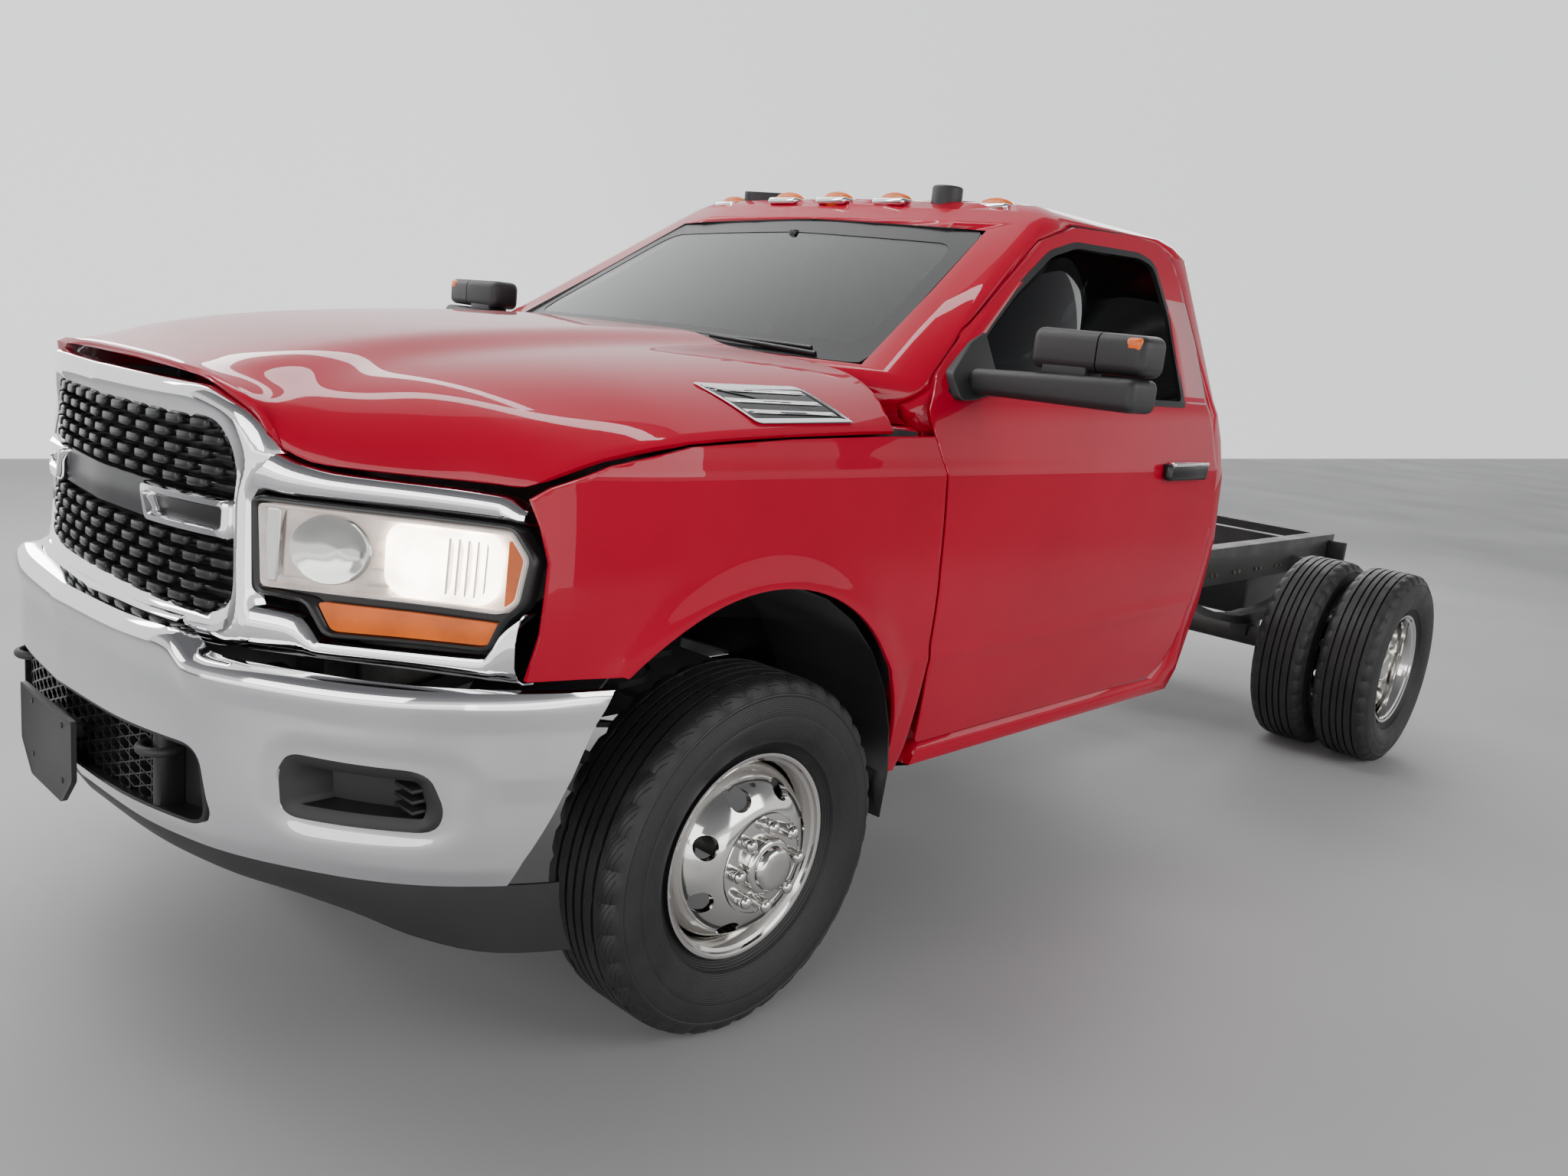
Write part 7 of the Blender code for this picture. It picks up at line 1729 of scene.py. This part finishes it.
BARREL = [(0.086, 0.2318), (0.0865, 0.2275), (0.084, 0.2225), (0.078, 0.2195), (0.074, 0.2120), (0.060, 0.2050),
          (0.020, 0.2000), (-0.020, 0.2000), (-0.060, 0.2050), (-0.074, 0.2120), (-0.078, 0.2195), (-0.084, 0.2225),
          (-0.0865, 0.2275), (-0.086, 0.2318), (-0.082, 0.2310), (-0.0795, 0.2255), (-0.0710, 0.2160),
          (-0.0600, 0.2100), (0.0, 0.2070), (0.0600, 0.2100), (0.0710, 0.2160), (0.0795, 0.2255), (0.082, 0.2310)]
DISH = [(0.030, 0.2020), (0.043, 0.2000), (0.058, 0.1900), (0.080, 0.1770), (0.100, 0.1630), (0.113, 0.1460),
        (0.121, 0.1300), (0.126, 0.1180), (0.128, 0.1050), (0.128, 0.0600), (0.128, 0.0330),
        (0.118, 0.0330), (0.118, 0.1050), (0.112, 0.1240), (0.102, 0.1410), (0.090, 0.1560), (0.072, 0.1690),
        (0.050, 0.1820), (0.034, 0.1920)]
front = wheel("front_wheel", FRONT_X, AXLE_Y, BARREL, DISH, (0.158, 0.03, 0.16))
centre = (FRONT_X, AXLE_Y, WHEEL_Z)
caps = nut_ring(FRONT_X + 0.1275, AXLE_Y, 0.0895, 0.0155, 0.034)
hub = turned("hub", [(0.120, 0.0640), (0.140, 0.0640), (0.148, 0.0625), (0.152, 0.0590), (0.154, 0.0540),
                     (0.1545, 0.0500), (0.165, 0.0480), (0.1705, 0.0430), (0.1730, 0.0340), (0.1732, 0.0200),
                     (0.1734, 0.0001)], centre, 64)
ring = turned("ring", [(0.1282, 0.1140), (0.1305, 0.1130), (0.1305, 0.1110), (0.1282, 0.1100)], centre, 64)
front = joined([front, hub, ring, *caps], "front_wheel")
tidy_mesh(front, 0.00002)
smooth(front, 35)
both_sides(front, "front_wheel", "wheel_front_left", STAINLESS, "rim_front_left")

REAR_DISH = [(-x, r) for x, r in DISH]
inner_wheel = wheel("inner_wheel", INNER_X, REAR_AXLE_Y, BARREL, DISH, (0.158, 0.03, 0.16))
outer_wheel = wheel("outer_wheel", OUTER_X, REAR_AXLE_Y, BARREL, REAR_DISH, (0.158, -0.16, -0.03))
hub_x = (INNER_X + OUTER_X) / 2
flange = turned("flange", [(0.001, 0.1160), (0.012, 0.1160), (0.014, 0.1140), (0.014, 0.0780), (0.020, 0.0730),
                           (0.090, 0.0700), (0.150, 0.0680), (0.168, 0.0640), (0.178, 0.0560), (0.1835, 0.0420),
                           (0.1848, 0.0001)], (hub_x, REAR_AXLE_Y, WHEEL_Z), 64)
nuts = nut_ring(hub_x + 0.0125, REAR_AXLE_Y, 0.0965, 0.0145, 0.036)
rear = joined([inner_wheel, outer_wheel, flange, *nuts], "rear_wheels")
tidy_mesh(rear, 0.00002)
smooth(rear, 35)
both_sides(rear, "rear_wheels", "wheel_rear_left", STAINLESS, "rims_rear_left")
print("wheel faces", len(front.data.polygons), len(rear.data.polygons))

# %% [markdown]
# The cab holds a split bench: two cushions with back pads, a narrow middle seat and two
# head restraints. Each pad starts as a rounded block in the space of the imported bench, is
# remeshed and blown up with cloth pressure, and is then smoothed; a hard shell carries them.

# %% Seat pads
SEAT_CLOTH = finish("dark_seat_cloth", ((0.055, 0.055, 0.058), (0.040, 0.040, 0.043)), (0.75, 0.92),
                    grain=(1500.0, 0.9), drift=9.0, dust=0.0, Sheen_Weight=0.35)
SEAT_FLOOR = 0.7003


def pad_block(name, outline, low_x, high_x, softness):
    """A closed block from a side outline in (along, height over the floor), with soft edges."""
    points = [(along(y), SEAT_FLOOR + z * BODY_HEIGHT) for y, z in outline]
    made = outline_block(points, "x", low_x, high_x, name)
    apply(made, "BEVEL", width=softness, segments=3, limit_method="ANGLE", angle_limit=math.radians(40))
    return made


def puff(piece, cap):
    """Blows a block up like a stuffed pad, no point moving further than the cap."""
    pick(piece)
    apply(piece, "REMESH", mode="VOXEL", voxel_size=0.009)
    start = [vert.co.copy() for vert in piece.data.vertices]
    cloth = piece.modifiers.new("cloth", "CLOTH")
    cloth.settings.use_pressure = True
    cloth.settings.uniform_pressure_force = 4
    cloth.settings.effector_weights.gravity = 0
    cloth.settings.quality = 4
    cloth.point_cache.frame_start, cloth.point_cache.frame_end = 1, 20
    for frame_number in range(1, 21):
        bpy.context.scene.frame_set(frame_number)
    pick(piece)
    bpy.ops.object.modifier_apply(modifier=cloth.name)
    for vert, before in zip(piece.data.vertices, start):
        move = vert.co - before
        if move.length > cap:
            vert.co = before + move.normalized() * cap
    bpy.context.scene.frame_set(1)
    apply(piece, "SMOOTH", factor=0.6, iterations=4)
    apply(piece, "SUBSURF", levels=1, render_levels=1)
    smooth(piece, 60)
    return piece


CUSHION = ((0.405, 0.155), (0.735, 0.155), (0.735, 0.190), (0.690, 0.186), (0.412, 0.200), (0.398, 0.188))
BACK = ((0.722, 0.205), (0.745, 0.195), (0.770, 0.205), (0.862, 0.470), (0.858, 0.500), (0.812, 0.498))
SPANS = (("driver", 0.245, 0.690), ("middle", -0.225, 0.225), ("passenger", -0.690, -0.245))
pads = []
for label, low_x, high_x in SPANS:
    pads.append(puff(pad_block(label + "_cushion", CUSHION, low_x, high_x, 0.018), 0.014))
    pads.append(puff(pad_block(label + "_back", BACK, low_x, high_x, 0.018), 0.012))
for pad in pads:
    dress(pad, pad.name + "_pad", "chassis", SEAT_CLOTH)
SHELL = ((0.385, 0.010), (0.745, 0.010), (0.757, 0.100), (0.874, 0.490), (0.868, 0.525),
         (0.852, 0.520), (0.755, 0.195), (0.735, 0.150), (0.395, 0.150))
shell = pad_block("seat_shell", SHELL, -0.700, 0.700, 0.010)
carve(shell, rounded_box("tunnel", (-0.2003, -2.0, 0.0), (0.2003, 1.0, 0.8603), 0.004))
seams = []
for x in (0.235, -0.235):
    seams.append(rounded_box("divider", (x - 0.004, along(0.41), SEAT_FLOOR + 0.16 * BODY_HEIGHT),
                             (x + 0.004, along(0.70), SEAT_FLOOR + 0.185 * BODY_HEIGHT), 0.003))
seat_shell = smooth(joined([shell, *seams], "seat_shell"), 40)
dress(seat_shell, "seat_shell", "chassis", SOFT_DASH, "seat")
HEAD_REST = ((0.828, 0.512), (0.862, 0.512), (0.866, 0.530), (0.862, 0.5395), (0.820, 0.5385))
rests = []
for x in (0.46, -0.46):
    rest = pad_block("head_rest", HEAD_REST, x - 0.120, x + 0.120, 0.012)
    rests.append(puff(rest, 0.006))
for k, rest in enumerate(rests):
    dress(rest, "head_restraint_" + ("driver", "passenger")[k], "chassis", SEAT_CLOTH)
print("pads", len(pads), "faces", sum(len(pad.data.polygons) for pad in pads))

# %% [markdown]
# The dashboard is one soft block across the cab with a hooded cluster in front of the
# driver, air vents, a dark screen and a glove box lid; its face has no letters or dials'
# numbers. The wheel has a thick rim, three spokes and a plain pad.

# %% Dashboard and steering wheel
dash = copy_node("dashboard", 0.006, 40)
extras = []
FIREWALL_Y = -1.3647
dash_depth = curve_through(((0.34, 0.110), (0.42, 0.190), (0.53, 0.215), (0.59, 0.190)))


def dash_face(z):
    """The y of the dashboard's rear face at a height."""
    share = (z - BODY_BASE) / BODY_HEIGHT
    return FIREWALL_Y + CAB_LENGTH * dash_depth(share)


for x in (0.70, 0.13, -0.13, -0.70):
    y = dash_face(1.235)
    frame_box = rounded_box("vent", (x - 0.060, y - 0.010, 1.200), (x + 0.060, y + 0.006, 1.270), 0.006)
    hole = rounded_box("hole", (x - 0.052, y - 0.004, 1.207), (x + 0.052, y + 0.03, 1.263), 0.004)
    carve(frame_box, hole)
    extras.append(frame_box)
    for k in range(5):
        z = 1.213 + 0.011 * k
        extras.append(rounded_box("slat", (x - 0.052, y - 0.006, z), (x + 0.052, y + 0.004, z + 0.003), 0.001, 1))
hood_low, hood_high = Vector((0.24, -1.30, 1.318)), Vector((0.56, -1.075, 1.352))
cluster = rounded_box("cluster", hood_low, hood_high, 0.014, 4)
y = dash_face(1.09)
lid = rounded_box("glove_lid", (-0.62, y - 0.006, 1.035), (-0.27, y + 0.010, 1.150), 0.006)
dash = smooth(joined([dash, cluster, lid, *extras], "dash"), 40)
dress(dash, "dashboard_skin", "chassis", SOFT_DASH, "dashboard")
SCREEN_BLACK = glass("dark_screen", (0.01, 0.01, 0.012), 0.06, 0.0)
y = dash_face(1.17)
screens = [rounded_box("screen", (-0.085, y + 0.001, 1.100), (0.085, y + 0.010, 1.190), 0.003),
           rounded_box("dials", (0.275, -1.125, 1.262), (0.525, -1.060, 1.315), 0.006)]
dress(smooth(joined(screens, "screens"), 40), "dash_screens", "chassis", SCREEN_BLACK)
HUB = Vector((0.400, -0.910, 1.245))
AXIS = Vector((0, math.cos(math.radians(28)), math.sin(math.radians(28))))


def wheel_place(piece):
    """Turns a piece modelled round Z to the steering axis at the hub."""
    piece.data.transform(AXIS.to_track_quat("Z", "Y").to_matrix().to_4x4())
    piece.data.transform(Matrix.Translation(HUB))
    return piece


bpy.ops.object.select_all(action="DESELECT")
bpy.ops.mesh.primitive_torus_add(major_radius=0.195, minor_radius=0.0155, major_segments=96, minor_segments=16,
                                 location=(0, 0, 0))
rim = wheel_place(settle(bpy.context.object))
boss = rounded_box("boss", (-0.068, -0.055, -0.014), (0.068, 0.060, 0.014), 0.012, 5)
spokes = [wheel_place(boss)]
for low, high in (((-0.188, -0.014, -0.007), (-0.05, 0.020, 0.007)),
                  ((0.05, -0.014, -0.007), (0.188, 0.020, 0.007)),
                  ((-0.022, -0.188, -0.006), (0.022, -0.04, 0.006))):
    spokes.append(wheel_place(rounded_box("spoke", low, high, 0.005, 3)))
steering = smooth(joined([rim, *spokes], "steering"), 40)
dress(steering, "steering_wheel_rim", "steering_wheel", SATIN, "steering_wheel")
print("dash and steering wheel done")

# %% [markdown]
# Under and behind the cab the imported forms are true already, so their merged copies get soft
# edges and their own metals, and then what the picture and the type show is added: the
# lenses of the tail lamps and the bolts along the frame.

# %% Chassis pieces
def bolt(place, axis, radius=0.009, height=0.007):
    """A hexagon head with a washer on a surface."""
    bpy.ops.object.select_all(action="DESELECT")
    bpy.ops.mesh.primitive_cylinder_add(vertices=6, radius=radius, depth=height,
                                        location=(0, 0, height * 0.5 + 0.001))
    head = settle(bpy.context.object)
    bpy.ops.mesh.primitive_cylinder_add(vertices=16, radius=radius * 1.25, depth=0.003, location=(0, 0, 0.0005))
    washer = settle(bpy.context.object)
    made = joined([head, washer], "bolt")
    made.data.transform(Vector(axis).to_track_quat("Z", "Y").to_matrix().to_4x4())
    made.data.transform(Matrix.Translation(place))
    return made


DRESSED = (("frame", 0.0025, FRAME_BLACK, "chassis"), ("radiator", 0.003, RADIATOR, "chassis"),
           ("engine", 0.012, CAST, "chassis"), ("transmission", 0.004, CAST, "chassis"),
           ("driveshaft", 0.001, FRAME_BLACK, "chassis"), ("exhaust", 0.0, BARE_STEEL, "chassis"),
           ("fuel_tank", 0.0, PLASTIC, "chassis"), ("cowl", 0.0, PLASTIC, "chassis"),
           ("front_axle", 0.004, CAST, "chassis"), ("rear_axle", 0.004, FRAME_BLACK, "chassis"),
           ("tie_rod", 0.001, FRAME_BLACK, "tie_rod"))
for node, soften, material, body in DRESSED:
    dress(copy_node(node, soften, 40), node + "_form", body, material, node)
for side in ("left", "right"):
    for node, soften, material, body in (("wheel_liner", 0.0, PLASTIC, "chassis"),
                                         ("coil_spring", 0.0, FRAME_BLACK, "chassis"),
                                         ("knuckle", 0.003, CAST, "knuckle_" + side)):
        dress(copy_node(node + "_" + side, soften, 40), node + "_form_" + side, body, material, node + "_" + side)
print("chassis copies done")

# %% Leaf springs, lamps and bolts
leaves = copy_node("leaf_spring_left", 0.0, 40)
both_sides(leaves, "leaf_spring_form", "chassis", FRAME_BLACK, "leaf_spring_left")
low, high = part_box("tail_lamp_left")
housing = rounded_box("housing", low, (high.x, high.y - 0.012, high.z), 0.006)
both_sides(smooth(housing, 40), "tail_lamp_housing", "chassis", PLASTIC, "tail_lamp_left")
red_part = rounded_box("red", (low.x + 0.004, high.y - 0.014, low.z + 0.036),
                       (high.x - 0.004, high.y, high.z - 0.004), 0.005)
both_sides(smooth(red_part, 40), "tail_lamp_red", "chassis", RED_LENS)
white_part = rounded_box("white", (low.x + 0.004, high.y - 0.014, low.z + 0.004),
                         (high.x - 0.004, high.y, low.z + 0.034), 0.005)
both_sides(smooth(white_part, 40), "tail_lamp_white", "chassis", WHITE_LENS)
RAIL_X, RAIL_Z = 0.4322, 0.665
bolts = []
for y in np.arange(0.54, 2.8, 0.24):
    for side in (1, -1):
        for shift in (0, 0.05):
            bolts.append(bolt((side * RAIL_X, y + shift, RAIL_Z), (side, 0, 0)))
dress(smooth(joined(bolts, "bolts"), 35), "frame_bolts", "chassis", BARE_STEEL)
print("bolts", len(bolts))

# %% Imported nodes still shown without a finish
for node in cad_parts.values():
    if not node.hide_render and not any(slot.material in list(FINISHES.values()) for slot in node.material_slots):
        print("plain node", node.name)
